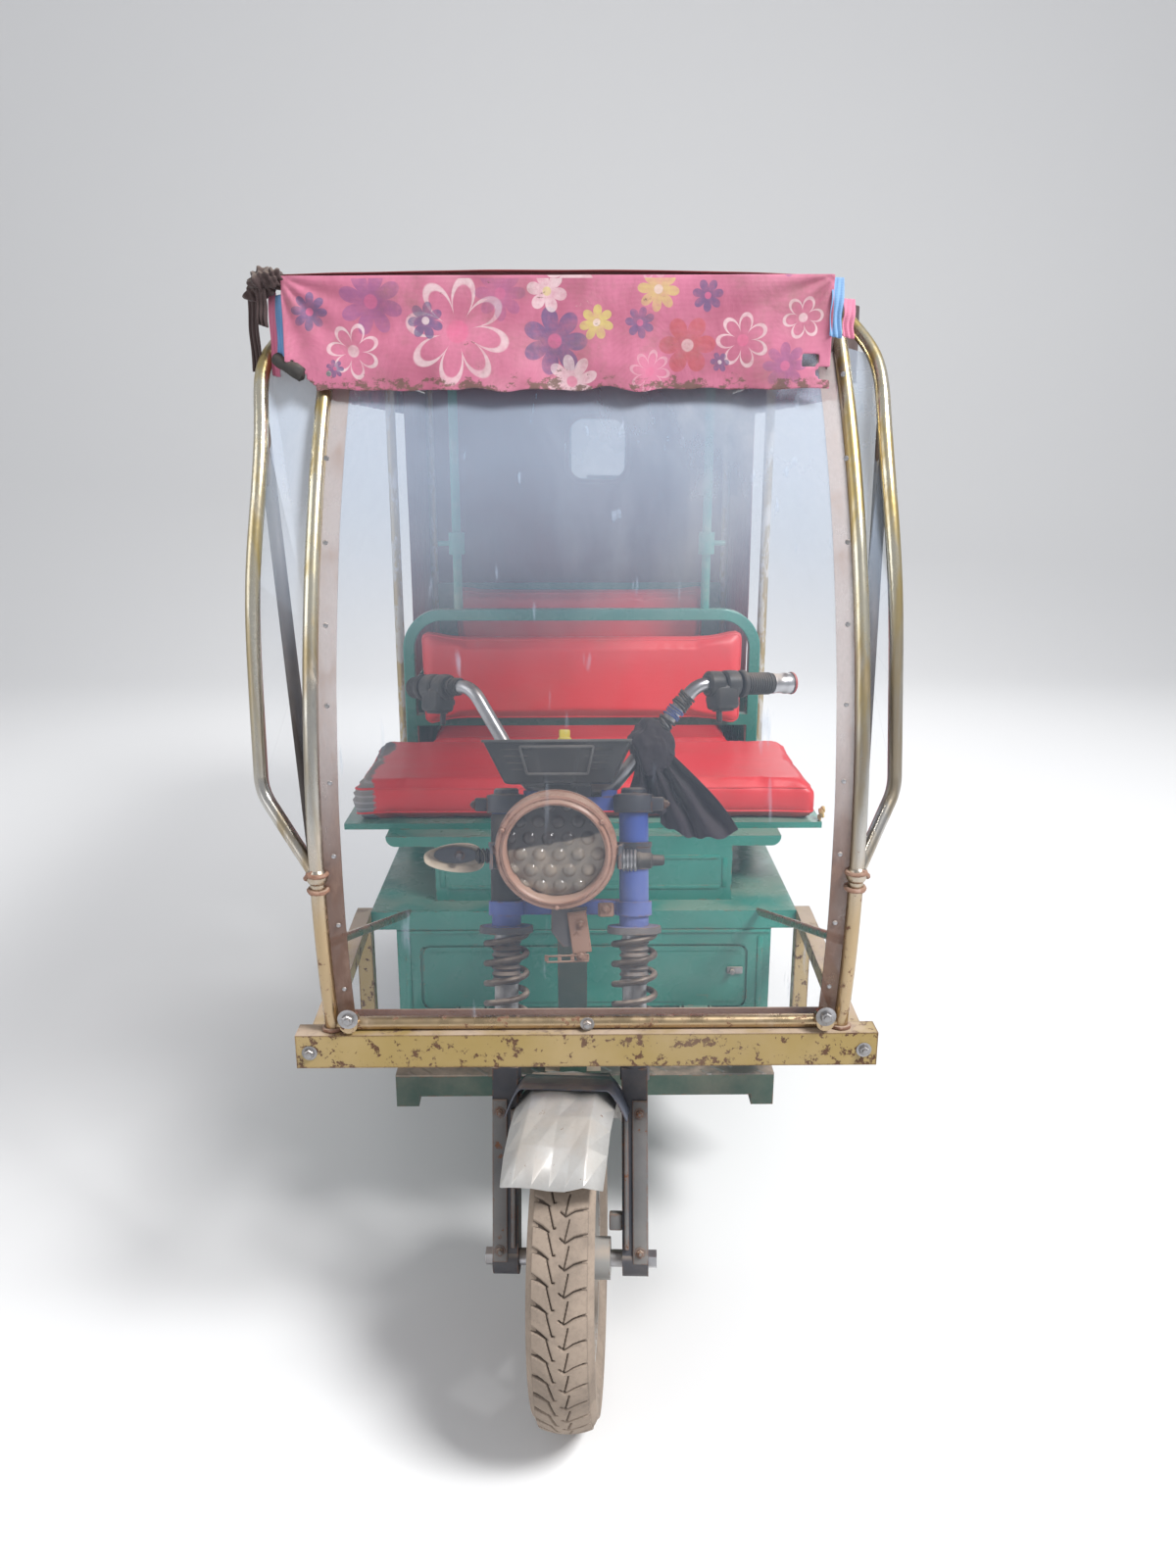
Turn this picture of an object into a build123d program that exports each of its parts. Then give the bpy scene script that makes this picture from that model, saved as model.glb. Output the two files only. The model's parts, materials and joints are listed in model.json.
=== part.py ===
from build123d import *
import math
import os

os.makedirs("parts", exist_ok=True)

# A three-wheeled battery auto rickshaw, in millimetres, standing on the ground at z = 0.
# The front looks along -y, so its left side is +x. Most lengths along the vehicle are given
# as a distance behind the front axle, and spot() turns such a distance into a point.

# Wheels and tyres
TYRE_R = 245.0
TYRE_W = 95.0
TREAD_W = 78.0
TREAD_DROP = 9.0
BEAD_R = 157.0
BEAD_W = 66.0
RIM_LIP = 9.0
RIM_WALL = 4.0
WELL_R = 138.0
HUB_R = 32.0
DISC_WALL = 5.0
DISC_HOLES = 6
DISC_HOLE_R = 16.0
DRUM_R = 78.0
DRUM_W = 40.0
AXLE_R = 8.0
RUNNING_FIT = 0.05
SEAT_GAP = 0.3
WHEELBASE = 1760.0
REAR_TRACK = 860.0
TRACK_HALF = REAR_TRACK / 2

# Steering head and fork
RAKE = 17.0
HEAD_X = -22.0
STEER_AT_REST = -4.0
YOKE_OFFSET = 45.0
FORK_X = 101.0
FORK_TUBE_R = 19.0
FORK_COVER_R = 23.0
YOKE_T = 22.0
UPPER_YOKE_AT = 712.0
LOWER_YOKE_AT = 548.0
STEM_R = 14.0
HEAD_TUBE_R = 23.0
HEAD_GAP = 1.0
SPRING_R = 36.5
SPRING_WIRE_R = 5.0
SPRING_TURNS = 5
SPRING_TOP = 512.0
SPRING_FOOT = 345.0
SPRING_CUP_R = 40.0
SPRING_CUP_T = 8.0
LEG_W = 40.0
LEG_D = 46.0
LEG_WALL = 5.0
LEG_TOP = 300.0
AXLE_LUG_R = 26.0
AXLE_END = 130.0
NUT_R = 14.0
NUT_T = 13.0
HUB_HALF = 62.0

# Front mudguard
GUARD_R = 283.0
GUARD_T = 2.5
GUARD_W = 150.0
GUARD_TWIST = -4.0
GUARD_SKIRT = 26.0
GUARD_FRONT_DEG = 33.0
GUARD_REAR_DEG = 72.0
STRAP_W = 26.0

# Handlebar and what it carries
BAR_R = 11.0
BAR_CLAMP_X = 62.0
BAR_RISE = 168.0
BAR_TIP_RISE = 8.0
BAR_BEND = 38.0
GRIP_R = 17.0
GRIP_L = 86.0
GRIP_RING = 6.0
POD_R = 23.0
POD_L = 62.0
POD_DROP = 44.0
DASH_W = 172.0
DASH_TOP_W = 224.0
DASH_D = 100.0
DASH_H = 40.0
DASH_AT = 788.0
DASH_X = -13.0
KEY_R = 12.0
KEY_H = 14.0
LAMP_R = 88.0
LAMP_DEPTH = 105.0
LAMP_RIM = 9.0
LAMP_AT = 641.0
LAMP_AHEAD = 149.0
LAMP_X = -10.0
LAMP_VISOR = 22.0
EAR_T = 4.0
EAR_H = 34.0
EAR_DROP = 14.0
SIGNAL_L = 66.0
SIGNAL_R = 22.0
SIGNAL_TIP_R = 10.0
SIGNAL_D = 18.0
STALK_R = 6.0
STALK_L = 44.0
STUB_R = 14.0
STUB_TIP_R = 6.0
STUB_L = 62.0
BRACKET_W = 54.0
BRACKET_H = 58.0
BRACKET_T = 3.0
RAG_T = 46.0
RAG_IN = 92.0
RAG_W = 150.0
RAG_DROP = 200.0

# Outline of the rag: part of its width and part of its drop at each corner
RAG_OUTLINE = (
    (0.0, -0.1), (0.13, 0.14), (0.4, 0.14), (0.62, -0.19), (1.0, -0.8), (0.72, -1.0),
    (0.33, -0.62), (0.28, -0.28),
)

# The two halves of the handlebar are not alike: side, shoulder, tip and how far the tip lies back
BAR_SIDES = (
    (-1, 160.0, 273.0, 92.0),
    (1, 203.0, 350.0, 74.0),
)

# Frame
RAIL_X = TRACK_HALF - 110.0
RAIL_W = 40.0
RAIL_H = 60.0
FLOOR_Z = 383.0
FLOOR_T = 3.0
FRONT_CROSS = 335.0
RAIL_END = WHEELBASE + 325.0
POST_W = 50.0
POST_D = 40.0
CROSS_W = 40.0
CROSS_H = 40.0
ARM_W = 28.0
ARM_X = 415.0
ARM_END_X = 400.0
SIDE_POST = 500.0
BRACE_R = 7.0
BRACE_X = 330.0
BRACE_FOOT = SIDE_POST + 5.0
BRACE_AT = 0.135

# Front beam and windscreen frame
BEAM_HALF = 424.0
BEAM_BACK = 5.0
BEAM_D = 36.0
BEAM_Z = 597.0
BEAM_H = 52.0
BEAM_WALL = 3.0
SILL_R = 10.0
SILL_HALF = 372.0
CAP_R = 13.0
CAP_L = 24.0
CAP_X = 345.0
PIPE_R = 10.5
KNUCKLE_R = 15.0
SCREEN_X = 372.0
SCREEN_TOP_X = 352.0
SCREEN_FOOT = -10.0
SCREEN_BOW = -28.0
SCREEN_BOW_Z = 1100.0
SCREEN_TOP = 215.0
ROOF_FRONT_Z = 1665.0
JOINT_Z = 892.0
JOINT_AT = 0.234
OUTER_CURVE = 55.0
STRUT_AT = 3
SHEET_AT = 0.93
SHEET_MIDDLE = 0.55
STRIP_W = 24.0
STRIP_T = 2.5
SHEET_T = 2.0

# Points of the outer pipes, which have been bent unevenly: height, distance behind the front
# axle, and distance from the middle on the right and on the left
OUTER_PIPES = (
    (1005.0, 16.0, 456.0, 434.0),
    (1150.0, 23.0, 455.0, 427.0),
    (1300.0, 30.0, 449.0, 417.0),
    (1510.0, 98.0, 439.0, 405.0),
    (1590.0, 150.0, 436.0, 399.0),
)

# Roof
ROOF_X = TRACK_HALF + 27.0
ROOF_Z = 1632.0
ROOF_RISE = 52.0
ROOF_FULL = 700.0
ROOF_BACK = WHEELBASE + 360.0
RAIL_CURVE = 250.0
NOSE = 104.0
NOSE_LIFT = 8.0
NOSE_RISE = 8.0
RAIL_PIPE_R = 11.0
BOW_R = 9.0
CANOPY_T = 5.0
CANOPY_SIDE = 16.0
VALANCE_DROP = 140.0
VALANCE_RIGHT = 400.0
VALANCE_LEFT = 345.0
VALANCE_TOP = 1699.0
VALANCE_T = 8.0
SIDE_DROP = 95.0
SIDE_DROP_FRONT = ROOF_FULL + 100.0

# Box under the driver and driver's seat
BOX_X = 355.0
BOX_FRONT = SIDE_POST - 5.0
BOX_BACK = 985.0
BOX_WALL = 3.0
PLATFORM_LOW = 592.0
PLATFORM_TOP = 628.0
DOOR_X = 307.0
DOOR_Z = 430.0
DOOR_H = 124.0
DOOR_GAP = 5.0
DOOR_CORNER = 14.0
HINGE_PIN_R = 3.0
HINGE_BARREL_R = 6.0
HINGE_L = 46.0
HINGE_X = 215.0
BASE_X = 284.0
BASE_FRONT = BOX_FRONT + 53.0
BASE_TOP = 738.0
BOARD_X = 376.0
BOARD_H = 20.0
SEAT_X = 470.0
SEAT_FRONT = BOX_FRONT + 93.0
SEAT_BACK = BOX_BACK - 17.0
PLATFORM_BACK = BOX_BACK + 30.0
SEAT_PAN_T = 12.0
SEAT_PAD_T = 80.0

# Driver's backrest
HOOP_X = 391.0
HOOP_BACK = BOX_BACK + 13.0
HOOP_W = 25.0
HOOP_TOP = 1130.0
HOOP_BEND = 75.0
BACK_PAD_X = 368.0
BACK_PAD_BOTTOM = 872.0
BACK_PAD_TOP = 1100.0
BACK_PAD_T = 58.0
POLE_X = 268.0
POLE_R = 9.5
CLAMP_R = 17.0
CLAMP_L = 46.0
CLAMP_Z = 1270.0

# Passenger body
BODY_WALL = 3.0
BODY_X = TRACK_HALF + 25.0
BODY_IN = BODY_X - BODY_WALL
BODY_FRONT = WHEELBASE - 490.0
BODY_LOW = 515.0
BODY_SLOPE = WHEELBASE - 320.0
BODY_HIGH_AT = WHEELBASE - 160.0
BODY_HIGH = 850.0
BODY_BACK = RAIL_END
SKIRT_Z = 330.0
BENCH_X = TRACK_HALF - 78.0
BENCH_FRONT = WHEELBASE - 240.0
BENCH_TOP = 600.0
BENCH_WALL = 3.0
BENCH_PAD_X = BODY_IN - 22.0
BENCH_PAD_T = 95.0
BENCH_PAD_BACK = WHEELBASE + 195.0
BENCH_NOSE = BENCH_FRONT - 20.0
BOARD_T = 12.0
BENCH_BACK_AT = WHEELBASE + 280.0
BENCH_BACK_T = 85.0
BENCH_BACK_Z = 1082.0
BENCH_BACK_X = BODY_IN - 54.0
HOOD_POST_R = 11.0
FLARE_X = BODY_X + 32.0
FLARE_Z = 420.0
FLARE_LOW = 345.0
CURTAIN_T = 4.0
CURTAIN_FRONT = BODY_HIGH_AT + 20.0
BOWS = (HOOP_BACK, BODY_FRONT + 30.0, BODY_HIGH_AT + 90.0, BODY_BACK + 23.0)
WINDOW_W = 168.0
WINDOW_H = 174.0
WINDOW_X = 55.0
WINDOW_Z = 1462.0
WINDOW_CORNER = 45.0
CURTAIN_LAP = 50.0

# Rear running gear
ARCH_R = 287.0
ARCH_T = 2.5
ARCH_IN = TRACK_HALF - 66.0
ARCH_OUT = TRACK_HALF + 57.0
ARCH_DEG = 78.0
REAR_HUB_HALF = 42.0
SPINDLE_R = 12.0
REAR_NUT_R = 18.0
REAR_NUT_T = 10.0
AXLE_TUBE_R = 27.0
DIFF_R = 82.0
MOTOR_R = 80.0
MOTOR_L = 180.0
BACKPLATE_R = 74.0
BACKPLATE_T = 5.0
BACKPLATE_GAP = 6.0
LEAF_W = 45.0
LEAF_T = 7.0
LEAF_HALF = 330.0
LEAVES = 4
EYE_R = 12.0
HANGER_T = 6.0
BUMPER_BACK = RAIL_END + 65.0
BUMPER_Z = 430.0
BUMPER_R = 13.0
TAIL_LAMP_R = 34.0
TAIL_LAMP_T = 22.0
TAIL_LAMP_X = 360.0
TAIL_LAMP_Z = 620.0

FRONT_AXLE_Y = (TYRE_R * math.cos(math.radians(STEER_AT_REST)) - BUMPER_BACK - BUMPER_R) / 2
SIDES = (-1, 1)
HALVES = ("right", "left")


def spot(x, behind, z):
    """A point from its place across, its distance behind the front axle and its height."""
    return Vector(x, FRONT_AXLE_Y + behind, z)


def slab(x0, x1, back0, back1, z0, z1):
    """A plain block between two places along each direction."""
    size = (x1 - x0, back1 - back0, z1 - z0)
    return Pos(*spot((x0 + x1) / 2, (back0 + back1) / 2, (z0 + z1) / 2)) * Box(*size)


def pipe(points, radius, bend=0.0):
    """A round pipe along straight runs, with the same bend at each corner."""
    if len(points) == 2:
        line = Line(*points)
    else:
        line = FilletPolyline(*points, radius=bend)
    return sweep(Plane(origin=line @ 0, z_dir=line % 0) * Circle(radius), path=line)


def square_bar(start, end, width, height, upward=Vector(0, 0, 1)):
    """A straight bar of rectangular section from one point to another."""
    along = end - start
    section = Plane(origin=start, x_dir=upward.cross(along), z_dir=along)
    return extrude(section * Rectangle(width, height), amount=along.length)


def lying(radius, length, x, behind, z):
    """A round bar across the vehicle, centred at a point."""
    return Pos(*spot(x, behind, z)) * Rot(Y=90) * Cylinder(radius, length)


def soft(part, radius):
    """The same block with every edge rounded, as a stuffed cover rounds it."""
    return fillet(part.edges(), radius)


def write(name, shape):
    export_step(shape, f"parts/{name}.step")


# A wheel is turned about x through the origin, then placed.

def tyre():
    half = TYRE_W / 2
    bead = BEAD_W / 2
    lip = BEAD_R + RIM_LIP
    shoulder = TYRE_R - TREAD_DROP
    belly = (lip + TYRE_R) / 2
    outline = [
        Polyline((lip, -bead), (BEAD_R, -bead), (BEAD_R, bead), (lip, bead)),
        ThreePointArc((lip, bead), (belly, half), (shoulder, TREAD_W / 2)),
        ThreePointArc((shoulder, TREAD_W / 2), (TYRE_R, 0), (shoulder, -TREAD_W / 2)),
        ThreePointArc((shoulder, -TREAD_W / 2), (belly, -half), (lip, -bead)),
    ]
    return Rot(Y=90) * revolve(Plane.XZ * make_face(outline), Axis.Z)


def rim(hub_half, bore, drum_side):
    """Rim, pressed disc with its round holes, hub and brake drum, as one welded wheel."""
    lip = BEAD_R + RIM_LIP
    edge = BEAD_W / 2
    seat = [(lip, edge), (BEAD_R, edge), (BEAD_R, edge / 2), (WELL_R, edge / 4)]
    back = [
        (WELL_R - RIM_WALL, edge / 4), (BEAD_R - RIM_WALL, edge / 2),
        (BEAD_R - RIM_WALL, edge + RIM_WALL), (lip, edge + RIM_WALL)]
    outline = seat + [(r, -x) for r, x in reversed(seat)]
    outline += [(r, -x) for r, x in reversed(back)] + back
    ring = revolve(Plane.XZ * make_face(Polyline(*outline, close=True)), Axis.Z)
    disc = Cylinder(WELL_R - RIM_WALL / 2, DISC_WALL)
    hole = Cylinder(DISC_HOLE_R, 2 * DISC_WALL)
    disc -= PolarLocations((WELL_R + DRUM_R) / 2, DISC_HOLES) * hole
    hub = Cylinder(HUB_R, 2 * hub_half)
    drum = Pos(0, 0, drum_side * DRUM_W / 2) * Cylinder(DRUM_R, DRUM_W)
    return Rot(Y=90) * (ring + disc + hub + drum - Cylinder(bore, 4 * hub_half))


# The steering parts are made about the fork line: local z runs up the fork from the axle,
# local y runs back. steered() then leans and turns them to where they rest.

def steered(shape):
    place = Pos(*spot(HEAD_X, 0, TYRE_R)) * Rot(X=-RAKE)
    turn = Pos(0, YOKE_OFFSET, 0) * Rot(Z=STEER_AT_REST) * Pos(0, -YOKE_OFFSET, 0)
    return place * turn * shape


def head(shape):
    """Places what stays with the frame on the steering axis."""
    return Pos(*spot(HEAD_X, 0, TYRE_R)) * Rot(X=-RAKE) * Pos(0, YOKE_OFFSET, 0) * shape


def on_fork(radius, low, high):
    pair = [Pos(s * FORK_X, 0, (low + high) / 2) * Cylinder(radius, high - low) for s in SIDES]
    return pair[0] + pair[1]


def yoke(at):
    plate = Pos(0, YOKE_OFFSET / 2, at) * Box(2 * FORK_X, YOKE_OFFSET, YOKE_T)
    plate += Pos(0, YOKE_OFFSET, at) * Cylinder(STEM_R + 12, YOKE_T)
    for side in SIDES:
        plate += Pos(side * FORK_X, 0, at) * Cylinder(FORK_COVER_R + 5, YOKE_T)
    return plate


UPPER_FACE = UPPER_YOKE_AT - YOKE_T / 2
LOWER_FACE = LOWER_YOKE_AT + YOKE_T / 2
BAR_AT = UPPER_YOKE_AT + YOKE_T / 2 + BAR_R

# Fork yokes, joined by the stem that turns in the head tube
yokes = yoke(UPPER_YOKE_AT) + yoke(LOWER_YOKE_AT)
stem_length = UPPER_YOKE_AT - LOWER_YOKE_AT
yokes += Pos(0, YOKE_OFFSET, (UPPER_YOKE_AT + LOWER_YOKE_AT) / 2) * Cylinder(STEM_R, stem_length)
for side in SIDES:
    clamp = Pos(side * BAR_CLAMP_X, YOKE_OFFSET / 2, BAR_AT - BAR_R / 2) * Box(24, 34, BAR_R)
    yokes += clamp
yokes -= on_fork(FORK_TUBE_R, LOWER_YOKE_AT - YOKE_T, UPPER_YOKE_AT + YOKE_T)
bar_seat = Pos(0, YOKE_OFFSET / 2, BAR_AT) * Rot(Y=90) * Cylinder(BAR_R, 4 * BAR_CLAMP_X)
yokes -= bar_seat

# Fork tubes run from the upper yoke down inside the springs to the lower legs
tubes = on_fork(FORK_TUBE_R, LEG_TOP, UPPER_YOKE_AT + YOKE_T / 2 + 6)
write("fork_tubes", steered(tubes))

covers = on_fork(FORK_COVER_R, LOWER_FACE, UPPER_FACE) - on_fork(FORK_TUBE_R, LEG_TOP, UPPER_FACE)


def spring():
    """One coil spring between its two cups, wound round the fork tube."""
    height = SPRING_TOP - SPRING_FOOT - 2 * SPRING_WIRE_R
    radius = SPRING_R - SPRING_WIRE_R
    coil = Helix(pitch=height / SPRING_TURNS, height=height, radius=radius)
    wire = sweep(Plane(origin=coil @ 0, z_dir=coil % 0) * Circle(SPRING_WIRE_R), path=coil)
    foot = SPRING_FOOT + SPRING_WIRE_R
    return Pos(0, 0, foot) * wire


springs = [Pos(side * FORK_X, 0, 0) * spring() for side in SIDES]
write("fork_springs", steered(Compound(children=springs)))

cups = on_fork(SPRING_CUP_R, SPRING_TOP, SPRING_TOP + SPRING_CUP_T)
cups += on_fork(FORK_COVER_R, SPRING_TOP, LOWER_YOKE_AT - YOKE_T / 2)
cups += on_fork(SPRING_CUP_R, SPRING_FOOT - SPRING_CUP_T, SPRING_FOOT)
cups -= on_fork(FORK_TUBE_R, LEG_TOP, UPPER_FACE)
write("fork_yokes", steered(yokes + covers + cups))

# Lower legs: channels open to the back, round at the axle, with the axle lug through them
legs = None
for side in SIDES:
    low = -AXLE_LUG_R * 0.2
    channel = Pos(side * FORK_X, 0, (low + LEG_TOP) / 2) * Box(LEG_W, LEG_D, LEG_TOP - low)
    hollow = Pos(side * FORK_X, LEG_WALL, LEG_TOP / 2) * Box(
        LEG_W - 2 * LEG_WALL, LEG_D, LEG_TOP - 3 * AXLE_LUG_R)
    lug = Pos(side * FORK_X, 0, 0) * Rot(Y=90) * Cylinder(AXLE_LUG_R, LEG_W)
    socket = Pos(side * FORK_X, 0, LEG_TOP) * Cylinder(FORK_TUBE_R + 4, 40)
    socket += Pos(side * FORK_X, 0, SPRING_FOOT - SPRING_CUP_T - 14) * Cylinder(FORK_TUBE_R + 4, 28)
    leg = channel - hollow + lug + socket
    legs = leg if legs is None else legs + leg
legs -= on_fork(FORK_TUBE_R, LEG_TOP, UPPER_FACE)
legs -= Rot(Y=90) * Cylinder(AXLE_R, 4 * FORK_X)

# Front axle with its two nuts and the spacers that keep the hub off the legs
axle = Rot(Y=90) * Cylinder(AXLE_R, 2 * AXLE_END)
leg_face = FORK_X + LEG_W / 2
inner_face = FORK_X - LEG_W / 2
for side in SIDES:
    nut = extrude(RegularPolygon(NUT_R, 6), NUT_T)
    if side < 0:
        nut = mirror(nut, Plane.XY)
    axle += Rot(Y=90) * Pos(0, 0, side * leg_face) * nut
    spacer = inner_face - HUB_HALF - SEAT_GAP
    axle += Pos(side * (inner_face - spacer / 2), 0, 0) * Rot(Y=90) * Cylinder(AXLE_R + 5, spacer)
write("front_axle", steered(axle))

write("front_tyre", steered(tyre()))
write("front_rim", steered(rim(HUB_HALF, AXLE_R + RUNNING_FIT, -1)))

# Front mudguard: an arched sheet with turned-down edges, held by a strap between the legs
def folded(half, skirt, thickness, radius, degrees):
    """Arched sheet of trapezoid section, revolved about x, its rear edge pointing down."""
    outer = [(-half, -skirt), (16 - half, 0), (half - 16, 0), (half, -skirt)]
    inner = [(x * (1 - thickness / half), h - thickness) for x, h in reversed(outer)]
    corners = [(radius + h, x) for x, h in outer + inner]
    section = Plane.XZ * make_face(Polyline(*corners, close=True))
    return Rot(Y=90) * revolve(section, Axis.Z, revolution_arc=degrees)


guard = folded(GUARD_W / 2, GUARD_SKIRT, GUARD_T, GUARD_R, GUARD_FRONT_DEG + GUARD_REAR_DEG)
write("front_mudguard", steered(Rot(Z=GUARD_TWIST) * Rot(X=180 - GUARD_REAR_DEG + RAKE) * guard))

strap_low = GUARD_R - GUARD_SKIRT - STRAP_W
strap_top = GUARD_R + SEAT_GAP + GUARD_T
strap_line = [
    (inner_face, strap_low), (inner_face, strap_low + STRAP_W),
    (GUARD_W / 2 - 14, strap_top), (14 - GUARD_W / 2, strap_top),
    (-inner_face, strap_low + STRAP_W), (-inner_face, strap_low)]
under_line = [(x * (1 - GUARD_T / inner_face), z - GUARD_T) for x, z in reversed(strap_line[1:5])]
under_line = [(GUARD_T - inner_face, strap_low)] + under_line + [(inner_face - GUARD_T, strap_low)]
strap = make_face(Polyline(*strap_line, *under_line, close=True))
strap = extrude(Plane.XZ * strap, STRAP_W / 2, both=True)
write("fork_legs", steered(legs + strap))

# Handlebar: one bent tube, level through the clamps, rising to the grips, which lie back
bar_y = YOKE_OFFSET / 2


def bar_half(side, shoulder, tip, sweep):
    """Tip, shoulder and clamp of one half of the handlebar."""
    shoulder_z = BAR_AT + BAR_RISE
    return [Vector(side * tip, bar_y + sweep, shoulder_z + BAR_TIP_RISE),
            Vector(side * shoulder, bar_y, shoulder_z), Vector(side * BAR_CLAMP_X, bar_y, BAR_AT)]


right_half, left_half = [bar_half(*row) for row in BAR_SIDES]
bar_line = left_half + right_half[::-1]
bar = pipe(bar_line, BAR_R, BAR_BEND)
write("handlebar", steered(bar))


def on_bar(half, start, length, radius):
    """A sleeve round the outer run of the handlebar, measured inward from its end."""
    inward = (half[1] - half[0]).normalized()
    base = Plane(origin=half[0] + inward * start, x_dir=(0, 0, 1), z_dir=inward)
    return extrude(base * Circle(radius), length) - extrude(base * Circle(BAR_R + SEAT_GAP), length)


def switch_pod(half):
    """A round pod on the bar with a switch box hanging under it."""
    inward = (half[1] - half[0]).normalized()
    middle = half[0] + inward * (GRIP_L + GRIP_RING + POD_L / 2)
    box = Plane(origin=middle - Vector(0, 0, POD_DROP / 2), x_dir=inward, z_dir=(0, 0, 1))
    box *= Box(POD_L * 0.7, 2 * POD_R, POD_DROP)
    return on_bar(half, GRIP_L + GRIP_RING, POD_L, POD_R) + soft(box, 6)


grip_bore = pipe(bar_line, BAR_R + SEAT_GAP, BAR_BEND)
grips = []
for half in (right_half, left_half):
    grip = on_bar(half, 4, GRIP_L - 4, GRIP_R) + on_bar(half, GRIP_L, GRIP_RING, GRIP_R + 4)
    grips.append(grip + switch_pod(half) - grip_bore)
write("bar_grips", steered(Compound(children=grips)))

# Meter housing on its bracket, tapered, with a shallow recess for the panel on top
dash_y = -YOKE_OFFSET
low_face = Plane(origin=(DASH_X, dash_y, DASH_AT - DASH_H / 2))
top_face = low_face.offset(DASH_H)
dash = loft([low_face * RectangleRounded(DASH_W, DASH_D * 0.8, 12),
             top_face * RectangleRounded(DASH_TOP_W, DASH_D, 12)])
panel = top_face.offset(-4) * RectangleRounded(DASH_W * 0.62, DASH_D * 0.5, 5)
dash -= extrude(panel, 8)
stand = Pos(0, -6, (DASH_AT - DASH_H / 2 + UPPER_FACE + YOKE_T) / 2)
stand *= Box(70, 5, DASH_AT - DASH_H / 2 - UPPER_FACE - YOKE_T)
stand += Pos(0, 2, UPPER_FACE + YOKE_T + 2) * Box(70, 11, 4)
key_z = DASH_AT + DASH_H / 2
key = Pos(DASH_X + 6, dash_y + DASH_D / 2 - KEY_R - 3, key_z + KEY_H / 2) * Cylinder(KEY_R, KEY_H)
write("dash_housing", steered(dash + stand + key))

# Headlamp: a spun bowl with a rolled rim, in a bracket clamped to the fork covers
def facing(x, y, z, shape):
    """Turns a shape made about z so that it looks forward and level."""
    return Pos(x, y, z) * Rot(X=RAKE) * Rot(X=90) * shape


rim_in = LAMP_R - LAMP_RIM
bowl_arc = ThreePointArc((LAMP_R - 4, -LAMP_VISOR), (LAMP_R * 0.72, -LAMP_DEPTH * 0.72), (26, -LAMP_DEPTH))
inner_arc = ThreePointArc((23, 3 - LAMP_DEPTH), (LAMP_R * 0.68, -LAMP_DEPTH * 0.7), (rim_in, -LAMP_VISOR))
bowl_edges = [
    Polyline((rim_in, -LAMP_VISOR), (rim_in, 0), (LAMP_R, 0), (LAMP_R, -LAMP_VISOR), (LAMP_R - 4, -LAMP_VISOR)),
    bowl_arc, Polyline((26, -LAMP_DEPTH), (0, -LAMP_DEPTH), (0, 3 - LAMP_DEPTH), (23, 3 - LAMP_DEPTH)),
    inner_arc]
bowl = revolve(Plane.XZ * make_face(bowl_edges), Axis.Z)
boss = Rot(Y=90) * Cylinder(7, 2 * (LAMP_R + 4))
boss = Pos(0, 0, -LAMP_VISOR / 2) * boss - Pos(0, 0, -LAMP_DEPTH / 2) * Cylinder(LAMP_R - 2, LAMP_DEPTH)
write("headlamp", steered(facing(LAMP_X, -LAMP_AHEAD, LAMP_AT, bowl + boss)))

lens_face = [
    ThreePointArc((0, 0), (rim_in * 0.5, -3), (rim_in - SEAT_GAP, -11)),
    Polyline((rim_in - SEAT_GAP, -11), (rim_in - SEAT_GAP, -15), (0, -15), (0, 0))]
lens = revolve(Plane.XZ * make_face(lens_face), Axis.Z)
write("headlamp_lens", steered(facing(LAMP_X, -LAMP_AHEAD, LAMP_AT, Pos(0, 0, -2) * lens)))

ears = None
ear_ahead = LAMP_AHEAD * math.cos(math.radians(RAKE))
for side in SIDES:
    ear_x = LAMP_X + side * (LAMP_R + 4 + EAR_T / 2)
    collar = Pos(side * FORK_X, 0, LAMP_AT - EAR_DROP) * Cylinder(FORK_COVER_R + EAR_T, EAR_H)
    arm_y = (LAMP_AHEAD - LAMP_VISOR / 2 + 12) / 2
    arm = Pos(ear_x, -arm_y, LAMP_AT - EAR_DROP / 2) * Box(EAR_T, 2 * arm_y, EAR_H)
    ear = collar + arm
    ears = ear if ears is None else ears + ear
ears -= on_fork(FORK_COVER_R, LOWER_FACE, UPPER_FACE)


# One turn signal, a teardrop housing on a stalk from the right ear; the left one is a broken stub
signal_z = LAMP_AT - EAR_DROP
signal_y = -0.6 * LAMP_AHEAD
stalk_x = LAMP_X - LAMP_R - 4 - EAR_T
signal_x = stalk_x - STALK_L - SIGNAL_R + 6
stalk = Pos(stalk_x - STALK_L / 2, signal_y, signal_z) * Rot(Y=90) * Cylinder(STALK_R, STALK_L)
tip = Pos(-SIGNAL_L, 0) * Circle(SIGNAL_TIP_R)
teardrop = make_hull(Circle(SIGNAL_R).edges() + tip.edges())
signal = extrude(teardrop, SIGNAL_D / 2) + extrude(teardrop, -SIGNAL_D, taper=20)
stub_x = LAMP_X + LAMP_R + 4 + EAR_T + STUB_L / 2
stub = Pos(stub_x, signal_y, signal_z) * Rot(Y=90) * Cone(STUB_R, STUB_TIP_R, STUB_L)
signals = facing(signal_x, signal_y, signal_z, signal) + stalk
write("turn_signal", steered(Compound(children=[signals, stub])))

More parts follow.
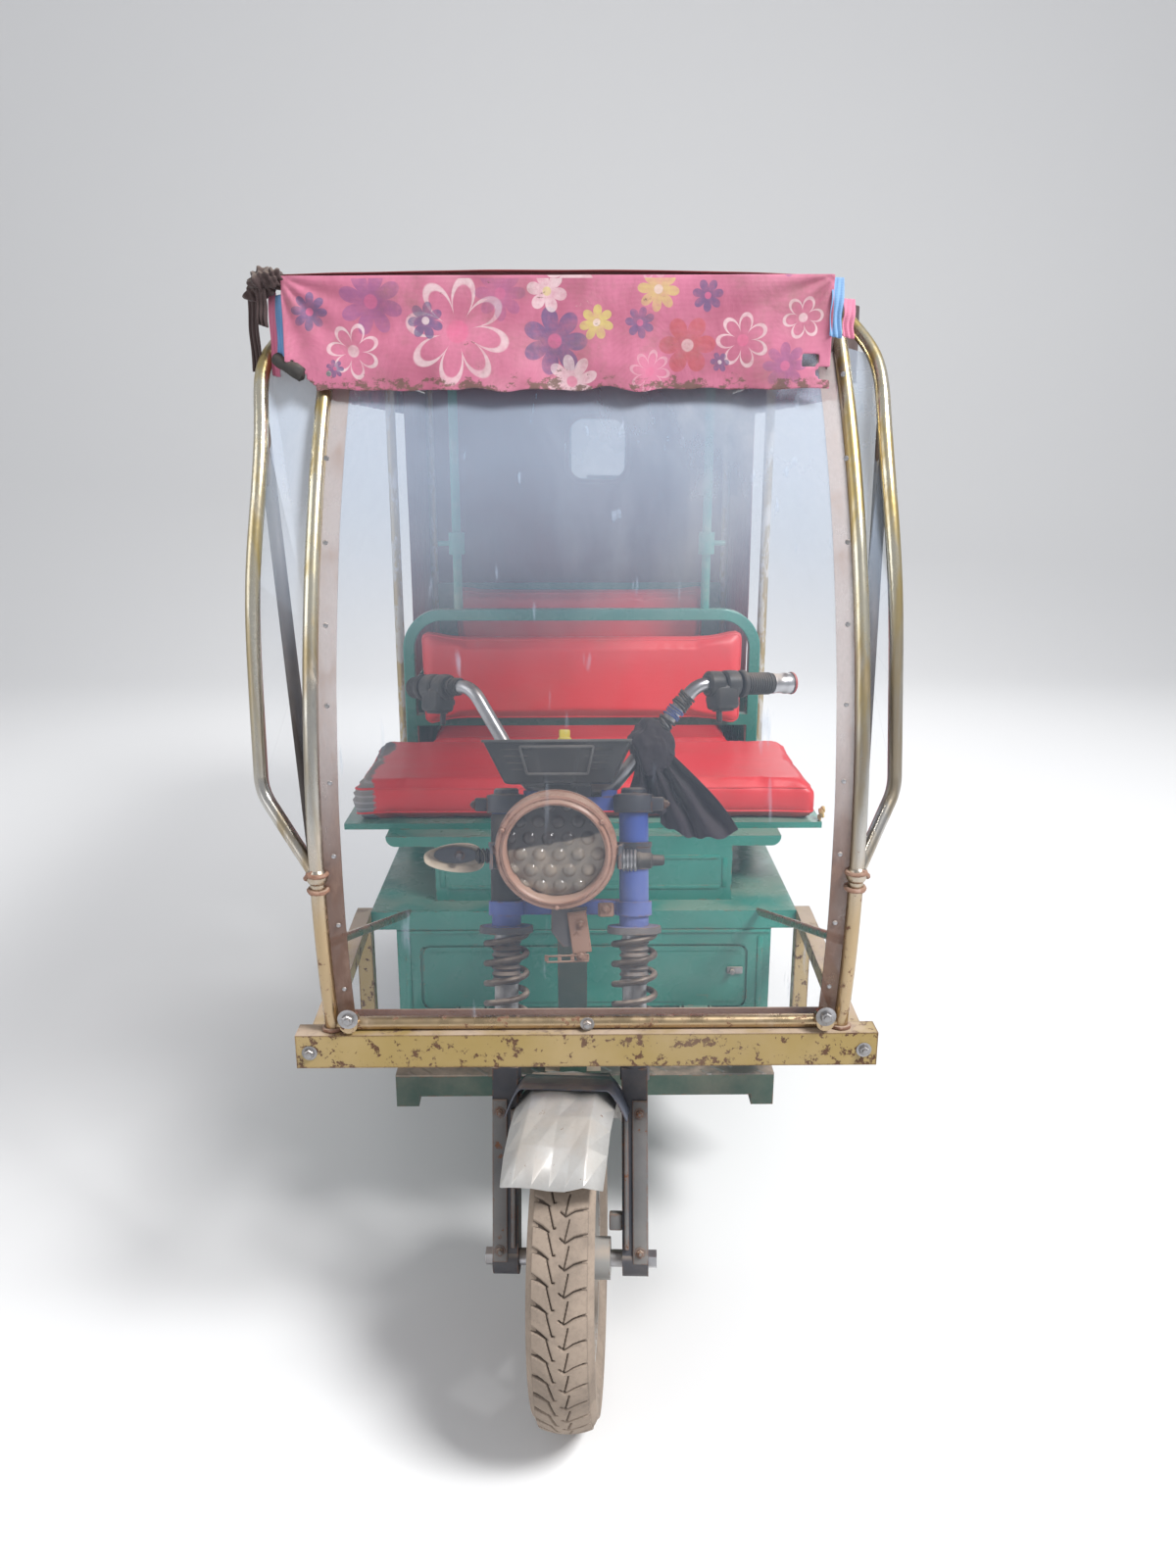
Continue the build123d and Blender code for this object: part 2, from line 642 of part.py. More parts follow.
# Bracket where the horn was: a bent sheet hanging from the lower yoke
bracket = Pos(0, -BRACKET_W / 4, LOWER_YOKE_AT) * Box(BRACKET_W, BRACKET_W / 2, BRACKET_T)
drop = Polyline(
    (-BRACKET_W / 2, BRACKET_T / 2), (BRACKET_W / 2, BRACKET_T / 2),
    (BRACKET_W / 2, -BRACKET_H * 0.45), (BRACKET_W / 6, -BRACKET_H),
    (-BRACKET_W / 6, -BRACKET_H), (-BRACKET_W / 2, -BRACKET_H * 0.6), close=True)
drop = Pos(0, -BRACKET_W / 2, LOWER_YOKE_AT) * extrude(Plane.XZ * make_face(drop), BRACKET_T)
write("lamp_and_horn_brackets", steered(ears + bracket + drop))

# Rag knotted round the left side of the handlebar, hanging to one side
rag_z = BAR_AT + BAR_RISE / 2
rag_corners = [(RAG_IN + RAG_W * across, rag_z + RAG_DROP * up) for across, up in RAG_OUTLINE]
rag = Polyline(*rag_corners, close=True)
rag = Pos(0, bar_y + RAG_T / 2, 0) * extrude(Plane.XZ * make_face(rag), RAG_T)
rag = soft(rag, 8) - pipe(bar_line, BAR_R + SEAT_GAP, BAR_BEND)
write("rag", steered(rag))


# Frame: two box rails with cross members, and outriggers to the posts and the passenger body
def both(maker):
    """The same piece on both sides."""
    return maker(-1) + maker(1)


def beside(side, inner, outer, back0, back1, z0, z1):
    """A block on one side, between two distances from the middle."""
    ends = sorted((side * inner, side * outer))
    return slab(*ends, back0, back1, z0, z1)


rail_in = RAIL_X - RAIL_W / 2
rail_out = RAIL_X + RAIL_W / 2
rail_low = FLOOR_Z - RAIL_H
frame = both(lambda s: beside(s, rail_in, rail_out, FRONT_CROSS - CROSS_W / 2, RAIL_END, rail_low, FLOOR_Z))
for back in (FRONT_CROSS, BOX_BACK, BENCH_FRONT, RAIL_END - CROSS_W / 2):
    frame += slab(-rail_in, rail_in, back - CROSS_W / 2, back + CROSS_W / 2, FLOOR_Z - CROSS_H, FLOOR_Z)
out_to = [(SIDE_POST, ARM_X + ARM_W / 2), (BODY_FRONT + CROSS_W / 2, BODY_IN), (BODY_SLOPE, BODY_IN),
          (RAIL_END - CROSS_W / 2, BODY_IN)]
for back, reach in out_to:
    frame += both(lambda s: beside(
        s, rail_out, reach, back - CROSS_W / 2, back + CROSS_W / 2, FLOOR_Z - CROSS_H, FLOOR_Z))
eye_z = rail_low - HANGER_T - EYE_R
for end in SIDES:
    back = WHEELBASE + end * LEAF_HALF
    for face in SIDES:
        cheek = RAIL_X + face * (LEAF_W + HANGER_T + 1) / 2
        frame += both(lambda s: beside(s, cheek - HANGER_T / 2, cheek + HANGER_T / 2, back - EYE_R,
                                       back + EYE_R, eye_z - EYE_R, rail_low))
    outer = RAIL_X + (LEAF_W + 1) / 2 + HANGER_T
    frame += both(lambda s: beside(s, 2 * RAIL_X - outer, outer, back - EYE_R, back + EYE_R,
                                   rail_low - HANGER_T, rail_low))
write("frame_rails", frame)

floor_top = FLOOR_Z + FLOOR_T
driver_floor = slab(-rail_out, rail_out, FRONT_CROSS - CROSS_W / 2, BOX_FRONT, FLOOR_Z, floor_top)
cabin_floor = slab(-rail_out, rail_out, BOX_BACK, BODY_FRONT, FLOOR_Z, floor_top)
cabin_floor += slab(-BODY_IN, BODY_IN, BODY_FRONT, BODY_SLOPE + CROSS_W / 2, FLOOR_Z, floor_top)
cabin_floor += slab(-rail_out, rail_out, BODY_SLOPE, BENCH_FRONT, FLOOR_Z, floor_top)
write("floor_plates", driver_floor + cabin_floor)

# Steering head: the bored head tube on its post, with a gusset to the front cross member
bore_low = LOWER_FACE + HEAD_GAP
bore_high = UPPER_FACE - HEAD_GAP
head_mid = (bore_low + bore_high) / 2
lean = math.radians(RAKE)
head_back = head_mid * math.sin(lean) + YOKE_OFFSET * math.cos(lean)
head_up = TYRE_R + head_mid * math.cos(lean) - YOKE_OFFSET * math.sin(lean)
post_start = spot(HEAD_X, head_back + HEAD_TUBE_R, head_up)
post_end = spot(HEAD_X, FRONT_CROSS, floor_top)
post = square_bar(post_start, post_end, POST_W, POST_D, Vector(0, 1, 0))
collar = head(Pos(0, 0, head_mid) * Cylinder(HEAD_TUBE_R, bore_high - bore_low))
foot = slab(HEAD_X - POST_W, HEAD_X + POST_W, FRONT_CROSS - CROSS_W / 2, FRONT_CROSS + CROSS_W,
            floor_top, floor_top + 6)
steering_post = post + collar + foot - head(Pos(0, 0, head_mid) * Cylinder(STEM_R + RUNNING_FIT, POST_W * 4))
steering_post -= slab(HEAD_X - POST_W, HEAD_X + POST_W, 0, BOX_FRONT, 0, floor_top)
write("steering_head", steering_post)

# Box under the driver: open at the front for its drop-down door
box_outer = slab(-BOX_X, BOX_X, BOX_FRONT, BOX_BACK, floor_top, PLATFORM_LOW)
box_inner = slab(-BOX_X + BOX_WALL, BOX_X - BOX_WALL, BOX_FRONT + BOX_WALL, BOX_BACK - BOX_WALL,
                 floor_top, PLATFORM_LOW)
doorway = Plane(origin=spot(0, BOX_FRONT, DOOR_Z + DOOR_H / 2), x_dir=(1, 0, 0), z_dir=(0, -1, 0))
opening = doorway * RectangleRounded(2 * (DOOR_X + DOOR_GAP), DOOR_H + 2 * DOOR_GAP, DOOR_CORNER + DOOR_GAP)
box = box_outer - box_inner - extrude(opening, BOX_WALL * 2, both=True)
hinge_back = BOX_FRONT - HINGE_BARREL_R - 1
hinge_z = DOOR_Z - DOOR_GAP
for side in SIDES:
    pin_half = HINGE_L / 2 + 4
    box += lying(HINGE_PIN_R, 2 * pin_half, side * HINGE_X, hinge_back, hinge_z)
    for end in SIDES:
        lug_x = side * HINGE_X + end * (pin_half + 2)
        box += slab(lug_x - 2, lug_x + 2, hinge_back - 4, BOX_FRONT, hinge_z - 5, hinge_z + 5)
write("battery_box", box)

door = extrude(doorway * RectangleRounded(2 * DOOR_X, DOOR_H, DOOR_CORNER), -BOX_WALL)
for side in SIDES:
    at = side * HINGE_X
    door += lying(HINGE_BARREL_R, HINGE_L, at, hinge_back, hinge_z)
    door += slab(at - HINGE_L / 2, at + HINGE_L / 2, hinge_back - 1, BOX_FRONT, hinge_z + 3, hinge_z + 6)
    door += slab(at - HINGE_L / 2, at + HINGE_L / 2, BOX_FRONT - 2, BOX_FRONT, hinge_z + 3, DOOR_Z + 24)
for side in SIDES:
    door -= lying(HINGE_PIN_R + RUNNING_FIT, HINGE_L + 1, side * HINGE_X, hinge_back, hinge_z)
write("box_door", door)

# Front platform with its posts, and the arms that carry the beam
post_face = ARM_X - ARM_W / 2
platform = slab(-post_face, post_face, BOX_FRONT - 2, PLATFORM_BACK, PLATFORM_LOW, PLATFORM_TOP)
pan_low = BASE_TOP + BOARD_H
pan_top = pan_low + SEAT_PAN_T
base = slab(-BASE_X, BASE_X, BASE_FRONT, BOX_BACK, PLATFORM_TOP, BASE_TOP)
well = slab(BOX_WALL - BASE_X, BASE_X - BOX_WALL, BASE_FRONT + BOX_WALL, BOX_BACK - BOX_WALL,
            PLATFORM_LOW, BASE_TOP)
board = slab(-BOARD_X, BOARD_X, BASE_FRONT, BOX_BACK, BASE_TOP, BASE_TOP + BOARD_H)
board = fillet(board.edges().filter_by(Axis.Y).group_by(Axis.Z)[0], BOARD_H - 2)
seat_base = platform + base - well + board
seat_base += slab(8 - SEAT_X, SEAT_X - 8, SEAT_FRONT + 6, BOX_BACK, pan_low, pan_top)
write("seat_base", seat_base)

beam_top = BEAM_Z + BEAM_H
arm_z = PLATFORM_TOP - ARM_W / 2


def front_arm(side):
    upright = beside(side, post_face, ARM_X + ARM_W / 2, SIDE_POST - ARM_W / 2, SIDE_POST + ARM_W / 2,
                     FLOOR_Z, PLATFORM_TOP)
    start = spot(side * ARM_X, SIDE_POST - ARM_W / 2, arm_z)
    return upright + square_bar(start, spot(side * ARM_END_X, BEAM_BACK, arm_z), ARM_W, ARM_W)


arms = both(front_arm)

beam = slab(-BEAM_HALF, BEAM_HALF, BEAM_BACK - BEAM_D, BEAM_BACK, BEAM_Z, beam_top) + arms
beam -= slab(-BEAM_HALF, BEAM_HALF, BEAM_BACK - BEAM_D + BEAM_WALL, BEAM_BACK - BEAM_WALL,
             BEAM_Z + BEAM_WALL, beam_top - BEAM_WALL)
write("front_beam", beam)

# Windscreen frame: bowed inner pipes, outer pipes from a joint part way up, and the top bar
def inner_line(side, shift=0.0):
    return ThreePointArc(
        spot(side * (SCREEN_X - shift), SCREEN_FOOT, beam_top),
        spot(side * (SCREEN_X - shift), SCREEN_BOW, SCREEN_BOW_Z),
        spot(side * (SCREEN_TOP_X - shift), SCREEN_TOP, ROOF_FRONT_Z))


def along(line, radius):
    return sweep(Plane(origin=line @ 0, z_dir=line % 0) * Circle(radius), path=line)


def ball(point, radius):
    return Pos(*point) * Sphere(radius)


def outer_points(side):
    """The bends of one outer pipe, from its table."""
    column = 2 if side < 0 else 3
    return [spot(side * row[column], row[1], row[0]) for row in OUTER_PIPES]


def screen_side(side):
    """The windscreen pipes of one side, welded in a knuckle at the joint and at the top."""
    inner = inner_line(side)
    joint = inner @ JOINT_AT
    top = inner @ 1
    bends = outer_points(side)
    knee = FilletPolyline(joint, bends[0], bends[1], radius=OUTER_CURVE)
    rest = Spline(*bends[1:], top, tangents=(bends[1] - bends[0], top - bends[-1]))
    outer = Wire([*knee.edges(), *rest.edges()])
    pipes = along(inner, PIPE_R) + along(outer, PIPE_R - 0.5) + ball(joint, KNUCKLE_R) + ball(top, KNUCKLE_R)
    return pipes + pipe([joint, bends[STRUT_AT]], PIPE_R - 2)


beam_block = slab(-BEAM_HALF, BEAM_HALF, BEAM_BACK - BEAM_D, BEAM_BACK, BEAM_Z, beam_top)
screen = both(screen_side)
screen += lying(PIPE_R - 1, 2 * SCREEN_TOP_X, 0, SCREEN_TOP, ROOF_FRONT_Z)
screen -= beam_block

sill = lying(SILL_R, 2 * SCREEN_X, 0, SCREEN_FOOT, beam_top + SILL_R)
caps = both(lambda s: Pos(*spot(s * CAP_X, SCREEN_FOOT - CAP_L / 2, beam_top + SILL_R + 8)) *
            Rot(X=90) * Cylinder(CAP_R, CAP_L))
braces = both(lambda s: pipe([spot(s * BRACE_X, BRACE_FOOT, PLATFORM_TOP - BRACE_R),
                              inner_line(s) @ BRACE_AT], BRACE_R))
braces -= slab(-ARM_X, ARM_X, SIDE_POST - ARM_W, BOX_BACK, PLATFORM_LOW, PLATFORM_TOP)
write("windscreen_frame", screen + sill + caps + braces)

# Roof frame: a rail along each side and the bows between them
roof_left = pipe([spot(SCREEN_TOP_X, SCREEN_TOP, ROOF_FRONT_Z), spot(ROOF_X, ROOF_FULL, ROOF_Z),
                  spot(ROOF_X, ROOF_BACK, ROOF_Z)], RAIL_PIPE_R - 1, RAIL_CURVE)
roof = roof_left + mirror(roof_left, Plane.YZ)
canopy_low = ROOF_Z + RAIL_PIPE_R + CANOPY_T + SEAT_GAP
bow_rise = canopy_low + ROOF_RISE - CANOPY_T - SEAT_GAP - BOW_R - ROOF_Z
for back in BOWS:
    crown = spot(0, back, ROOF_Z + bow_rise)
    bow = ThreePointArc(spot(-ROOF_X, back, ROOF_Z), crown, spot(ROOF_X, back, ROOF_Z))
    roof += along(bow, BOW_R)
roof -= screen
write("roof_frame", roof)

# Clear sheets and the flat strips that hold them, all on the bow of the inner pipes
def bowed(x0, x1, thickness, low, high):
    """A sheet that follows the side view of the inner pipes, from one height to another."""
    foot = (SCREEN_FOOT, beam_top)
    bow = (SCREEN_BOW, SCREEN_BOW_Z)
    top = (SCREEN_TOP, ROOF_FRONT_Z)
    front = ThreePointArc(foot, bow, top)
    back = ThreePointArc(*[(y + thickness, z) for y, z in (foot, bow, top)])
    face = make_face([front, Line(front @ 1, back @ 1), back, Line(back @ 0, front @ 0)])
    side = Plane(origin=spot(x0, 0, 0), x_dir=(0, 1, 0), z_dir=(1, 0, 0))
    sheet = extrude(side * face, x1 - x0)
    return sheet & slab(x0, x1, -BEAM_HALF, BEAM_HALF, low, high)


def front_view(edges):
    """A block through the windscreen whose outline is given as (x, z) corners."""
    view = Plane(origin=spot(0, BEAM_HALF, 0), x_dir=(1, 0, 0), z_dir=(0, -1, 0))
    return extrude(view * make_face(Polyline(*edges, close=True)), 2 * BEAM_HALF)


sheet_low = beam_top + 2 * SILL_R + SEAT_GAP
sheet_high = ROOF_FRONT_Z - 2 * PIPE_R
pipe_edge = [(point.X - PIPE_R, point.Z) for point in (inner_line(1) @ (step / 6) for step in range(7))]
sheet_edge = [(x - STRIP_W, z) for x, z in pipe_edge]
sheet_outline = sheet_edge + [(-x, z) for x, z in reversed(sheet_edge)]
whole_sheet = bowed(-SCREEN_X, SCREEN_X, SHEET_T, sheet_low, sheet_high)
screen_sheet = (whole_sheet & front_view(sheet_outline)) - caps
strip_outline = sheet_edge + [(x + 2, z) for x, z in reversed(pipe_edge)]
strip = bowed(0, SCREEN_X, STRIP_T, sheet_low, sheet_high) & front_view(strip_outline)
strips = strip + mirror(strip, Plane.YZ) - screen - sill - caps
write("windscreen_strips", strips)

# Clear side sheets between the inner and the outer pipes
def quilt(side):
    """Flat facets of clear sheet, one for each run of the outer pipe."""
    line = inner_line(side)
    middle = line @ SHEET_MIDDLE
    rim_points = [line @ JOINT_AT, *outer_points(side), line @ SHEET_AT]
    faces = None
    for low, high in zip(rim_points, rim_points[1:]):
        face = make_face(Polyline(low, high, middle, close=True))
        piece = extrude(face, SHEET_T / 2, both=True)
        faces = piece if faces is None else faces + piece
    return faces - screen


write("windscreen_sheets", screen_sheet + both(quilt))

# Roof: an arched canopy that narrows to the front bar, and the cloth that hangs from its edges
def arch(middle, back, half, rise, low):
    """The canopy's section: an arch of even thickness at one place along the roof."""
    place = Plane(origin=spot(middle, back, low), x_dir=(1, 0, 0), z_dir=(0, 1, 0))
    top = ThreePointArc((-half, 0), (0, -rise), (half, 0))
    under = ThreePointArc((-half, CANOPY_T), (0, CANOPY_T - rise), (half, CANOPY_T))
    return place * make_face([top, Line(top @ 1, under @ 1), under, Line(under @ 0, top @ 0)])


canopy_half = ROOF_X + RAIL_PIPE_R + CANOPY_SIDE
canopy_front = ROOF_FRONT_Z + KNUCKLE_R + CANOPY_T + NOSE_LIFT
nose_middle = (VALANCE_LEFT - VALANCE_RIGHT) / 2
nose_half = (VALANCE_LEFT + VALANCE_RIGHT) / 2
nose = arch(nose_middle, SCREEN_TOP - NOSE, nose_half, NOSE_RISE, canopy_front)
full = arch(0, ROOF_FULL, canopy_half, ROOF_RISE, canopy_low)
tail = arch(0, ROOF_BACK, canopy_half, ROOF_RISE, canopy_low)
canopy = loft([nose, full], ruled=True) + loft([full, tail], ruled=True)
write("canopy", canopy)

# Cloth that hangs from the roof: the front valance and one along each side
front_edge = SCREEN_TOP - NOSE
valance = slab(-VALANCE_RIGHT, VALANCE_LEFT, front_edge - SEAT_GAP - VALANCE_T, front_edge - SEAT_GAP,
               VALANCE_TOP - VALANCE_DROP, VALANCE_TOP)
drops = both(lambda s: beside(s, canopy_half + SEAT_GAP, canopy_half + VALANCE_T, SIDE_DROP_FRONT, ROOF_BACK,
                              canopy_low - SIDE_DROP, canopy_low + 3))
write("valances", soft(valance, 2.5) + drops)

# Driver's cushion
seat = slab(-SEAT_X, SEAT_X, SEAT_FRONT, SEAT_BACK, pan_top + SEAT_GAP, pan_top + SEAT_PAD_T)
write("driver_cushion", soft(seat, 16))

# Driver's backrest: a bent square tube with a pad before it, and two poles up to the roof
hoop_half = HOOP_X - HOOP_W / 2
hoop_line = FilletPolyline(
    spot(-hoop_half, HOOP_BACK, PLATFORM_TOP), spot(-hoop_half, HOOP_BACK, HOOP_TOP - HOOP_W / 2),
    spot(hoop_half, HOOP_BACK, HOOP_TOP - HOOP_W / 2), spot(hoop_half, HOOP_BACK, PLATFORM_TOP),
    radius=HOOP_BEND)
hoop_section = Plane(origin=hoop_line @ 0, x_dir=(1, 0, 0), z_dir=(0, 0, 1))
hoop = sweep(hoop_section * RectangleRounded(HOOP_W, HOOP_W, 3), path=hoop_line)
hoop += slab(-hoop_half, hoop_half, HOOP_BACK - HOOP_W / 2, HOOP_BACK + HOOP_W / 2,
             BACK_PAD_BOTTOM, BACK_PAD_BOTTOM + HOOP_W)
write("backrest_hoop", hoop)
pad_back = HOOP_BACK - HOOP_W / 2 - SEAT_GAP
pad = slab(-BACK_PAD_X, BACK_PAD_X, pad_back - BACK_PAD_T, pad_back, BACK_PAD_BOTTOM, BACK_PAD_TOP)
write("driver_back_pad", soft(pad, 14))


pole_top = ROOF_Z + bow_rise * (1 - (POLE_X / ROOF_X) ** 2)


def roof_pole(side):
    pole = Cylinder(POLE_R, pole_top - HOOP_TOP, align=(Align.CENTER, Align.CENTER, Align.MIN))
    pole = Pos(*spot(side * POLE_X, HOOP_BACK, HOOP_TOP)) * pole
    clamp = Pos(*spot(side * POLE_X, HOOP_BACK, CLAMP_Z)) * Cylinder(CLAMP_R, CLAMP_L)
    pole += clamp + lying(CLAMP_R / 3, CLAMP_L, side * (POLE_X + CLAMP_R), HOOP_BACK, CLAMP_Z)
    return pole - roof


posts = both(roof_pole)

# Posts of the passenger hood
hood_x = BODY_IN - HOOD_POST_R


def hood_post(side, back):
    low = floor_top if back < BENCH_FRONT else FLOOR_Z
    tube = Cylinder(HOOD_POST_R, ROOF_Z - low, align=(Align.CENTER, Align.CENTER, Align.MIN))
    return Pos(*spot(side * hood_x, back, low)) * tube - roof


back_post = RAIL_END - HOOD_POST_R - BODY_WALL - 3
for back in (BODY_FRONT + CROSS_W / 2, back_post):
    posts += both(lambda s: hood_post(s, back))
write("roof_posts", posts)

# Passenger body: side panels with a flared sill and a wheel arch, and the back panel
def body_side(side):
    plate = Polyline(
        (BODY_FRONT, SKIRT_Z), (BODY_FRONT, BODY_LOW), (BODY_SLOPE + 40, BODY_LOW),
        (BODY_HIGH_AT, BODY_HIGH), (BODY_BACK, BODY_HIGH), (BODY_BACK, SKIRT_Z), close=True)
    inside = min(side * BODY_IN, side * BODY_X)
    facing_out = Plane(origin=spot(inside, 0, 0), x_dir=(0, 1, 0), z_dir=(1, 0, 0))
    panel = extrude(facing_out * make_face(plate), BODY_WALL)
    panel -= lying(ARCH_R + ARCH_T, 20, side * BODY_X, WHEELBASE, TYRE_R)
    flare = Polyline(
        (BODY_X, FLARE_Z), (FLARE_X, FLARE_LOW), (FLARE_X, SKIRT_Z), (FLARE_X - BODY_WALL, SKIRT_Z),
        (FLARE_X - BODY_WALL, FLARE_LOW), (BODY_X, FLARE_Z - 7), close=True)
    lip = Plane(origin=spot(0, BODY_FRONT, 0), x_dir=(side, 0, 0), z_dir=(0, -side, 0))
    lip = extrude(lip * make_face(flare), -side * (BODY_SLOPE - BODY_FRONT))
    return panel + lip


back_panel = slab(-BODY_IN, BODY_IN, BODY_BACK - BODY_WALL, BODY_BACK, SKIRT_Z, BODY_HIGH)
back_panel -= slab(-BODY_IN, BODY_IN, 0, RAIL_END, 0, FLOOR_Z)
write("passenger_body", both(body_side) + back_panel)

# Passenger bench: a sheet box, its board, the cushion and the stuffed backrest on its own board
bench = slab(-BENCH_X, BENCH_X, BENCH_FRONT, BENCH_BACK_AT, FLOOR_Z + FLOOR_T, BENCH_TOP)
bench -= slab(BENCH_WALL - BENCH_X, BENCH_X - BENCH_WALL, BENCH_FRONT + BENCH_WALL, BENCH_BACK_AT,
              FLOOR_Z, BENCH_TOP)
bench_top = BENCH_TOP + BOARD_T
board_back = back_post - HOOD_POST_R - SEAT_GAP
boards = slab(-BENCH_PAD_X, BENCH_PAD_X, BENCH_FRONT, board_back, BENCH_TOP, bench_top)
boards += slab(-BENCH_PAD_X, BENCH_PAD_X, board_back - BOARD_T, board_back, bench_top, BENCH_BACK_Z - 12)
write("bench_box", bench + boards)
bench_pad = slab(-BENCH_PAD_X, BENCH_PAD_X, BENCH_NOSE, BENCH_PAD_BACK, bench_top + SEAT_GAP,
                 bench_top + BENCH_PAD_T)
write("bench_cushion", soft(bench_pad, 18))
rest_back = board_back - BOARD_T - SEAT_GAP
bench_rest = slab(-BENCH_BACK_X, BENCH_BACK_X, rest_back - BENCH_BACK_T, rest_back,
                  bench_top + BENCH_PAD_T + 4, BENCH_BACK_Z)
write("bench_back_pad", soft(bench_rest, 18))

# Hood curtains, the rear one with its clear window
curtain_x = ROOF_X - RAIL_PIPE_R - 1
curtain_edge = [
    Polyline((curtain_x, ROOF_Z), (curtain_x, BODY_HIGH - CURTAIN_LAP),
             (-curtain_x, BODY_HIGH - CURTAIN_LAP), (-curtain_x, ROOF_Z)),
    ThreePointArc((-curtain_x, ROOF_Z), (0, ROOF_Z + bow_rise + 2), (curtain_x, ROOF_Z))]
rear_plane = Plane(origin=spot(0, BODY_BACK + SEAT_GAP, 0), x_dir=(-1, 0, 0), z_dir=(0, 1, 0))
window_at = rear_plane * Pos(-WINDOW_X, WINDOW_Z) * RectangleRounded(WINDOW_W, WINDOW_H, WINDOW_CORNER)
curtain = extrude(rear_plane * make_face(curtain_edge), CURTAIN_T) - extrude(window_at, CURTAIN_T)
write("rear_curtain", curtain)
write("rear_window", extrude(window_at, SHEET_T))
side_curtains = both(lambda s: beside(
    s, BODY_IN + SEAT_GAP, BODY_IN + CURTAIN_T, CURTAIN_FRONT, BODY_BACK, BODY_HIGH + SEAT_GAP,
    ROOF_Z - RAIL_PIPE_R - SEAT_GAP))
write("side_curtains", side_curtains)

# Rear wheels with their mudguards
guard_face = Pos((ARCH_R + ARCH_T / 2), 0) * Rectangle(ARCH_T, ARCH_OUT - ARCH_IN)
rear_guard = revolve(Plane.XZ * guard_face, Axis.Z, revolution_arc=2 * ARCH_DEG)
rear_guard = Rot(X=180 - ARCH_DEG) * Rot(Y=90) * rear_guard
guard_mid = (ARCH_IN + ARCH_OUT) / 2
write("rear_mudguards", both(lambda s: Pos(*spot(s * guard_mid, WHEELBASE, TYRE_R)) * rear_guard))
for side, half in zip(SIDES, HALVES):
    hub_at = Pos(*spot(side * TRACK_HALF, WHEELBASE, TYRE_R))
    write(f"rear_tyre_{half}", hub_at * tyre())
    write(f"rear_rim_{half}", hub_at * rim(REAR_HUB_HALF, SPINDLE_R + RUNNING_FIT, -side))

# Rear axle: tube with the differential's round case, brake backplates, spindles and nuts
backplate_x = TRACK_HALF - DRUM_W - BACKPLATE_GAP - BACKPLATE_T / 2
nut_x = TRACK_HALF + REAR_HUB_HALF + 1
case_edge = math.sqrt(DIFF_R ** 2 - AXLE_TUBE_R ** 2)
arc_mid = DIFF_R * math.sqrt(0.5)
plate_out = backplate_x + BACKPLATE_T / 2
profile = [
    ThreePointArc((0, DIFF_R), (arc_mid, arc_mid), (case_edge, AXLE_TUBE_R)),
    Polyline((case_edge, AXLE_TUBE_R), (plate_out - BACKPLATE_T, AXLE_TUBE_R),
             (plate_out - BACKPLATE_T, BACKPLATE_R), (plate_out, BACKPLATE_R), (plate_out, SPINDLE_R),
             (nut_x, SPINDLE_R), (nut_x, REAR_NUT_R), (nut_x + REAR_NUT_T, REAR_NUT_R),
             (nut_x + REAR_NUT_T, 0), (0, 0), (0, DIFF_R))]
half_axle = revolve(Plane.XZ * make_face(profile), Axis.X)
rear_axle = Pos(*spot(0, WHEELBASE, TYRE_R)) * (half_axle + mirror(half_axle, Plane.YZ))
write("rear_axle", rear_axle)
motor_at = WHEELBASE - math.sqrt(DIFF_R ** 2 - (MOTOR_R / 2) ** 2) - MOTOR_L / 2
motor = Pos(*spot(0, motor_at, TYRE_R)) * Rot(X=90) * Cylinder(MOTOR_R, MOTOR_L)
write("motor", motor - Pos(*spot(0, WHEELBASE, TYRE_R)) * Sphere(DIFF_R))

# Leaf springs: each leaf shorter than the one above, the longest rolled to an eye at both ends
def leaf_spring(side):
    seat_z = TYRE_R + AXLE_TUBE_R
    pack = None
    for index in range(LEAVES):
        reach = LEAF_HALF * (1 - 0.22 * index)
        middle = seat_z + LEAF_T * (LEAVES - index - 0.5)
        rise = (eye_z - seat_z - LEAF_T * (LEAVES - 0.5)) * (reach / LEAF_HALF) ** 2
        line = [(WHEELBASE - reach, middle + rise), (WHEELBASE, middle), (WHEELBASE + reach, middle + rise)]
        top = ThreePointArc(*[(y, z + LEAF_T / 2) for y, z in line])
        low = ThreePointArc(*[(y, z - LEAF_T / 2) for y, z in line])
        face = make_face([top, Line(top @ 1, low @ 1), low, Line(low @ 0, top @ 0)])
        plane = Plane(origin=spot(side * RAIL_X - LEAF_W / 2, 0, 0), x_dir=(0, 1, 0), z_dir=(1, 0, 0))
        leaf = extrude(plane * face, LEAF_W)
        pack = leaf if pack is None else pack + leaf
    for end in SIDES:
        pack += lying(EYE_R - 1, LEAF_W, side * RAIL_X, WHEELBASE + end * LEAF_HALF, eye_z)
    return pack - lying(AXLE_TUBE_R, LEAF_W * 2, side * RAIL_X, WHEELBASE, TYRE_R)


write("leaf_springs", both(leaf_spring))

# Rear bumper and tail lamps
rail_mid = FLOOR_Z - RAIL_H / 2
bumper = pipe([spot(-RAIL_X, RAIL_END, rail_mid), spot(-RAIL_X, BUMPER_BACK, BUMPER_Z),
               spot(RAIL_X, BUMPER_BACK, BUMPER_Z), spot(RAIL_X, RAIL_END, rail_mid)], BUMPER_R, 40)
write("rear_bumper", bumper - slab(-BODY_X, BODY_X, 0, RAIL_END, 0, BODY_HIGH))
lamps = both(lambda s: Pos(*spot(s * TAIL_LAMP_X, BODY_BACK + TAIL_LAMP_T / 2, TAIL_LAMP_Z)) *
             Rot(X=90) * Cylinder(TAIL_LAMP_R, TAIL_LAMP_T))
write("tail_lamps", lamps)

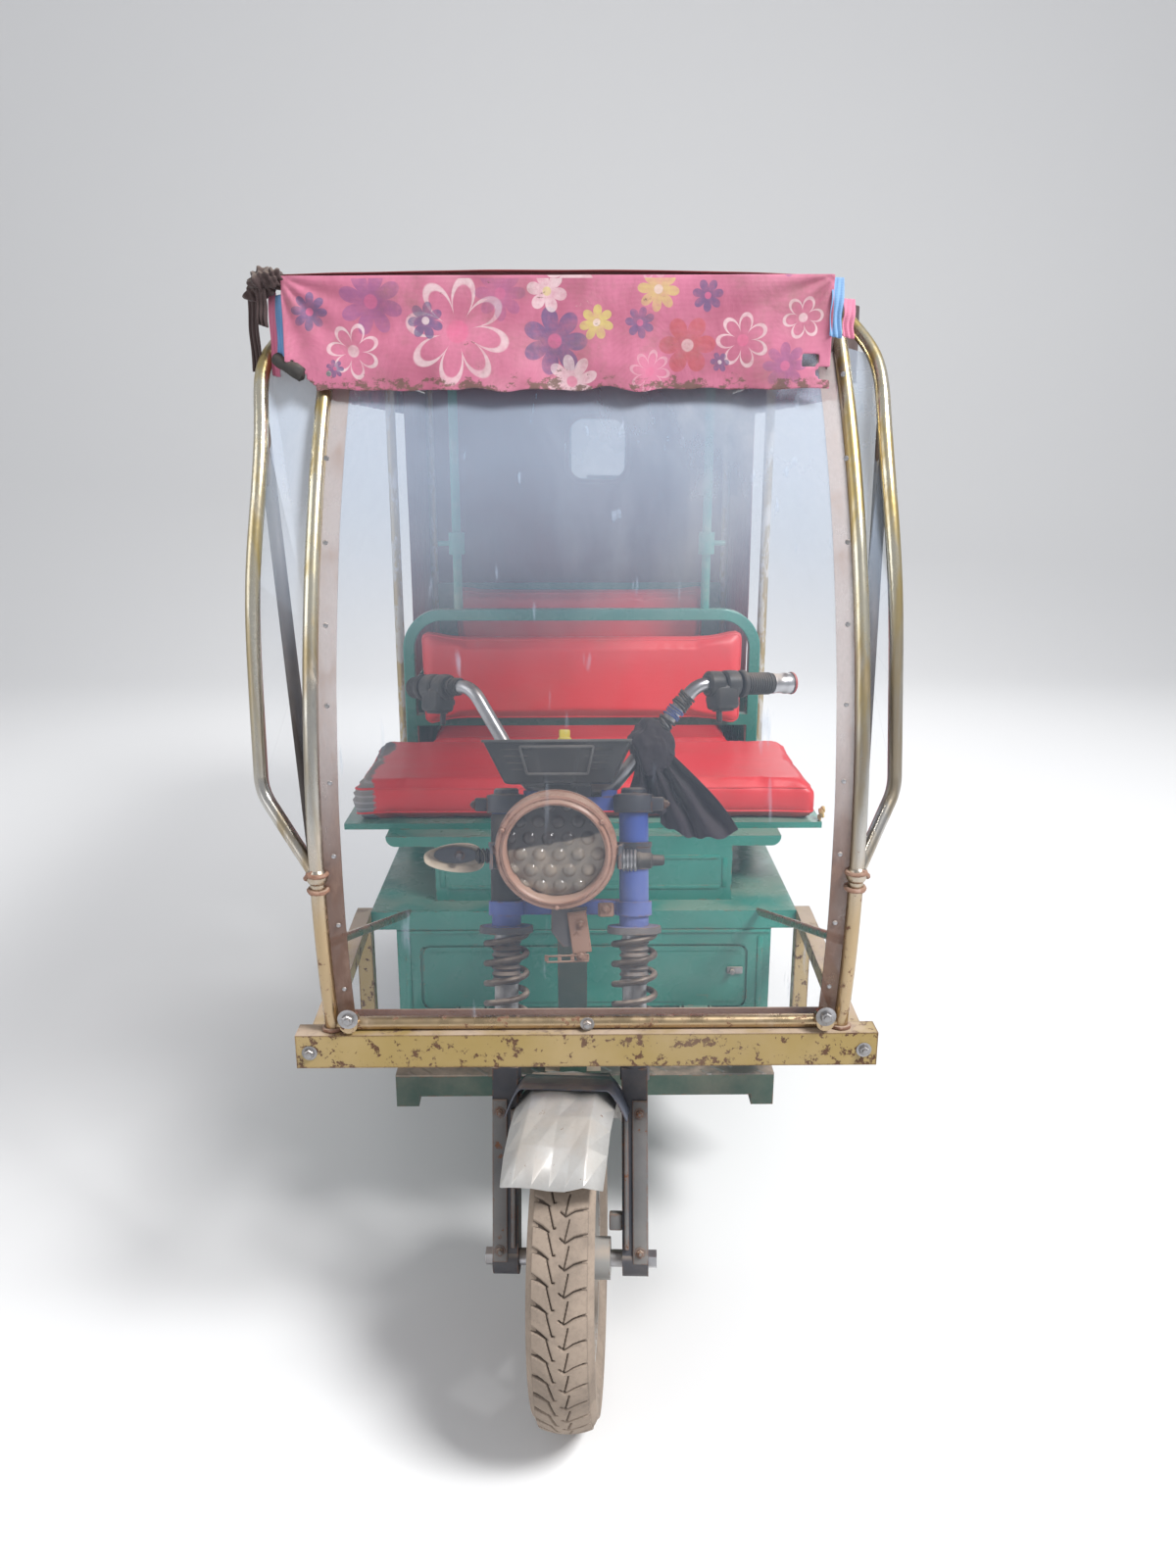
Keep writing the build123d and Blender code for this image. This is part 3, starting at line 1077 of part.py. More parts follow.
print("front axle at y =", round(FRONT_AXLE_Y, 2))
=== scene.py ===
# %% [markdown]
# # Dressing an open battery auto rickshaw
# The solids of the vehicle come packed as a fixed frame. This lesson gives every solid a worn, dusty
# finish, and builds again each piece whose real shape is finer than its solid: the tyres, the stuffed
# vinyl, the printed cloth, the lamp and the small hardware. All lengths are in metres.

# %% Load the frame
import bpy
import bmesh
import json
import math
import random
from mathutils import Matrix, Vector, noise


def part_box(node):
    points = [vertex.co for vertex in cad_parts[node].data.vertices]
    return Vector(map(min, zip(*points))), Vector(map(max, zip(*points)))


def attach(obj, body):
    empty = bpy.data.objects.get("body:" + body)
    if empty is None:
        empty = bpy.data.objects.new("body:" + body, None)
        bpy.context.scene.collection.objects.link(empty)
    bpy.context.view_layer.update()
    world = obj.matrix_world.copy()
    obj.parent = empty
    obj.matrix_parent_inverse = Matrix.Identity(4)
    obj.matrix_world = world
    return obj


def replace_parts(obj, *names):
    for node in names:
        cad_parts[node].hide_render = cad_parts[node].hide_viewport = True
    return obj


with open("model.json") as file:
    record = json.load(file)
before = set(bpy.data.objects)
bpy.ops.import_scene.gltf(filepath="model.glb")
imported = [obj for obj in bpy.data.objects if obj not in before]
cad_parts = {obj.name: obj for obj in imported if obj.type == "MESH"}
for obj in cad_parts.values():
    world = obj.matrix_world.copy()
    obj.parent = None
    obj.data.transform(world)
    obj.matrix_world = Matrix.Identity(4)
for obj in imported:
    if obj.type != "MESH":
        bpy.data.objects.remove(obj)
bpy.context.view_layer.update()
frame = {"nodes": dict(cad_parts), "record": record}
chance = random.Random(7)

# %% [markdown]
# The photograph was taken by someone standing just ahead of the windscreen and looking down a little.
# A camera is set by where it stands, how it is turned and its focal length. These three came from
# matching the wheels, the beam and the seat to their places in the picture.

# %% Camera
AXLE_Y = -0.9593
lens = bpy.data.cameras.new("photo_view")
lens.lens = 27.05
camera = bpy.data.objects.new("photo_view", lens)
camera.location = (-0.018, AXLE_Y - 1.575, 1.470)
camera.rotation_euler = (math.radians(74.0), 0.0, math.radians(-0.7))
bpy.context.collection.objects.link(camera)
bpy.context.scene.camera = camera
print("camera at", tuple(round(c, 3) for c in camera.location))

# %% [markdown]
# A studio floor that curves up behind the vehicle hides the horizon. It is a strip of quads: one flat
# run, a quarter turn made by a spin, and a straight rise. Smooth shading hides the joints.

# %% Floor and backdrop
def only(kind, geometry):
    """The points, or the edges, among what an operator gave back."""
    return [part for part in geometry if isinstance(part, kind)]


def studio_floor():
    point, line = bmesh.types.BMVert, bmesh.types.BMEdge
    mesh = bmesh.new()
    edge = mesh.edges.new([mesh.verts.new((x, -7.0, 0.0)) for x in (-9.0, 9.0)])
    run = bmesh.ops.extrude_edge_only(mesh, edges=[edge])["geom"]
    bmesh.ops.translate(mesh, verts=only(point, run), vec=(0, 12.0, 0))
    bend = bmesh.ops.spin(mesh, geom=only(line, run), cent=(0, 5.0, 2.5), axis=(1, 0, 0), angle=math.radians(90),
                          steps=24)
    top = bmesh.ops.extrude_edge_only(mesh, edges=only(line, bend["geom_last"]))["geom"]
    bmesh.ops.translate(mesh, verts=only(point, top), vec=(0, 0, 6.0))
    data = bpy.data.meshes.new("studio_floor")
    mesh.to_mesh(data)
    mesh.free()
    data.shade_smooth()
    floor = bpy.data.objects.new("studio_floor", data)
    bpy.context.collection.objects.link(floor)
    return floor


floor = studio_floor()
print("floor faces", len(floor.data.polygons))

# %% [markdown]
# The light is plain and soft: a broad lamp from the upper right, as the sun stood, a weaker one from
# the left, and a pale world that fills the shade. Their strength is set so that a colour renders
# about as it is written.

# %% Light
def lamp(name, energy, size, place, target):
    data = bpy.data.lights.new(name, "AREA")
    data.energy = energy
    data.size = size
    thing = bpy.data.objects.new(name, data)
    thing.location = place
    thing.rotation_euler = (Vector(target) - Vector(place)).to_track_quat("-Z", "Y").to_euler()
    bpy.context.collection.objects.link(thing)
    return thing


lamp("sun_side", 430.0, 1.6, (3.0, -3.0, 5.2), (0, -0.3, 0.8))
lamp("shade_side", 60.0, 3.5, (-4.2, -2.6, 2.6), (0, 0, 0.8))
lamp("back_side", 110.0, 3.5, (0.5, 4.2, 4.0), (0, 0.4, 0.8))
world = bpy.data.worlds.new("pale_room")
world.use_nodes = True
world.node_tree.nodes["Background"].inputs["Color"].default_value = (0.93, 0.95, 1.0, 1)
world.node_tree.nodes["Background"].inputs["Strength"].default_value = 0.48
bpy.context.scene.world = world
bpy.context.scene.view_settings.view_transform = "Standard"

# %% [markdown]
# Every finish here is a few noises mixed together: a slow one for faded patches, a fine one for grit,
# and masks for edges and for faces that look up and gather dust. A small class keeps that short. It
# adds nodes to one node tree by plain calls, and a finish is such a recipe with a shader at its end.

# %% The finish maker
class Recipe:
    """Nodes added to one tree, each call giving back the output that matters."""

    def __init__(self, tree, here):
        self.tree = tree
        self.here = here

    def put(self, socket, value):
        """Links a node's output to a socket, or sets a plain value on it."""
        if isinstance(value, bpy.types.NodeSocket):
            self.tree.links.new(value, socket)
        elif socket.type == "RGBA":
            socket.default_value = (*value, 1)
        else:
            socket.default_value = value

    def noise(self, scale, detail=4.0, roughness=0.55, stretch=(1, 1, 1), distortion=0.0):
        node = self.tree.nodes.new("ShaderNodeTexNoise")
        self.put(node.inputs["Vector"], self.place(stretch))
        for socket, number in (("Scale", scale), ("Detail", detail), ("Roughness", roughness),
                               ("Distortion", distortion)):
            node.inputs[socket].default_value = number
        return node.outputs["Fac"]

    def cells(self, scale, feature):
        node = self.tree.nodes.new("ShaderNodeTexVoronoi")
        node.feature = feature
        self.put(node.inputs["Vector"], self.place((1, 1, 1)))
        node.inputs["Scale"].default_value = scale
        return node.outputs["Distance"]

    def step(self, value, low, high, bottom=0.0, top=1.0):
        """Smoothly from one value to another while the input goes from low to high."""
        node = self.tree.nodes.new("ShaderNodeMapRange")
        node.interpolation_type = "SMOOTHSTEP"
        self.put(node.inputs["Value"], value)
        for socket, number in (("From Min", low), ("From Max", high), ("To Min", bottom), ("To Max", top)):
            node.inputs[socket].default_value = number
        return node.outputs["Result"]

    def maths(self, operation, first, second=0.0):
        node = self.tree.nodes.new("ShaderNodeMath")
        node.operation = operation
        self.put(node.inputs[0], first)
        self.put(node.inputs[1], second)
        return node.outputs[0]

    def times(self, first, second):
        return self.maths("MULTIPLY", first, second)

    def plus(self, first, second):
        return self.maths("ADD", first, second)

    def most(self, first, second):
        return self.maths("MAXIMUM", first, second)

    def wave(self, value, steepness):
        """A sine of the value, for weaves and ribs."""
        return self.maths("SINE", self.times(value, steepness))

    def place(self, stretch):
        """Where the pattern is read, stretched along the axes."""
        spread = self.tree.nodes.new("ShaderNodeMapping")
        spread.inputs["Scale"].default_value = stretch
        self.put(spread.inputs["Vector"], self.here)
        return spread.outputs[0]

    def wrapped(self, wide, high):
        """The flat place, started again at each repeat of the pattern."""
        node = self.tree.nodes.new("ShaderNodeVectorMath")
        node.operation = "WRAP"
        self.put(node.inputs[0], self.here)
        node.inputs[1].default_value = (wide, high, 1)
        node.inputs[2].default_value = (0.0, 0.0, -1.0)
        return node.outputs[0]

    def mix(self, factor, first, second):
        node = self.tree.nodes.new("ShaderNodeMix")
        node.data_type = "RGBA"
        self.put(node.inputs[0], factor)
        self.put(node.inputs[6], first)
        self.put(node.inputs[7], second)
        return node.outputs[2]

    def axis(self, index, source=None):
        """One coordinate of the point, or of another vector."""
        node = self.tree.nodes.new("ShaderNodeSeparateXYZ")
        self.put(node.inputs[0], source or self.here)
        return node.outputs[index]

    def upward(self):
        geometry = self.tree.nodes.new("ShaderNodeNewGeometry")
        return self.axis(2, geometry.outputs["Normal"])

    def edges(self, radius):
        """About 1 near a sharp edge and 0 on the flat, from how far a rounded normal leans."""
        round_off = self.tree.nodes.new("ShaderNodeBevel")
        round_off.samples = 4
        round_off.inputs["Radius"].default_value = radius
        flat = self.tree.nodes.new("ShaderNodeNewGeometry")
        lean = self.tree.nodes.new("ShaderNodeVectorMath")
        lean.operation = "DOT_PRODUCT"
        self.put(lean.inputs[0], round_off.outputs[0])
        self.put(lean.inputs[1], flat.outputs["Normal"])
        return self.step(lean.outputs["Value"], 0.99, 0.84)

    def bump(self, height, distance, strength=1.0):
        node = self.tree.nodes.new("ShaderNodeBump")
        node.inputs["Distance"].default_value = distance
        node.inputs["Strength"].default_value = strength
        self.put(node.inputs["Height"], height)
        self.feed("Normal", node.outputs[0])


class Finish(Recipe):
    """One procedural material."""

    def __init__(self, name, space="Object", **sockets):
        self.material = bpy.data.materials.new(name)
        self.material.use_nodes = True
        tree = self.material.node_tree
        super().__init__(tree, tree.nodes.new("ShaderNodeTexCoord").outputs[space])
        self.shader = tree.nodes["Principled BSDF"]
        for socket, value in sockets.items():
            self.feed(socket.replace("_", " "), value)

    def feed(self, name, value):
        self.put(self.shader.inputs[name], value)


DUST = (0.46, 0.36, 0.28)
print("dust colour", DUST)

# %% [markdown]
# Brushed-on paint is the finish of the box, seat base, hoop and rails. It fades in patches, chips to
# brown rust at the edges, and the tops of things are dusty.

# %% Worn paint
def worn_paint(name, fresh, faded, chips=0.5, dust=0.5, gloss=0.35, rust=(0.17, 0.07, 0.035)):
    coat = Finish(name)
    tone = coat.mix(coat.step(coat.noise(4.0, 6), 0.35, 0.68), fresh, faded)
    grit = coat.noise(55.0, 8, 0.7)
    edge = coat.edges(0.005)
    near_edge = coat.times(edge, 0.2)
    chip = coat.step(coat.plus(grit, near_edge), 0.78 - 0.1 * chips, 0.82 - 0.1 * chips)
    tone = coat.mix(chip, tone, rust)
    laid = coat.times(coat.step(coat.upward(), 0.35, 0.95), coat.step(coat.noise(9.0, 7), 0.3, 0.6))
    haze = coat.step(coat.noise(2.2, 9, 0.65), 0.42, 0.75, 0.0, 0.35 * dust)
    film = coat.most(coat.times(laid, dust), haze)
    coat.feed("Base Color", coat.mix(film, tone, DUST))
    rough = coat.step(coat.noise(12.0, 5), 0.3, 0.7, gloss - 0.08, gloss + 0.12)
    coat.feed("Roughness", coat.most(rough, coat.times(coat.most(film, chip), 0.85)))
    coat.bump(coat.maths("SUBTRACT", coat.noise(16.0, 3), coat.times(chip, 0.5)), 0.0012, 0.6)
    return coat.material


finishes = {
    "teal_paint": worn_paint("teal_paint", (0.008, 0.165, 0.125), (0.016, 0.225, 0.175), 0.4, 0.32, 0.26),
    "body_paint": worn_paint("body_paint", (0.010, 0.145, 0.110), (0.022, 0.21, 0.165), 0.5, 0.5, 0.32),
    "frame_paint": worn_paint("frame_paint", (0.014, 0.055, 0.045), (0.03, 0.09, 0.07), 0.8, 0.9, 0.5),
    "yellow_paint": worn_paint("yellow_paint", (0.32, 0.225, 0.07), (0.40, 0.29, 0.13), 2.3, 0.9, 0.5,
                               (0.10, 0.045, 0.022)),
    "fork_blue": worn_paint("fork_blue", (0.035, 0.075, 0.33), (0.07, 0.13, 0.42), 1.0, 0.6, 0.42),
    "dark_steel": worn_paint("dark_steel", (0.03, 0.033, 0.045), (0.06, 0.065, 0.08), 1.0, 0.8, 0.5),
    "lamp_shell": worn_paint("lamp_shell", (0.27, 0.13, 0.085), (0.36, 0.20, 0.145), 0.9, 0.4, 0.4),
    "axle": worn_paint("axle", (0.018, 0.018, 0.018), (0.04, 0.037, 0.034), 0.8, 1.0, 0.55),
    "rim": worn_paint("rim", (0.24, 0.24, 0.24), (0.34, 0.335, 0.32), 0.7, 0.9, 0.42),
}
print("paints", len(finishes))

# %% [markdown]
# The pipes were plated once. What is left is a brassy, streaked sheen that goes dull and rusty low
# down, where mud and rain reach it. Metallic is on all over except where rust sits.

# %% Metals
def plated_pipe():
    skin = Finish("pipe")
    streak = skin.noise(34.0, 6, 0.6, (1, 1, 0.05))
    brass = skin.mix(skin.step(streak, 0.38, 0.62), (0.66, 0.62, 0.50), (0.48, 0.37, 0.16))
    steel = skin.mix(skin.step(streak, 0.38, 0.62), (0.50, 0.49, 0.47), (0.33, 0.28, 0.21))
    tone = skin.mix(skin.step(skin.plus(skin.axis(2), skin.noise(3.0, 3)), 1.45, 1.85), steel, brass)
    tone = skin.mix(skin.step(skin.axis(2), 0.98, 0.80), tone, (0.44, 0.33, 0.20))
    low = skin.step(skin.axis(2), 1.25, 0.62, -0.06, 0.06)
    spots = skin.step(skin.plus(skin.noise(70.0, 8, 0.72), low), 0.62, 0.68)
    tone = skin.mix(spots, tone, (0.16, 0.075, 0.04))
    film = skin.step(skin.noise(16.0, 8, 0.75, (1, 1, 0.3)), 0.5, 0.8, 0.0, 0.6)
    skin.feed("Base Color", skin.mix(film, tone, DUST))
    rust = skin.most(spots, film)
    skin.feed("Metallic", skin.step(rust, 0.1, 0.6, 0.95, 0.0))
    skin.feed("Roughness", skin.most(skin.step(streak, 0.3, 0.7, 0.2, 0.42), skin.times(rust, 0.8)))
    skin.bump(skin.plus(skin.noise(90.0, 3), spots), 0.0002, 0.3)
    return skin.material


def dull_metal(name, tone, dark, rough, metallic=0.9, rust=0.5, fine=120.0, dust=0.7):
    skin = Finish(name)
    patch = skin.noise(14.0, 7, 0.65)
    colour = skin.mix(skin.step(patch, 0.35, 0.7), tone, dark)
    spots = skin.step(skin.noise(60.0, 8, 0.72), 0.70 - 0.08 * rust, 0.76 - 0.08 * rust)
    colour = skin.mix(spots, colour, (0.17, 0.085, 0.045))
    film = skin.times(skin.step(skin.upward(), 0.0, 0.9), skin.step(skin.noise(22.0, 6), 0.35, 0.65, 0.0, dust))
    skin.feed("Base Color", skin.mix(film, colour, DUST))
    dead = skin.most(spots, film)
    skin.feed("Metallic", skin.step(dead, 0.1, 0.7, metallic, 0.0))
    skin.feed("Roughness", skin.most(skin.step(patch, 0.3, 0.7, rough - 0.06, rough + 0.12),
                                    skin.times(dead, 0.8)))
    skin.bump(skin.noise(fine, 5), 0.0004, 0.5)
    return skin.material


finishes["pipe"] = plated_pipe()
finishes["zinc"] = dull_metal("zinc", (0.45, 0.45, 0.47), (0.22, 0.21, 0.20), 0.34)
finishes["spring_steel"] = dull_metal("spring_steel", (0.13, 0.105, 0.09), (0.08, 0.055, 0.042), 0.5, 0.6, 1.1)
finishes["mudguard"] = dull_metal("mudguard", (0.58, 0.57, 0.55), (0.47, 0.46, 0.44), 0.42, 0.45, 0.9, 200.0, 0.25)
finishes["motor"] = dull_metal("motor", (0.34, 0.34, 0.35), (0.17, 0.165, 0.16), 0.5, 0.7, 0.2, 300.0)
print("metals", [n for n in finishes if n in ("pipe", "zinc", "spring_steel", "motor")])

# %% [markdown]
# Grips, pods and lamp housings are moulded. They have little gloss. Their detail is a fine pebble from
# the mould, a grey bloom where hands rub, and dust on what faces up.

# %% Moulded pieces
def moulded(name, tone, bloom, rough=0.5, dust=0.4, pebble=420.0):
    skin = Finish(name, Specular_IOR_Level=0.3)
    colour = skin.mix(skin.step(skin.noise(7.0, 6), 0.35, 0.7), tone, bloom)
    rub = skin.step(skin.edges(0.003), 0.3, 1.0, 0.0, 0.5)
    colour = skin.mix(rub, colour, bloom)
    film = skin.times(skin.step(skin.upward(), 0.2, 0.95, 0.08, 1.0),
                    skin.step(skin.noise(18.0, 8, 0.6), 0.35, 0.7, 0.0, dust))
    skin.feed("Base Color", skin.mix(film, colour, DUST))
    skin.feed("Roughness", skin.step(film, 0.0, 0.6, rough, 0.85))
    skin.bump(skin.noise(pebble, 2), 0.0001, 0.3)
    return skin.material


finishes["grip"] = moulded("grip", (0.014, 0.014, 0.015), (0.05, 0.048, 0.046), 0.6, 0.4, 200.0)
finishes["black_plastic"] = moulded("black_plastic", (0.016, 0.016, 0.017), (0.05, 0.05, 0.05), 0.42, 0.35)
finishes["signal"] = moulded("signal", (0.36, 0.29, 0.22), (0.48, 0.42, 0.34), 0.4, 0.5)
finishes["lamp_red"] = moulded("lamp_red", (0.33, 0.012, 0.012), (0.42, 0.03, 0.03), 0.2, 0.35, 60.0)
print("moulded finishes ready")

# %% [markdown]
# The clear sheets are soft vinyl. They let most light through, but dust and scratches cloud them in
# patches, so the alpha goes up and down with a noise, and the gloss stays. The blue tint, and the haze that
# thickens towards the top, are a painted reflection of the sky.

# %% Clear sheets
def clear_vinyl():
    skin = Finish("clear_sheet", Roughness=0.16, IOR=1.4)
    smear = skin.noise(3.2, 8, 0.62, (1, 1, 0.5), 0.6)
    scratch = skin.step(skin.noise(46.0, 3, 0.5, (1, 1, 0.07)), 0.67, 0.74, 0.0, 0.20)
    edge = skin.step(skin.noise(24.0, 9, 0.75), 0.62, 0.84, 0.0, 0.14)
    # The haze thickens with height and the colour is blue: a painted reflection of the sky, over the real smears.
    painted_sky_reflection = skin.step(skin.axis(2), 1.15, 1.5, 0.12, 1.0)
    haze = skin.times(skin.step(smear, 0.25, 0.75, 0.30, 0.56), painted_sky_reflection)
    skin.feed("Alpha", skin.plus(skin.plus(haze, scratch), edge))
    skin.feed("Base Color", skin.mix(skin.step(smear, 0.35, 0.7), (0.42, 0.50, 0.62), (0.48, 0.52, 0.58)))
    skin.bump(skin.noise(2.4, 2), 0.006, 0.5)
    return skin.material


def edge_tape():
    """Clear tape along the sheet's edge, browned and lifting in places."""
    skin = Finish("strip", Roughness=0.35)
    patch = skin.noise(26.0, 7, 0.65, (1, 1, 0.4))
    low = skin.step(skin.axis(2), 1.15, 0.85, 0.0, 0.28)
    skin.feed("Alpha", skin.plus(skin.step(patch, 0.35, 0.7, 0.42, 0.66), low))
    tone = skin.mix(skin.step(skin.axis(2), 1.2, 0.85), (0.44, 0.38, 0.37), (0.16, 0.085, 0.06))
    skin.feed("Base Color", skin.mix(skin.step(patch, 0.5, 0.75, 0.0, 0.6), tone, (0.30, 0.20, 0.15)))
    skin.bump(skin.noise(60.0, 4), 0.0006, 0.5)
    return skin.material


finishes["clear_sheet"] = clear_vinyl()
finishes["strip"] = edge_tape()
print("clear finishes ready")

# %% [markdown]
# Seat vinyl is smooth and bright red with a very fine grain. Hands, sun and dust dull it in patches, its
# faces that look down are painted darker as painted shade, and where it is torn its grey layered backing
# shows. Coated cloth is duller and shows its weave.

# %% Vinyl and cloth
def seat_vinyl(name, torn=None):
    skin = Finish(name, Specular_IOR_Level=0.5)
    patch = skin.noise(3.0, 6, 0.6)
    tone = skin.mix(skin.step(patch, 0.35, 0.7), (0.58, 0.012, 0.018), (0.66, 0.035, 0.045))
    film = skin.step(skin.noise(8.0, 9, 0.66), 0.48, 0.78, 0.0, 0.22)
    # Faces that look down are painted darker toward brown: painted shade under the cushion, mixed with the dust
    # film.
    low = skin.times(skin.step(skin.upward(), -0.1, -0.8), 0.5)
    toward_brown = skin.most(film, low)
    tone = skin.mix(toward_brown, tone, (0.25, 0.13, 0.09))
    rough = skin.step(patch, 0.3, 0.7, 0.34, 0.5)
    if torn is not None:
        ragged = skin.plus(skin.axis(0), skin.step(skin.noise(14.0, 7, 0.7), 0.3, 0.7, -0.013, 0.013))
        bare = skin.step(ragged, torn + 0.003, torn)
        layers = skin.step(skin.wave(skin.axis(2), 500.0), 0.2, 0.9)
        backing = skin.mix(layers, (0.135, 0.14, 0.155), (0.24, 0.245, 0.26))
        tone = skin.mix(bare, tone, skin.mix(skin.step(patch, 0.4, 0.6, 0.0, 0.4), backing, DUST))
        rough = skin.most(rough, skin.times(bare, 0.85))
    skin.feed("Base Color", tone)
    skin.feed("Roughness", rough)
    grain = skin.cells(900.0, "DISTANCE_TO_EDGE")
    folds = skin.noise(14.0, 5, 0.5, (0.5, 1.6, 1.6))
    skin.bump(skin.plus(skin.times(grain, 0.10), folds), 0.0035, 0.55)
    return skin.material


def coated_cloth(name, tone, faded, dirt=0.5):
    skin = Finish(name, Roughness=0.82, Sheen_Weight=0.15)
    colour = skin.mix(skin.step(skin.noise(2.6, 7, 0.6), 0.35, 0.7), tone, faded)
    film = skin.step(skin.noise(6.0, 9, 0.7), 0.45, 0.85, 0.0, 0.45 * dirt)
    top = skin.times(skin.step(skin.upward(), 0.3, 0.9), 0.45 * dirt)
    skin.feed("Base Color", skin.mix(skin.most(film, top), colour, DUST))
    warp = skin.wave(skin.axis(0), 3200.0)
    weft = skin.wave(skin.axis(2), 3200.0)
    drape = skin.noise(11.0, 4, 0.5)
    weave = skin.times(skin.plus(warp, weft), 0.05)
    skin.bump(skin.plus(weave, drape), 0.003, 0.5)
    return skin.material


finishes["red_vinyl"] = seat_vinyl("red_vinyl")
finishes["torn_vinyl"] = seat_vinyl("torn_vinyl", -0.408)
finishes["maroon_cloth"] = coated_cloth("maroon_cloth", (0.15, 0.012, 0.018), (0.22, 0.03, 0.035))
finishes["rag"] = coated_cloth("rag", (0.018, 0.011, 0.018), (0.040, 0.028, 0.042), 0.12)
print("soft finishes ready")

# %% [markdown]
# The floor is bare sheet with a raised pattern of short bars, worn bright on the bars and muddy
# between them. Two slanted sine waves, crossed, make the bars.

# %% Floor sheet
def tread_plate():
    skin = Finish("floor")
    across = skin.wave(skin.plus(skin.axis(0), skin.axis(1)), 190.0)
    along = skin.wave(skin.maths("SUBTRACT", skin.axis(0), skin.axis(1)), 60.0)
    bars = skin.times(skin.step(across, 0.55, 0.85), skin.step(along, -0.1, 0.3))
    mud = skin.step(skin.noise(7.0, 9, 0.7), 0.35, 0.65)
    tone = skin.mix(bars, (0.10, 0.095, 0.09), (0.26, 0.26, 0.26))
    skin.feed("Base Color", skin.mix(skin.times(mud, 0.75), tone, DUST))
    skin.feed("Metallic", skin.times(bars, 0.6))
    skin.feed("Roughness", skin.step(mud, 0.0, 1.0, 0.42, 0.85))
    skin.bump(bars, 0.0015, 0.8)
    return skin.material


finishes["floor"] = tread_plate()
print("finishes", len(finishes))

# %% [markdown]
# A new piece is a bmesh that becomes one object at the origin, with a finish and a body to ride on.
# Places are given as in the solids: across, distance behind the front axle, and height.

# %% From a bmesh to a piece
def at(x, behind, z):
    return Vector((x, AXLE_Y + behind, z))


def placed(x, behind, z):
    """The matrix that moves a shape to that place."""
    return Matrix.Translation(at(x, behind, z))


def turned(degrees, axis):
    return Matrix.Rotation(math.radians(degrees), 4, axis)


def spot(x, y, z, turn=0.0, axis="Z"):
    """A place in a piece's own frame, with a turn in degrees about one axis."""
    return Matrix.Translation((x, y, z)) @ turned(turn, axis)


def rounded(mesh, edges, offset, segments=2):
    """Rounds the edges off and gives back the points that this leaves."""
    return bmesh.ops.bevel(mesh, geom=edges, offset=offset, segments=segments, affect="EDGES", profile=0.5,
                           material=-1)["verts"]


def piece(name, mesh, finish, body, place=None, sharp=40.0):
    """Turns a bmesh into a named object with the finish, riding on its body."""
    bmesh.ops.recalc_face_normals(mesh, faces=mesh.faces)
    if place is not None:
        bmesh.ops.transform(mesh, matrix=place, verts=mesh.verts)
    data = bpy.data.meshes.new(name)
    mesh.to_mesh(data)
    mesh.free()
    data.materials.append(finishes[finish])
    data.shade_smooth()
    data.set_sharp_from_angle(angle=math.radians(sharp))
    thing = bpy.data.objects.new(name, data)
    bpy.context.collection.objects.link(thing)
    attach(thing, body)
    return thing


def modify(thing, kind, **settings):
    """Adds a modifier with the same levels in the view and in the render."""
    added = thing.modifiers.new(kind.lower(), kind)
    for key, value in settings.items():
        setattr(added, key, value)
    if kind == "SUBSURF":
        added.render_levels = added.levels
    return thing


def apply_all(thing):
    """Bakes a piece's modifiers into its mesh."""
    graph = bpy.context.evaluated_depsgraph_get()
    baked = bpy.data.meshes.new_from_object(thing.evaluated_get(graph))
    thing.modifiers.clear()
    old = thing.data
    thing.data = baked
    bpy.data.meshes.remove(old)
    return thing


def thicken(thing, thickness):
    """Gives a sheet its thickness, half to each side."""
    return modify(thing, "SOLIDIFY", thickness=thickness, offset=0.0)


def area_of(thing):
    return sum(face.area for face in thing.data.polygons)


SIDES = ((-1, "right"), (1, "left"))

# %% [markdown]
# The seats are foam blocks under tight vinyl. The foam pushes the cover out, and the cover holds it in
# at the seams, so the faces crown and the sides pull in. A closed box is remeshed evenly and blown up
# a little by the cloth solver with no gravity. All the pads are solved in the same frames.

# %% Pads before they are stuffed
def pad_block(name, node, shrink, round_off):
    low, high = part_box(node)
    mesh = bmesh.new()
    bmesh.ops.create_cube(mesh, size=1.0)
    bmesh.ops.scale(mesh, vec=[s - 2 * g for s, g in zip(high - low, shrink)], verts=mesh.verts)
    rounded(mesh, mesh.edges[:], round_off, 3)
    bmesh.ops.translate(mesh, verts=mesh.verts, vec=(low + high) / 2)
    cover = "torn_vinyl" if name == "seat_pad" else "red_vinyl"
    pad = piece(name, mesh, cover, "chassis", sharp=180.0)
    return apply_all(modify(pad, "REMESH", mode="VOXEL", voxel_size=0.008))


pad_table = [
    # piece, the solid it replaces, how much smaller it starts, rounding, cap on its swelling, fill
    ("seat_pad", "driver_cushion", (0.010, 0.008, 0.009), 0.016, 0.016, 0.8),
    ("back_pad", "driver_back_pad", (0.010, 0.010, 0.010), 0.018, 0.014, 0.8),
    ("bench_pad", "bench_cushion", (0.010, 0.008, 0.010), 0.016, 0.016, 0.8),
    ("bench_back", "bench_back_pad", (0.010, 0.012, 0.010), 0.020, 0.018, 0.7),
]
pads = {row[0]: pad_block(*row[:4]) for row in pad_table}
print("pads", {name: len(pad.data.vertices) for name, pad in pads.items()})

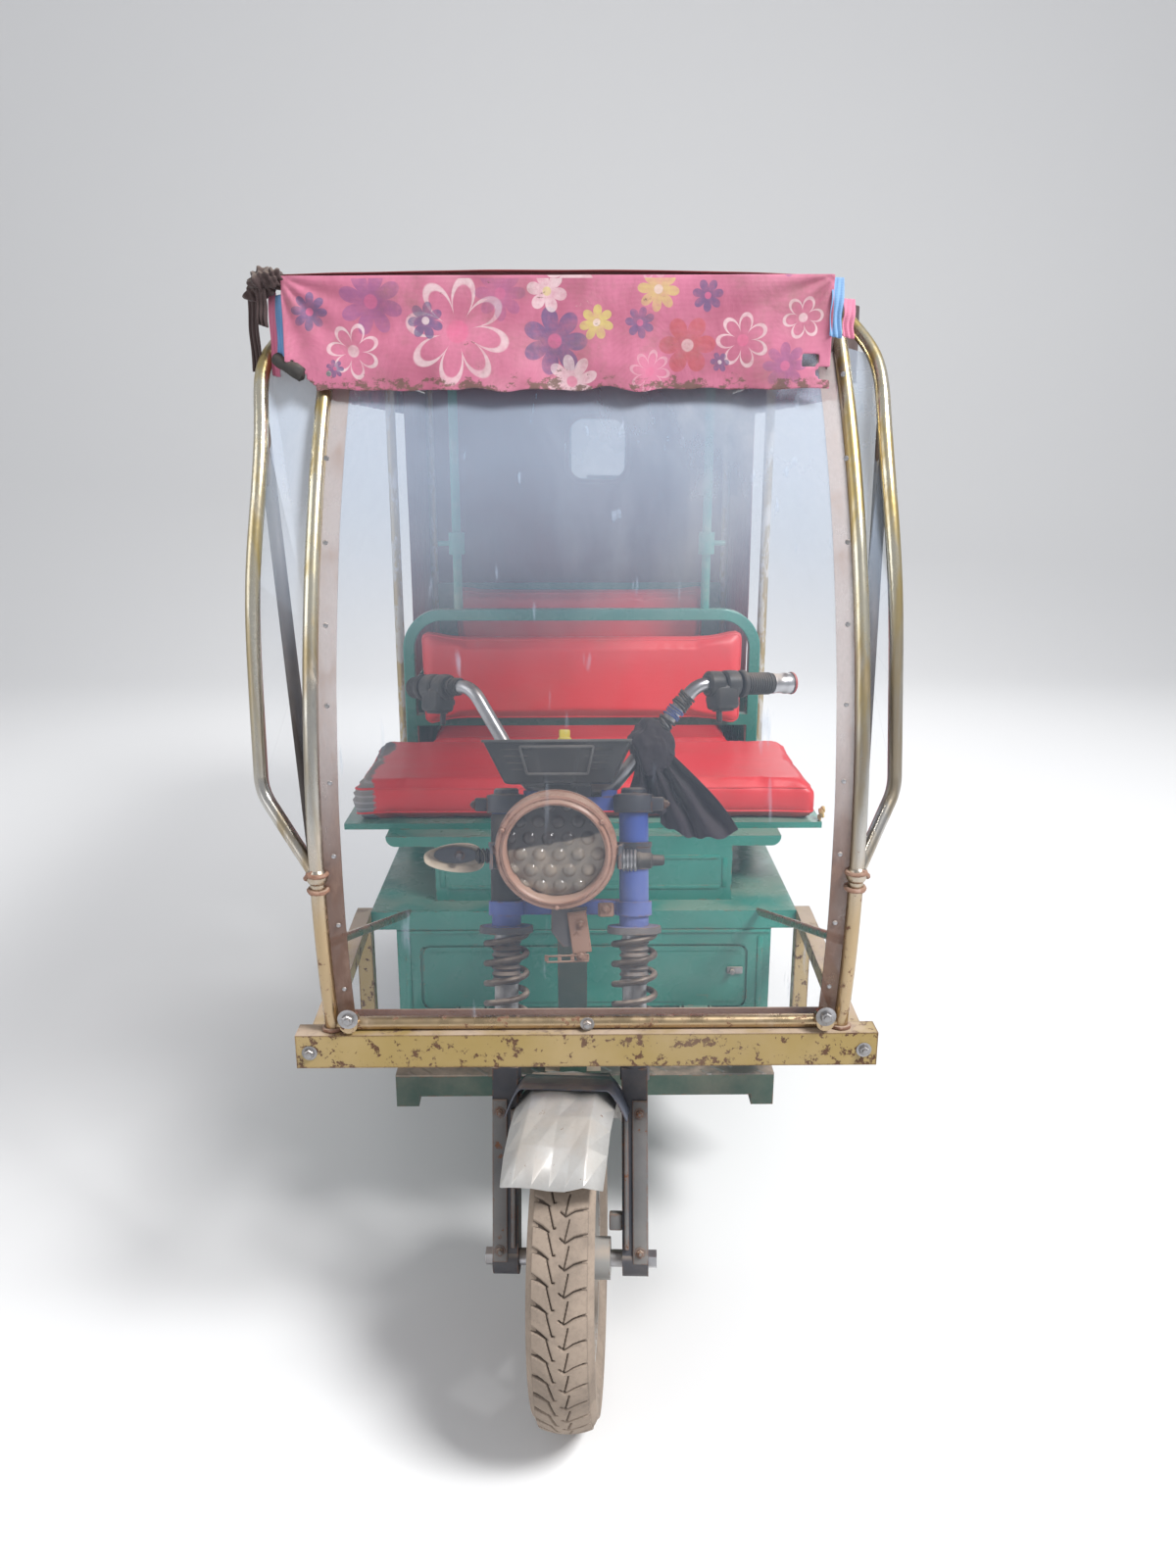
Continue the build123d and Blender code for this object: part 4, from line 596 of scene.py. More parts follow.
# %% Stuff the pads
def stuff(frames=16):
    """Blows the pads up together and keeps each point within its pad's cap."""
    rest = {name: [v.co.copy() for v in pad.data.vertices] for name, pad in pads.items()}
    for pad in pads.values():
        cloth = pad.modifiers.new("cover", "CLOTH")
        cloth.settings.quality = 4
        cloth.settings.tension_stiffness = 12.0
        cloth.settings.bending_stiffness = 0.6
        cloth.settings.use_pressure = True
        cloth.settings.uniform_pressure_force = 4.0
        cloth.settings.effector_weights.gravity = 0.0
        cloth.collision_settings.use_collision = False
        cloth.point_cache.frame_start = 1
        cloth.point_cache.frame_end = frames
    for number in range(1, frames + 1):
        bpy.context.scene.frame_set(number)
    for name, node, shrink, round_off, cap, fill in pad_table:
        pad = apply_all(pads[name])
        for vertex, start in zip(pad.data.vertices, rest[name]):
            move = vertex.co - start
            if move.length > cap:
                vertex.co = start + move * (cap / move.length)
    bpy.context.scene.frame_set(1)


TORN_FROM = -0.405
stuff()
for name, node, shrink, round_off, cap, fill in pad_table:
    low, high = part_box(node)
    for vertex in pads[name].data.vertices:
        end = max(0.0, abs(vertex.co.x) - 0.30) / 0.17
        crease = noise.noise(Vector((vertex.co.x * 34, vertex.co.y * 6, vertex.co.z * 6)))
        vertex.co.z += 0.0035 * end * crease - (0.010 * end ** 3 if name == "seat_pad" and vertex.co.x > 0 else 0)
        if name == "seat_pad" and vertex.co.x < TORN_FROM:
            layers = 0.006 * (0.5 + 0.5 * math.sin(vertex.co.z * 500))
            frayed = layers + 0.014 * abs(noise.noise(vertex.co * 30))
            vertex.co.x += frayed * min(1, (TORN_FROM - vertex.co.x) / 0.04)
            vertex.co.z -= 0.006 * abs(noise.noise(vertex.co * 24 + Vector((5, 0, 0))))
        vertex.co = [min(max(c, a), b) for c, a, b in zip(vertex.co, low, high)]
    pads[name].data.shade_smooth()
    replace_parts(pads[name], node)
print("stuffed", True)

# %% [markdown]
# A welt runs round each cushion where top and sides are sewn together. It is a thin bead along the
# loop that a plane cuts from the finished pad, so it follows every bulge.

# %% Welts
def welt(name, pad, point, normal, radius):
    """A bead round the pad, where the plane through the point cuts it."""
    mesh = bmesh.new()
    mesh.from_mesh(pad.data)
    cut = bmesh.ops.bisect_plane(mesh, geom=mesh.verts[:] + mesh.edges[:] + mesh.faces[:], plane_co=point,
                                 plane_no=normal)["geom_cut"]
    line = set(only(bmesh.types.BMEdge, cut))
    bmesh.ops.delete(mesh, geom=mesh.faces[:], context="FACES_ONLY")
    bmesh.ops.delete(mesh, geom=[e for e in mesh.edges if e not in line], context="EDGES")
    bmesh.ops.delete(mesh, geom=[v for v in mesh.verts if not v.link_edges], context="VERTS")
    bmesh.ops.smooth_vert(mesh, verts=mesh.verts, factor=0.5, use_axis_x=True, use_axis_y=True, use_axis_z=True)
    data = bpy.data.meshes.new(name)
    mesh.to_mesh(data)
    mesh.free()
    thing = bpy.data.objects.new(name, data)
    bpy.context.collection.objects.link(thing)
    bpy.ops.object.select_all(action="DESELECT")
    thing.select_set(True)
    bpy.context.view_layer.objects.active = thing
    bpy.ops.object.convert(target="CURVE")
    thing.data.bevel_depth = radius
    thing.data.bevel_resolution = 2
    bpy.ops.object.convert(target="MESH")
    thing.data.materials.append(finishes["red_vinyl"])
    thing.data.shade_smooth()
    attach(thing, "chassis")
    return thing


WELT_R, WELT_IN = 0.0024, 0.016
for (name, node, *_), axis in zip(pad_table, (2, 1, 2, 1)):
    low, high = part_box(node)
    normal = Vector([1.0 if i == axis else 0.0 for i in range(3)])
    for number, level in enumerate((low[axis] + WELT_IN, high[axis] - WELT_IN)):
        welt(f"{name}_welt_{number}", pads[name], normal * level, normal, WELT_R)

# %% [markdown]
# The cloth that hangs from the roof is a bought print: pink, with flowers scattered over it. The print
# is drawn in the cloth's own flat measure, kept as a UV map in metres, so it bends with the folds. One
# group draws a flower from its middle, radius, number of petals and turn.

# %% One printed flower
def flower_group():
    group = bpy.data.node_groups.new("flower", "ShaderNodeTree")
    for name, kind in (("Place", "Vector"), ("Middle", "Vector"), ("Radius", "Float"), ("Petals", "Float"),
                       ("Turn", "Float")):
        group.interface.new_socket(name, in_out="INPUT", socket_type=f"NodeSocket{kind}")
    for name in ("Petal", "Outline", "Heart"):
        group.interface.new_socket(name, in_out="OUTPUT", socket_type="NodeSocketFloat")
    source = group.nodes.new("NodeGroupInput").outputs
    drawn = Recipe(group, source["Place"])
    offset = group.nodes.new("ShaderNodeVectorMath")
    offset.operation = "SUBTRACT"
    drawn.put(offset.inputs[0], source["Place"])
    drawn.put(offset.inputs[1], source["Middle"])
    dx, dy = drawn.axis(0, offset.outputs[0]), drawn.axis(1, offset.outputs[0])
    away = group.nodes.new("ShaderNodeVectorMath")
    away.operation = "LENGTH"
    drawn.put(away.inputs[0], offset.outputs[0])
    far = drawn.maths("DIVIDE", away.outputs["Value"], source["Radius"])
    angle = drawn.plus(drawn.maths("ARCTAN2", dy, dx), source["Turn"])
    half_turns = drawn.times(drawn.times(angle, source["Petals"]), 0.5)
    lobe = drawn.maths("POWER", drawn.maths("ABSOLUTE", drawn.maths("COSINE", half_turns)), 0.55)
    rim = drawn.plus(drawn.times(lobe, 0.58), 0.42)
    inside = drawn.maths("SUBTRACT", rim, far)
    petal = drawn.step(inside, -0.02, 0.03)
    outline = drawn.times(petal, drawn.step(inside, 0.13, 0.18, 1.0, 0.0))
    heart = drawn.step(far, 0.24, 0.18)
    ends = group.nodes.new("NodeGroupOutput")
    for name, value in (("Petal", petal), ("Outline", outline), ("Heart", heart)):
        drawn.put(ends.inputs[name], value)
    return group


flower = flower_group()


def one_flower(skin, flat, u, v, radius, petals, turn):
    """The outputs of one flower on a printed or painted skin."""
    drawn = skin.tree.nodes.new("ShaderNodeGroup")
    drawn.node_tree = flower
    skin.put(drawn.inputs["Place"], flat)
    for socket, value in (("Radius", radius), ("Petals", petals), ("Turn", turn), ("Middle", (u, v, 0))):
        drawn.inputs[socket].default_value = value
    return drawn.outputs


NAVY, CREAM, YELLOW = (0.085, 0.075, 0.19), (0.70, 0.55, 0.56), (0.56, 0.50, 0.12)
PURPLE, RED_BROWN, ROSE = (0.19, 0.07, 0.22), (0.44, 0.07, 0.07), (0.62, 0.12, 0.24)
FLOWERS = [
    # drawn part, colour, heart, u, v, radius, petals, turn, strength
    ("Petal", PURPLE, ROSE, 0.118, 0.112, 0.043, 8, 0.3, 0.65),
    ("Petal", NAVY, ROSE, 0.036, 0.100, 0.024, 8, 0.1, 0.9),
    ("Outline", CREAM, CREAM, 0.092, 0.050, 0.036, 7, 0.5, 0.9),
    ("Petal", NAVY, ROSE, 0.066, 0.026, 0.012, 7, 0.0, 0.9),
    ("Outline", CREAM, ROSE, 0.232, 0.074, 0.070, 8, 0.2, 0.85),
    ("Petal", NAVY, CREAM, 0.190, 0.088, 0.024, 7, 0.4, 0.9),
    ("Petal", NAVY, ROSE, 0.362, 0.062, 0.044, 7, 0.0, 0.85),
    ("Petal", CREAM, YELLOW, 0.352, 0.124, 0.027, 6, 0.2, 0.85),
    ("Petal", CREAM, ROSE, 0.385, 0.012, 0.034, 8, 0.6, 0.8),
    ("Petal", YELLOW, CREAM, 0.418, 0.084, 0.023, 7, 0.3, 0.85),
    ("Petal", NAVY, ROSE, 0.476, 0.086, 0.020, 7, 0.5, 0.85),
    ("Petal", YELLOW, CREAM, 0.500, 0.126, 0.028, 8, 0.1, 0.7),
    ("Petal", RED_BROWN, CREAM, 0.540, 0.056, 0.038, 6, 0.0, 0.75),
    ("Petal", NAVY, ROSE, 0.566, 0.118, 0.021, 7, 0.7, 0.85),
    ("Outline", CREAM, ROSE, 0.614, 0.062, 0.036, 7, 0.4, 0.85),
    ("Petal", NAVY, CREAM, 0.584, 0.034, 0.013, 6, 0.0, 0.85),
    ("Outline", CREAM, CREAM, 0.694, 0.090, 0.028, 6, 0.9, 0.85),
    ("Petal", PURPLE, ROSE, 0.672, 0.030, 0.030, 8, 0.0, 0.6),
    ("Outline", CREAM, ROSE, 0.490, 0.024, 0.028, 8, 0.2, 0.4),
    ("Petal", PURPLE, ROSE, 0.290, 0.122, 0.034, 8, 0.0, 0.4),
]


def printed_cloth():
    skin = Finish("valance_cloth", "UV", Roughness=0.6, Sheen_Weight=0.2)
    repeat = skin.wrapped(0.745, 0.14)
    cloud = skin.noise(9.0, 5, 0.5)
    tone = skin.mix(skin.step(cloud, 0.35, 0.66), (0.57, 0.165, 0.27), (0.40, 0.10, 0.17))
    tone = skin.mix(skin.step(skin.noise(5.0, 3), 0.5, 0.75, 0.0, 0.5), tone, (0.66, 0.31, 0.38))
    rubbed = skin.step(skin.noise(45.0, 7, 0.7), 0.30, 0.62, 0.45, 0.92)
    for part, colour, heart, u, v, radius, petals, turn, strength in FLOWERS:
        drawn, ink = one_flower(skin, repeat, u, v, radius, petals, turn), skin.times(rubbed, strength)
        tone = skin.mix(skin.times(drawn[part], ink), tone, colour)
        tone = skin.mix(skin.times(drawn["Heart"], ink), tone, heart)
    up = skin.axis(1)
    hem = skin.step(up, 0.030, 0.004, 0.0, 0.16)
    stain = skin.step(skin.noise(13.0, 9, 0.7), 0.44, 0.84, 0.0, 0.75)
    torn = skin.step(skin.plus(skin.noise(34.0, 9, 0.75, (1, 1.6, 1)), hem), 0.63, 0.69, 0.0, 0.9)
    tone = skin.mix(stain, tone, (0.21, 0.12, 0.10))
    tone = skin.mix(torn, tone, (0.13, 0.075, 0.055))
    bald = skin.step(skin.noise(21.0, 9, 0.75, (1, 1.4, 1)), 0.66, 0.72, 0.0, 0.7)
    skin.feed("Base Color", skin.mix(bald, tone, (0.50, 0.40, 0.35)))
    warp = skin.wave(skin.axis(0), 4200.0)
    weft = skin.wave(up, 4200.0)
    crease = skin.noise(18.0, 5, 0.55, (1, 0.6, 1), 0.8)
    skin.bump(skin.plus(skin.times(skin.plus(warp, weft), 0.03), crease), 0.0040, 0.7)
    return skin.material


finishes["valance_cloth"] = printed_cloth()
print("flowers", len(FLOWERS))

# %% [markdown]
# A hanging cloth is a grid given by its two ends, its drop and its folds. The folds open towards the
# hem, the hem is uneven, and holes are faces taken out where the real cloth is torn.

# %% Hanging cloths
def hanging(name, start, end, drop, folds, depth, finish, uneven, steps, holes=(), pull=0.0):
    """Cloth from start to end along its top edge, with folds that are depth deep at the hem."""
    along = end - start
    outward = Vector((along.y, -along.x, 0)).normalized()
    mesh = bmesh.new()
    flat = mesh.loops.layers.uv.new("flat")
    bmesh.ops.create_grid(mesh, x_segments=steps[0], y_segments=steps[1], size=0.5)
    where = {}
    for vert in mesh.verts:
        u, v = vert.co.x + 0.5, vert.co.y + 0.5
        where[vert] = (u * along.length, v * drop)
        wander = noise.noise(Vector((u * along.length * 9, v * 1.2, len(name)))) * 0.9
        fold = math.sin(2 * math.pi * (folds * u + wander)) * (0.25 + 0.75 * (1 - v))
        for part in (u, 1 - u):
            away = part * along.length
            fan = math.sin(13 * math.atan2(1 - v, away / drop + 0.02))
            fold += pull * fan * math.exp(-math.hypot(away, (1 - v) * drop) / 0.10)
        billow = noise.noise(Vector((u * along.length * 5, v * 2.5, 3.0 + len(name))))
        edge = uneven * noise.noise(Vector((u * along.length * 22, 1.0, 7.0)))
        vert.co = start + along * u + outward * depth * (0.6 * fold + billow)
        vert.co.z += (v - 1) * drop + edge * (1 - v)
    for face in mesh.faces:
        for loop in face.loops:
            loop[flat].uv = where[loop.vert]
    torn = [f for f in mesh.faces for u, v, wide, high in holes
            if ((f.loops[0][flat].uv.x - u) / wide) ** 2 + ((f.loops[0][flat].uv.y - v) / high) ** 2
            < 1 + 0.5 * noise.noise(f.calc_center_median() * 90)]
    bmesh.ops.delete(mesh, geom=list(set(torn)), context="FACES")
    cloth = piece(name, mesh, finish, "chassis", sharp=180.0)
    return modify(thicken(cloth, 0.0014), "SUBSURF", levels=1)


VALANCE_FRONT, VALANCE_SIDE = 0.1067, 0.488
TORN_AWAY = [
    # middle of each hole in the flat cloth, then half its width and height
    (0.706, 0.034, 0.013, 0.010), (0.724, 0.018, 0.012, 0.008), (0.0, 0.0, 0.036, 0.034)]
valance = hanging("front_valance", at(-0.404, VALANCE_FRONT, 1.686), at(0.330, VALANCE_FRONT, 1.689), 0.144, 5,
                  0.0045, "valance_cloth", 0.006, steps=(190, 36), pull=1.3, holes=TORN_AWAY)
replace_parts(valance, "valances")
for side, half in SIDES:
    ends = [at(side * VALANCE_SIDE, 0.805, 1.650), at(side * VALANCE_SIDE, 2.116, 1.650)]
    if side < 0:
        ends.reverse()
    cloth = hanging(f"side_valance_{half}", *ends, 0.094, 26, 0.0034, "valance_cloth", 0.002, steps=(260, 14))
print("valance", round(area_of(valance), 3))

# %% [markdown]
# The steering parts were made about the fork line and then leaned and turned. The same turn is kept as
# a matrix, so their finer pieces are built upright about the fork, where z runs up it from the axle.

# %% The fork line
RAKE, STEERED = math.radians(17.0), math.radians(-4.0)
AXLE_Z, TUBE_X = 0.245, 0.101
OFFSET = Vector((0, 0.045, 0))
fork = (placed(-0.022, 0, AXLE_Z) @ Matrix.Rotation(-RAKE, 4, "X") @ Matrix.Translation(OFFSET)
        @ Matrix.Rotation(STEERED, 4, "Z") @ Matrix.Translation(-OFFSET))
level = Matrix.Rotation(RAKE, 4, "X")
forward = level @ turned(90, "X")
over_wheel = fork @ Matrix.Rotation(STEERED, 4, "Z") @ level
print("fork axle at", tuple(round(c, 4) for c in fork.to_translation()))

# %% [markdown]
# A profile spun about an axis makes tyres, rims, lamps and bolts. The profile is a list of radius and
# place along the axis, and the spin closes on itself.

# %% Spun shapes
TO_X = turned(90, "Y")


def bead_ring(radius, half, count, along=0.0):
    """A small round section at a radius, to be spun closed."""
    return [(radius + half * math.cos(a), along + half * math.sin(a)) for a in
            (math.tau * k / count for k in range(count))]


def spun(mesh, profile, steps=48, place=Matrix.Identity(4), closed=False):
    """Spins (radius, along) points about z, then puts the result in place."""
    verts = [mesh.verts.new((radius, 0, along)) for radius, along in profile]
    pairs = list(zip(verts, verts[1:])) + ([(verts[-1], verts[0])] if closed else [])
    edges = [mesh.edges.new(pair) for pair in pairs]
    before = set(mesh.verts) - set(verts)
    bmesh.ops.spin(mesh, geom=verts + edges, cent=(0, 0, 0), axis=(0, 0, 1), angle=math.tau, steps=steps,
                   use_merge=True)
    made = [v for v in mesh.verts if v not in before]
    bmesh.ops.remove_doubles(mesh, verts=made, dist=1e-6)
    made = [v for v in mesh.verts if v not in before]
    bmesh.ops.transform(mesh, matrix=place, verts=made)
    return made


def block(mesh, size, place=Matrix.Identity(4), round_off=0.0, segments=2):
    """A block with its edges rounded."""
    made = bmesh.ops.create_cube(mesh, size=1.0)["verts"]
    bmesh.ops.scale(mesh, vec=size, verts=made)
    if round_off:
        made = rounded(mesh, list({e for v in made for e in v.link_edges}), round_off, segments)
    made = list(set(made))
    bmesh.ops.transform(mesh, matrix=place, verts=made)
    return made


print("spun shapes ready")

# %% [markdown]
# Each tyre is a spun carcass with ribs moulded in its sides, under a tread. One pitch of tread is a
# grid pressed down along its grooves: broad wedges from one shoulder, long slits, and hooked grooves
# on the other side. A spin copies it round the wheel. How deep each point lies is kept, and the finish
# uses it to paint shade into the grooves.

# %% Tyres
CARCASS = [
    # from one bead to the crown: radius, and place across
    (0.1665, -0.033), (0.157, -0.034), (0.157, -0.0315), (0.1665, -0.0335), (0.170, -0.037), (0.174, -0.0385),
    (0.176, -0.0375), (0.190, -0.0445), (0.192, -0.0463), (0.195, -0.0466), (0.197, -0.0452), (0.206, -0.0470),
    (0.217, -0.0468), (0.219, -0.0480), (0.222, -0.0478), (0.224, -0.0452), (0.231, -0.0415), (0.2335, -0.0375),
    (0.2350, -0.028), (0.2360, -0.014), (0.2365, 0.0)]
TREAD_R, TREAD_HALF, CUT_DEEP, PITCHES = 0.244, 0.0388, 0.0052, 43
PITCH = math.tau * TREAD_R / PITCHES
CUTS = [
    # groove half widths at its start and end, then its points: across, and along the tread
    (0.0042, 0.0009, (-0.0390, 0.0000), (-0.0270, -0.0050), (-0.0156, -0.0125)),
    (0.0009, 0.0010, (-0.0173, 0.0220), (-0.0094, -0.0083), (-0.0065, -0.0075)),
    (0.0010, 0.0012, (0.0000, 0.0146), (0.0073, 0.0084), (0.0200, 0.0166)),
    (0.0012, 0.0020, (0.0200, 0.0166), (0.0300, 0.0196), (0.0390, 0.0206)),
    (0.0007, 0.0007, (0.0125, 0.0396), (0.0063, 0.0106)),
]


def groove(across, along):
    """1 in the middle of a groove and 0 on the rubber, with soft walls between."""
    point, deepest = Vector((across, along)), 0.0
    for first, last, *line in CUTS:
        for number, (start, end) in enumerate(zip(line, line[1:])):
            start, end = Vector(start), Vector(end)
            run = end - start
            for shift in (-PITCH, 0.0, PITCH):
                here = point - start - Vector((0, shift))
                share = min(1.0, max(0.0, here.dot(run) / run.length_squared))
                half = first + (last - first) * (number + share) / (len(line) - 1)
                gap = (here - run * share).length - half
                deepest = max(deepest, min(1.0, max(0.0, 0.5 - gap / 0.0016)))
    return deepest


def tread_pitch(mesh, hand):
    """One pitch of tread at the top of the wheel, with x across and z outward."""
    cut = mesh.verts.layers.float.new("cut")
    bmesh.ops.create_grid(mesh, x_segments=64, y_segments=26, size=0.5)
    for vert in mesh.verts:
        u, along = 2 * vert.co.x, vert.co.y * PITCH
        across = TREAD_HALF * min(1.0, abs(u) / 0.97) * (1 if u > 0 else -1)
        vert[cut] = groove(across, along)
        radius = TREAD_R - 0.0070 * abs(across / TREAD_HALF) ** 2.2 - CUT_DEEP * vert[cut]
        if abs(u) > 0.985:
            radius, vert[cut] = 0.2310, 0.0
        turn = along / TREAD_R
        vert.co = (hand * across, radius * math.sin(turn), radius * math.cos(turn))


def tyre_piece(name, node, body, place, hand=1):
    mesh = bmesh.new()
    mesh.verts.layers.float.new("cut")
    spun(mesh, CARCASS + [(r, -x) for r, x in CARCASS[-2::-1]], 96, closed=True)
    tread = bmesh.new()
    tread_pitch(tread, hand)
    bmesh.ops.spin(tread, geom=tread.verts[:] + tread.edges[:] + tread.faces[:], cent=(0, 0, 0), axis=(1, 0, 0),
                   angle=math.tau * (PITCHES - 1) / PITCHES, steps=PITCHES - 1, use_duplicate=True)
    bmesh.ops.remove_doubles(tread, verts=tread.verts, dist=1e-5)
    bmesh.ops.transform(mesh, matrix=TO_X, verts=mesh.verts)
    blocks = bpy.data.meshes.new("tread")
    tread.to_mesh(blocks)
    tread.free()
    mesh.from_mesh(blocks)
    bpy.data.meshes.remove(blocks)
    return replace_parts(piece(name, mesh, "tyre", body, place, sharp=50.0), node)


def road_tyre():
    """Dusty rubber, worn darker at the edges of the blocks, with painted shade down in the grooves."""
    skin = Finish("tyre", Roughness=0.9)
    cover = skin.step(skin.noise(9.0, 9, 0.68), 0.30, 0.62, 0.62, 0.95)
    grit = skin.step(skin.noise(160.0, 6, 0.7), 0.45, 0.7, 0.0, 0.35)
    dusty = skin.mix(grit, (0.36, 0.285, 0.225), (0.22, 0.17, 0.135))
    worn = skin.edges(0.0025)
    cover = skin.times(cover, skin.step(worn, 0.0, 1.0, 1.0, 0.62))
    cut = skin.tree.nodes.new("ShaderNodeAttribute")
    cut.attribute_name = "cut"
    # Deeper points in the grooves are painted darker: painted shade.
    low = skin.step(cut.outputs["Fac"], 0.3, 0.9, 0.0, 0.85)
    skin.feed("Base Color", skin.mix(low, skin.mix(cover, (0.028, 0.026, 0.025), dusty), (0.06, 0.045, 0.038)))
    skin.bump(skin.noise(260.0, 5, 0.7), 0.0008, 0.5)
    return skin.material


WHEELBASE, TRACK_HALF = 1.76, 0.43
finishes["tyre"] = road_tyre()
tyre_piece("front_tyre_tread", "front_tyre", "front_wheel", fork)
for side, half in SIDES:
    tyre_piece(f"rear_tyre_tread_{half}", f"rear_tyre_{half}", f"rear_wheel_{half}",
               placed(side * TRACK_HALF, WHEELBASE, AXLE_Z), side)

# %% [markdown]
# The front mudguard has been bent and hammered back. A coarse grid is wrapped over the wheel, its
# points are pushed about, and the flat facets that this leaves are kept, with narrow rounded folds.

# %% Mudguard
def mudguard():
    mesh = bmesh.new()
    bmesh.ops.create_grid(mesh, x_segments=6, y_segments=9, size=1.0)
    for vert in mesh.verts:
        u, v = vert.co.x, vert.co.y
        angle = math.radians(-19.5 + 52.0 * v)
        across = 0.0735 * u
        down = 0.024 * max(0.0, (abs(u) - 0.74) / 0.26) ** 1.2
        push = 0.0075 * noise.noise(Vector((u * 2.3, v * 4.1, 2.0))) - 0.002
        front = max(0.0, v - 0.55) * 0.012 * math.sin(u * 4.0 + 1.0)
        reach = 0.2832 - down + push - front
        across += 0.004 * noise.noise(Vector((u * 2.0, v * 5.0, 9.0)))
        vert.co = (across, -reach * math.sin(angle), reach * math.cos(angle))
    bmesh.ops.triangulate(mesh, faces=mesh.faces[:], quad_method="ALTERNATE")
    rounded(mesh, [e for e in mesh.edges if not e.is_boundary], 0.0020)
    guard = piece("mudguard_sheet", mesh, "mudguard", "steering", over_wheel, sharp=60.0)
    thicken(guard, 0.0018)
    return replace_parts(guard, "front_mudguard")


guard = mudguard()
mesh = bmesh.new()
bmesh.ops.create_grid(mesh, x_segments=40, y_segments=3, size=1.0)
for vert in mesh.verts:
    u, angle = vert.co.x, math.radians(-8.0 + 5.5 * vert.co.y)
    reach = 0.2880 - 0.050 * max(0.0, (abs(u) - 0.70) / 0.30) ** 1.5
    vert.co = (0.094 * u, -reach * math.sin(angle), reach * math.cos(angle))
finishes["strap_paint"] = worn_paint("strap_paint", (0.06, 0.072, 0.105), (0.12, 0.135, 0.17), 0.8, 0.5, 0.4)
thicken(piece("guard_strap", mesh, "strap_paint", "steering", over_wheel), 0.0025)
print("mudguard faces", len(guard.data.polygons))

# %% [markdown]
# The lamp's lens is one moulded glass with round bumps, sunk behind a deep rolled rim. Its upper part
# is painted near-black as the painted shadow of the rim above it, and the rest is dim with dust.

# %% Headlamp
LAMP = fork @ spot(-0.010, -0.149, 0.641) @ forward
LENS_R = 0.0726


def lens_glass():
    skin = Finish("lens", Roughness=0.10, IOR=1.45)
    line = LAMP.to_translation().z
    # The near-black upper part is the painted shadow of the rim, its edge slanting across the lens.
    edge = skin.plus(skin.axis(2), skin.times(skin.axis(0), -0.22))
    black = skin.step(edge, line + 0.020, line + 0.025)
    patch = skin.step(skin.noise(24.0, 6, 0.6), 0.35, 0.65)
    dusty = skin.mix(patch, (0.27, 0.215, 0.165), (0.17, 0.145, 0.12))
    tone = skin.mix(black, dusty, (0.030, 0.022, 0.019))
    toward_brown = skin.step(skin.noise(42.0, 8, 0.7), 0.55, 0.85, 0.0, 0.35)
    skin.feed("Base Color", skin.mix(toward_brown, tone, (0.20, 0.15, 0.11)))
    return skin.material


def bumpy_lens():
    mesh = bmesh.new()
    bmesh.ops.create_grid(mesh, x_segments=120, y_segments=120, size=LENS_R)
    bmesh.ops.delete(mesh, geom=[v for v in mesh.verts if v.co.length > LENS_R - 0.0004], context="VERTS")
    pitch = 0.0285
    middles = [Vector(((i + 0.5 * (j % 2)) * pitch + 0.004, j * pitch * 0.87 - 0.006, 0))
               for i in range(-4, 5) for j in range(-4, 5)]
    for vert in mesh.verts:
        near = min((vert.co - middle).length for middle in middles)
        bump = 0.0062 * math.sqrt(max(0.0, 1 - (near / 0.0098) ** 2))
        vert.co.z = -0.009 - vert.co.length ** 2 + bump
    lens = piece("lamp_lens_moulded", mesh, "lens", "steering", LAMP, sharp=75.0)
    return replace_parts(lens, "headlamp_lens")


finishes["lens"] = lens_glass()
bumpy_lens()
mesh = bmesh.new()
spun(mesh, [(0.0725, -0.020), (0.0725, 0.0020), (0.0740, 0.0055), (0.0768, 0.0070), (0.0798, 0.0054),
            (0.0812, 0.0024), (0.0838, 0.0034), (0.0872, 0.0022), (0.0895, -0.0020), (0.0895, -0.0080),
            (0.0884, -0.0090), (0.0884, 0.0003), (0.0785, 0.0003), (0.0785, -0.020)], 80, LAMP, closed=True)
spun(mesh, [(0.0880, -0.019), (0.0896, -0.0195), (0.0896, -0.0222), (0.0870, -0.0230)], 72, LAMP, closed=True)
for turn in (35, 155, 270):
    spun(mesh, [(0.0, 0.0075), (0.0022, 0.0075), (0.0034, 0.0060), (0.0036, 0.0)], 12,
         LAMP @ turned(turn, "Z") @ spot(0.0838, 0, 0))
piece("lamp_rim", mesh, "lamp_shell", "steering", sharp=40.0)
print("lamp at", tuple(round(c, 3) for c in LAMP.to_translation()))

# %% [markdown]
# The meter housing is a tapered plastic box, wider at the top, with a sunk panel in its front face and
# moulded ridges beside it. A yellow key cap stands on it.

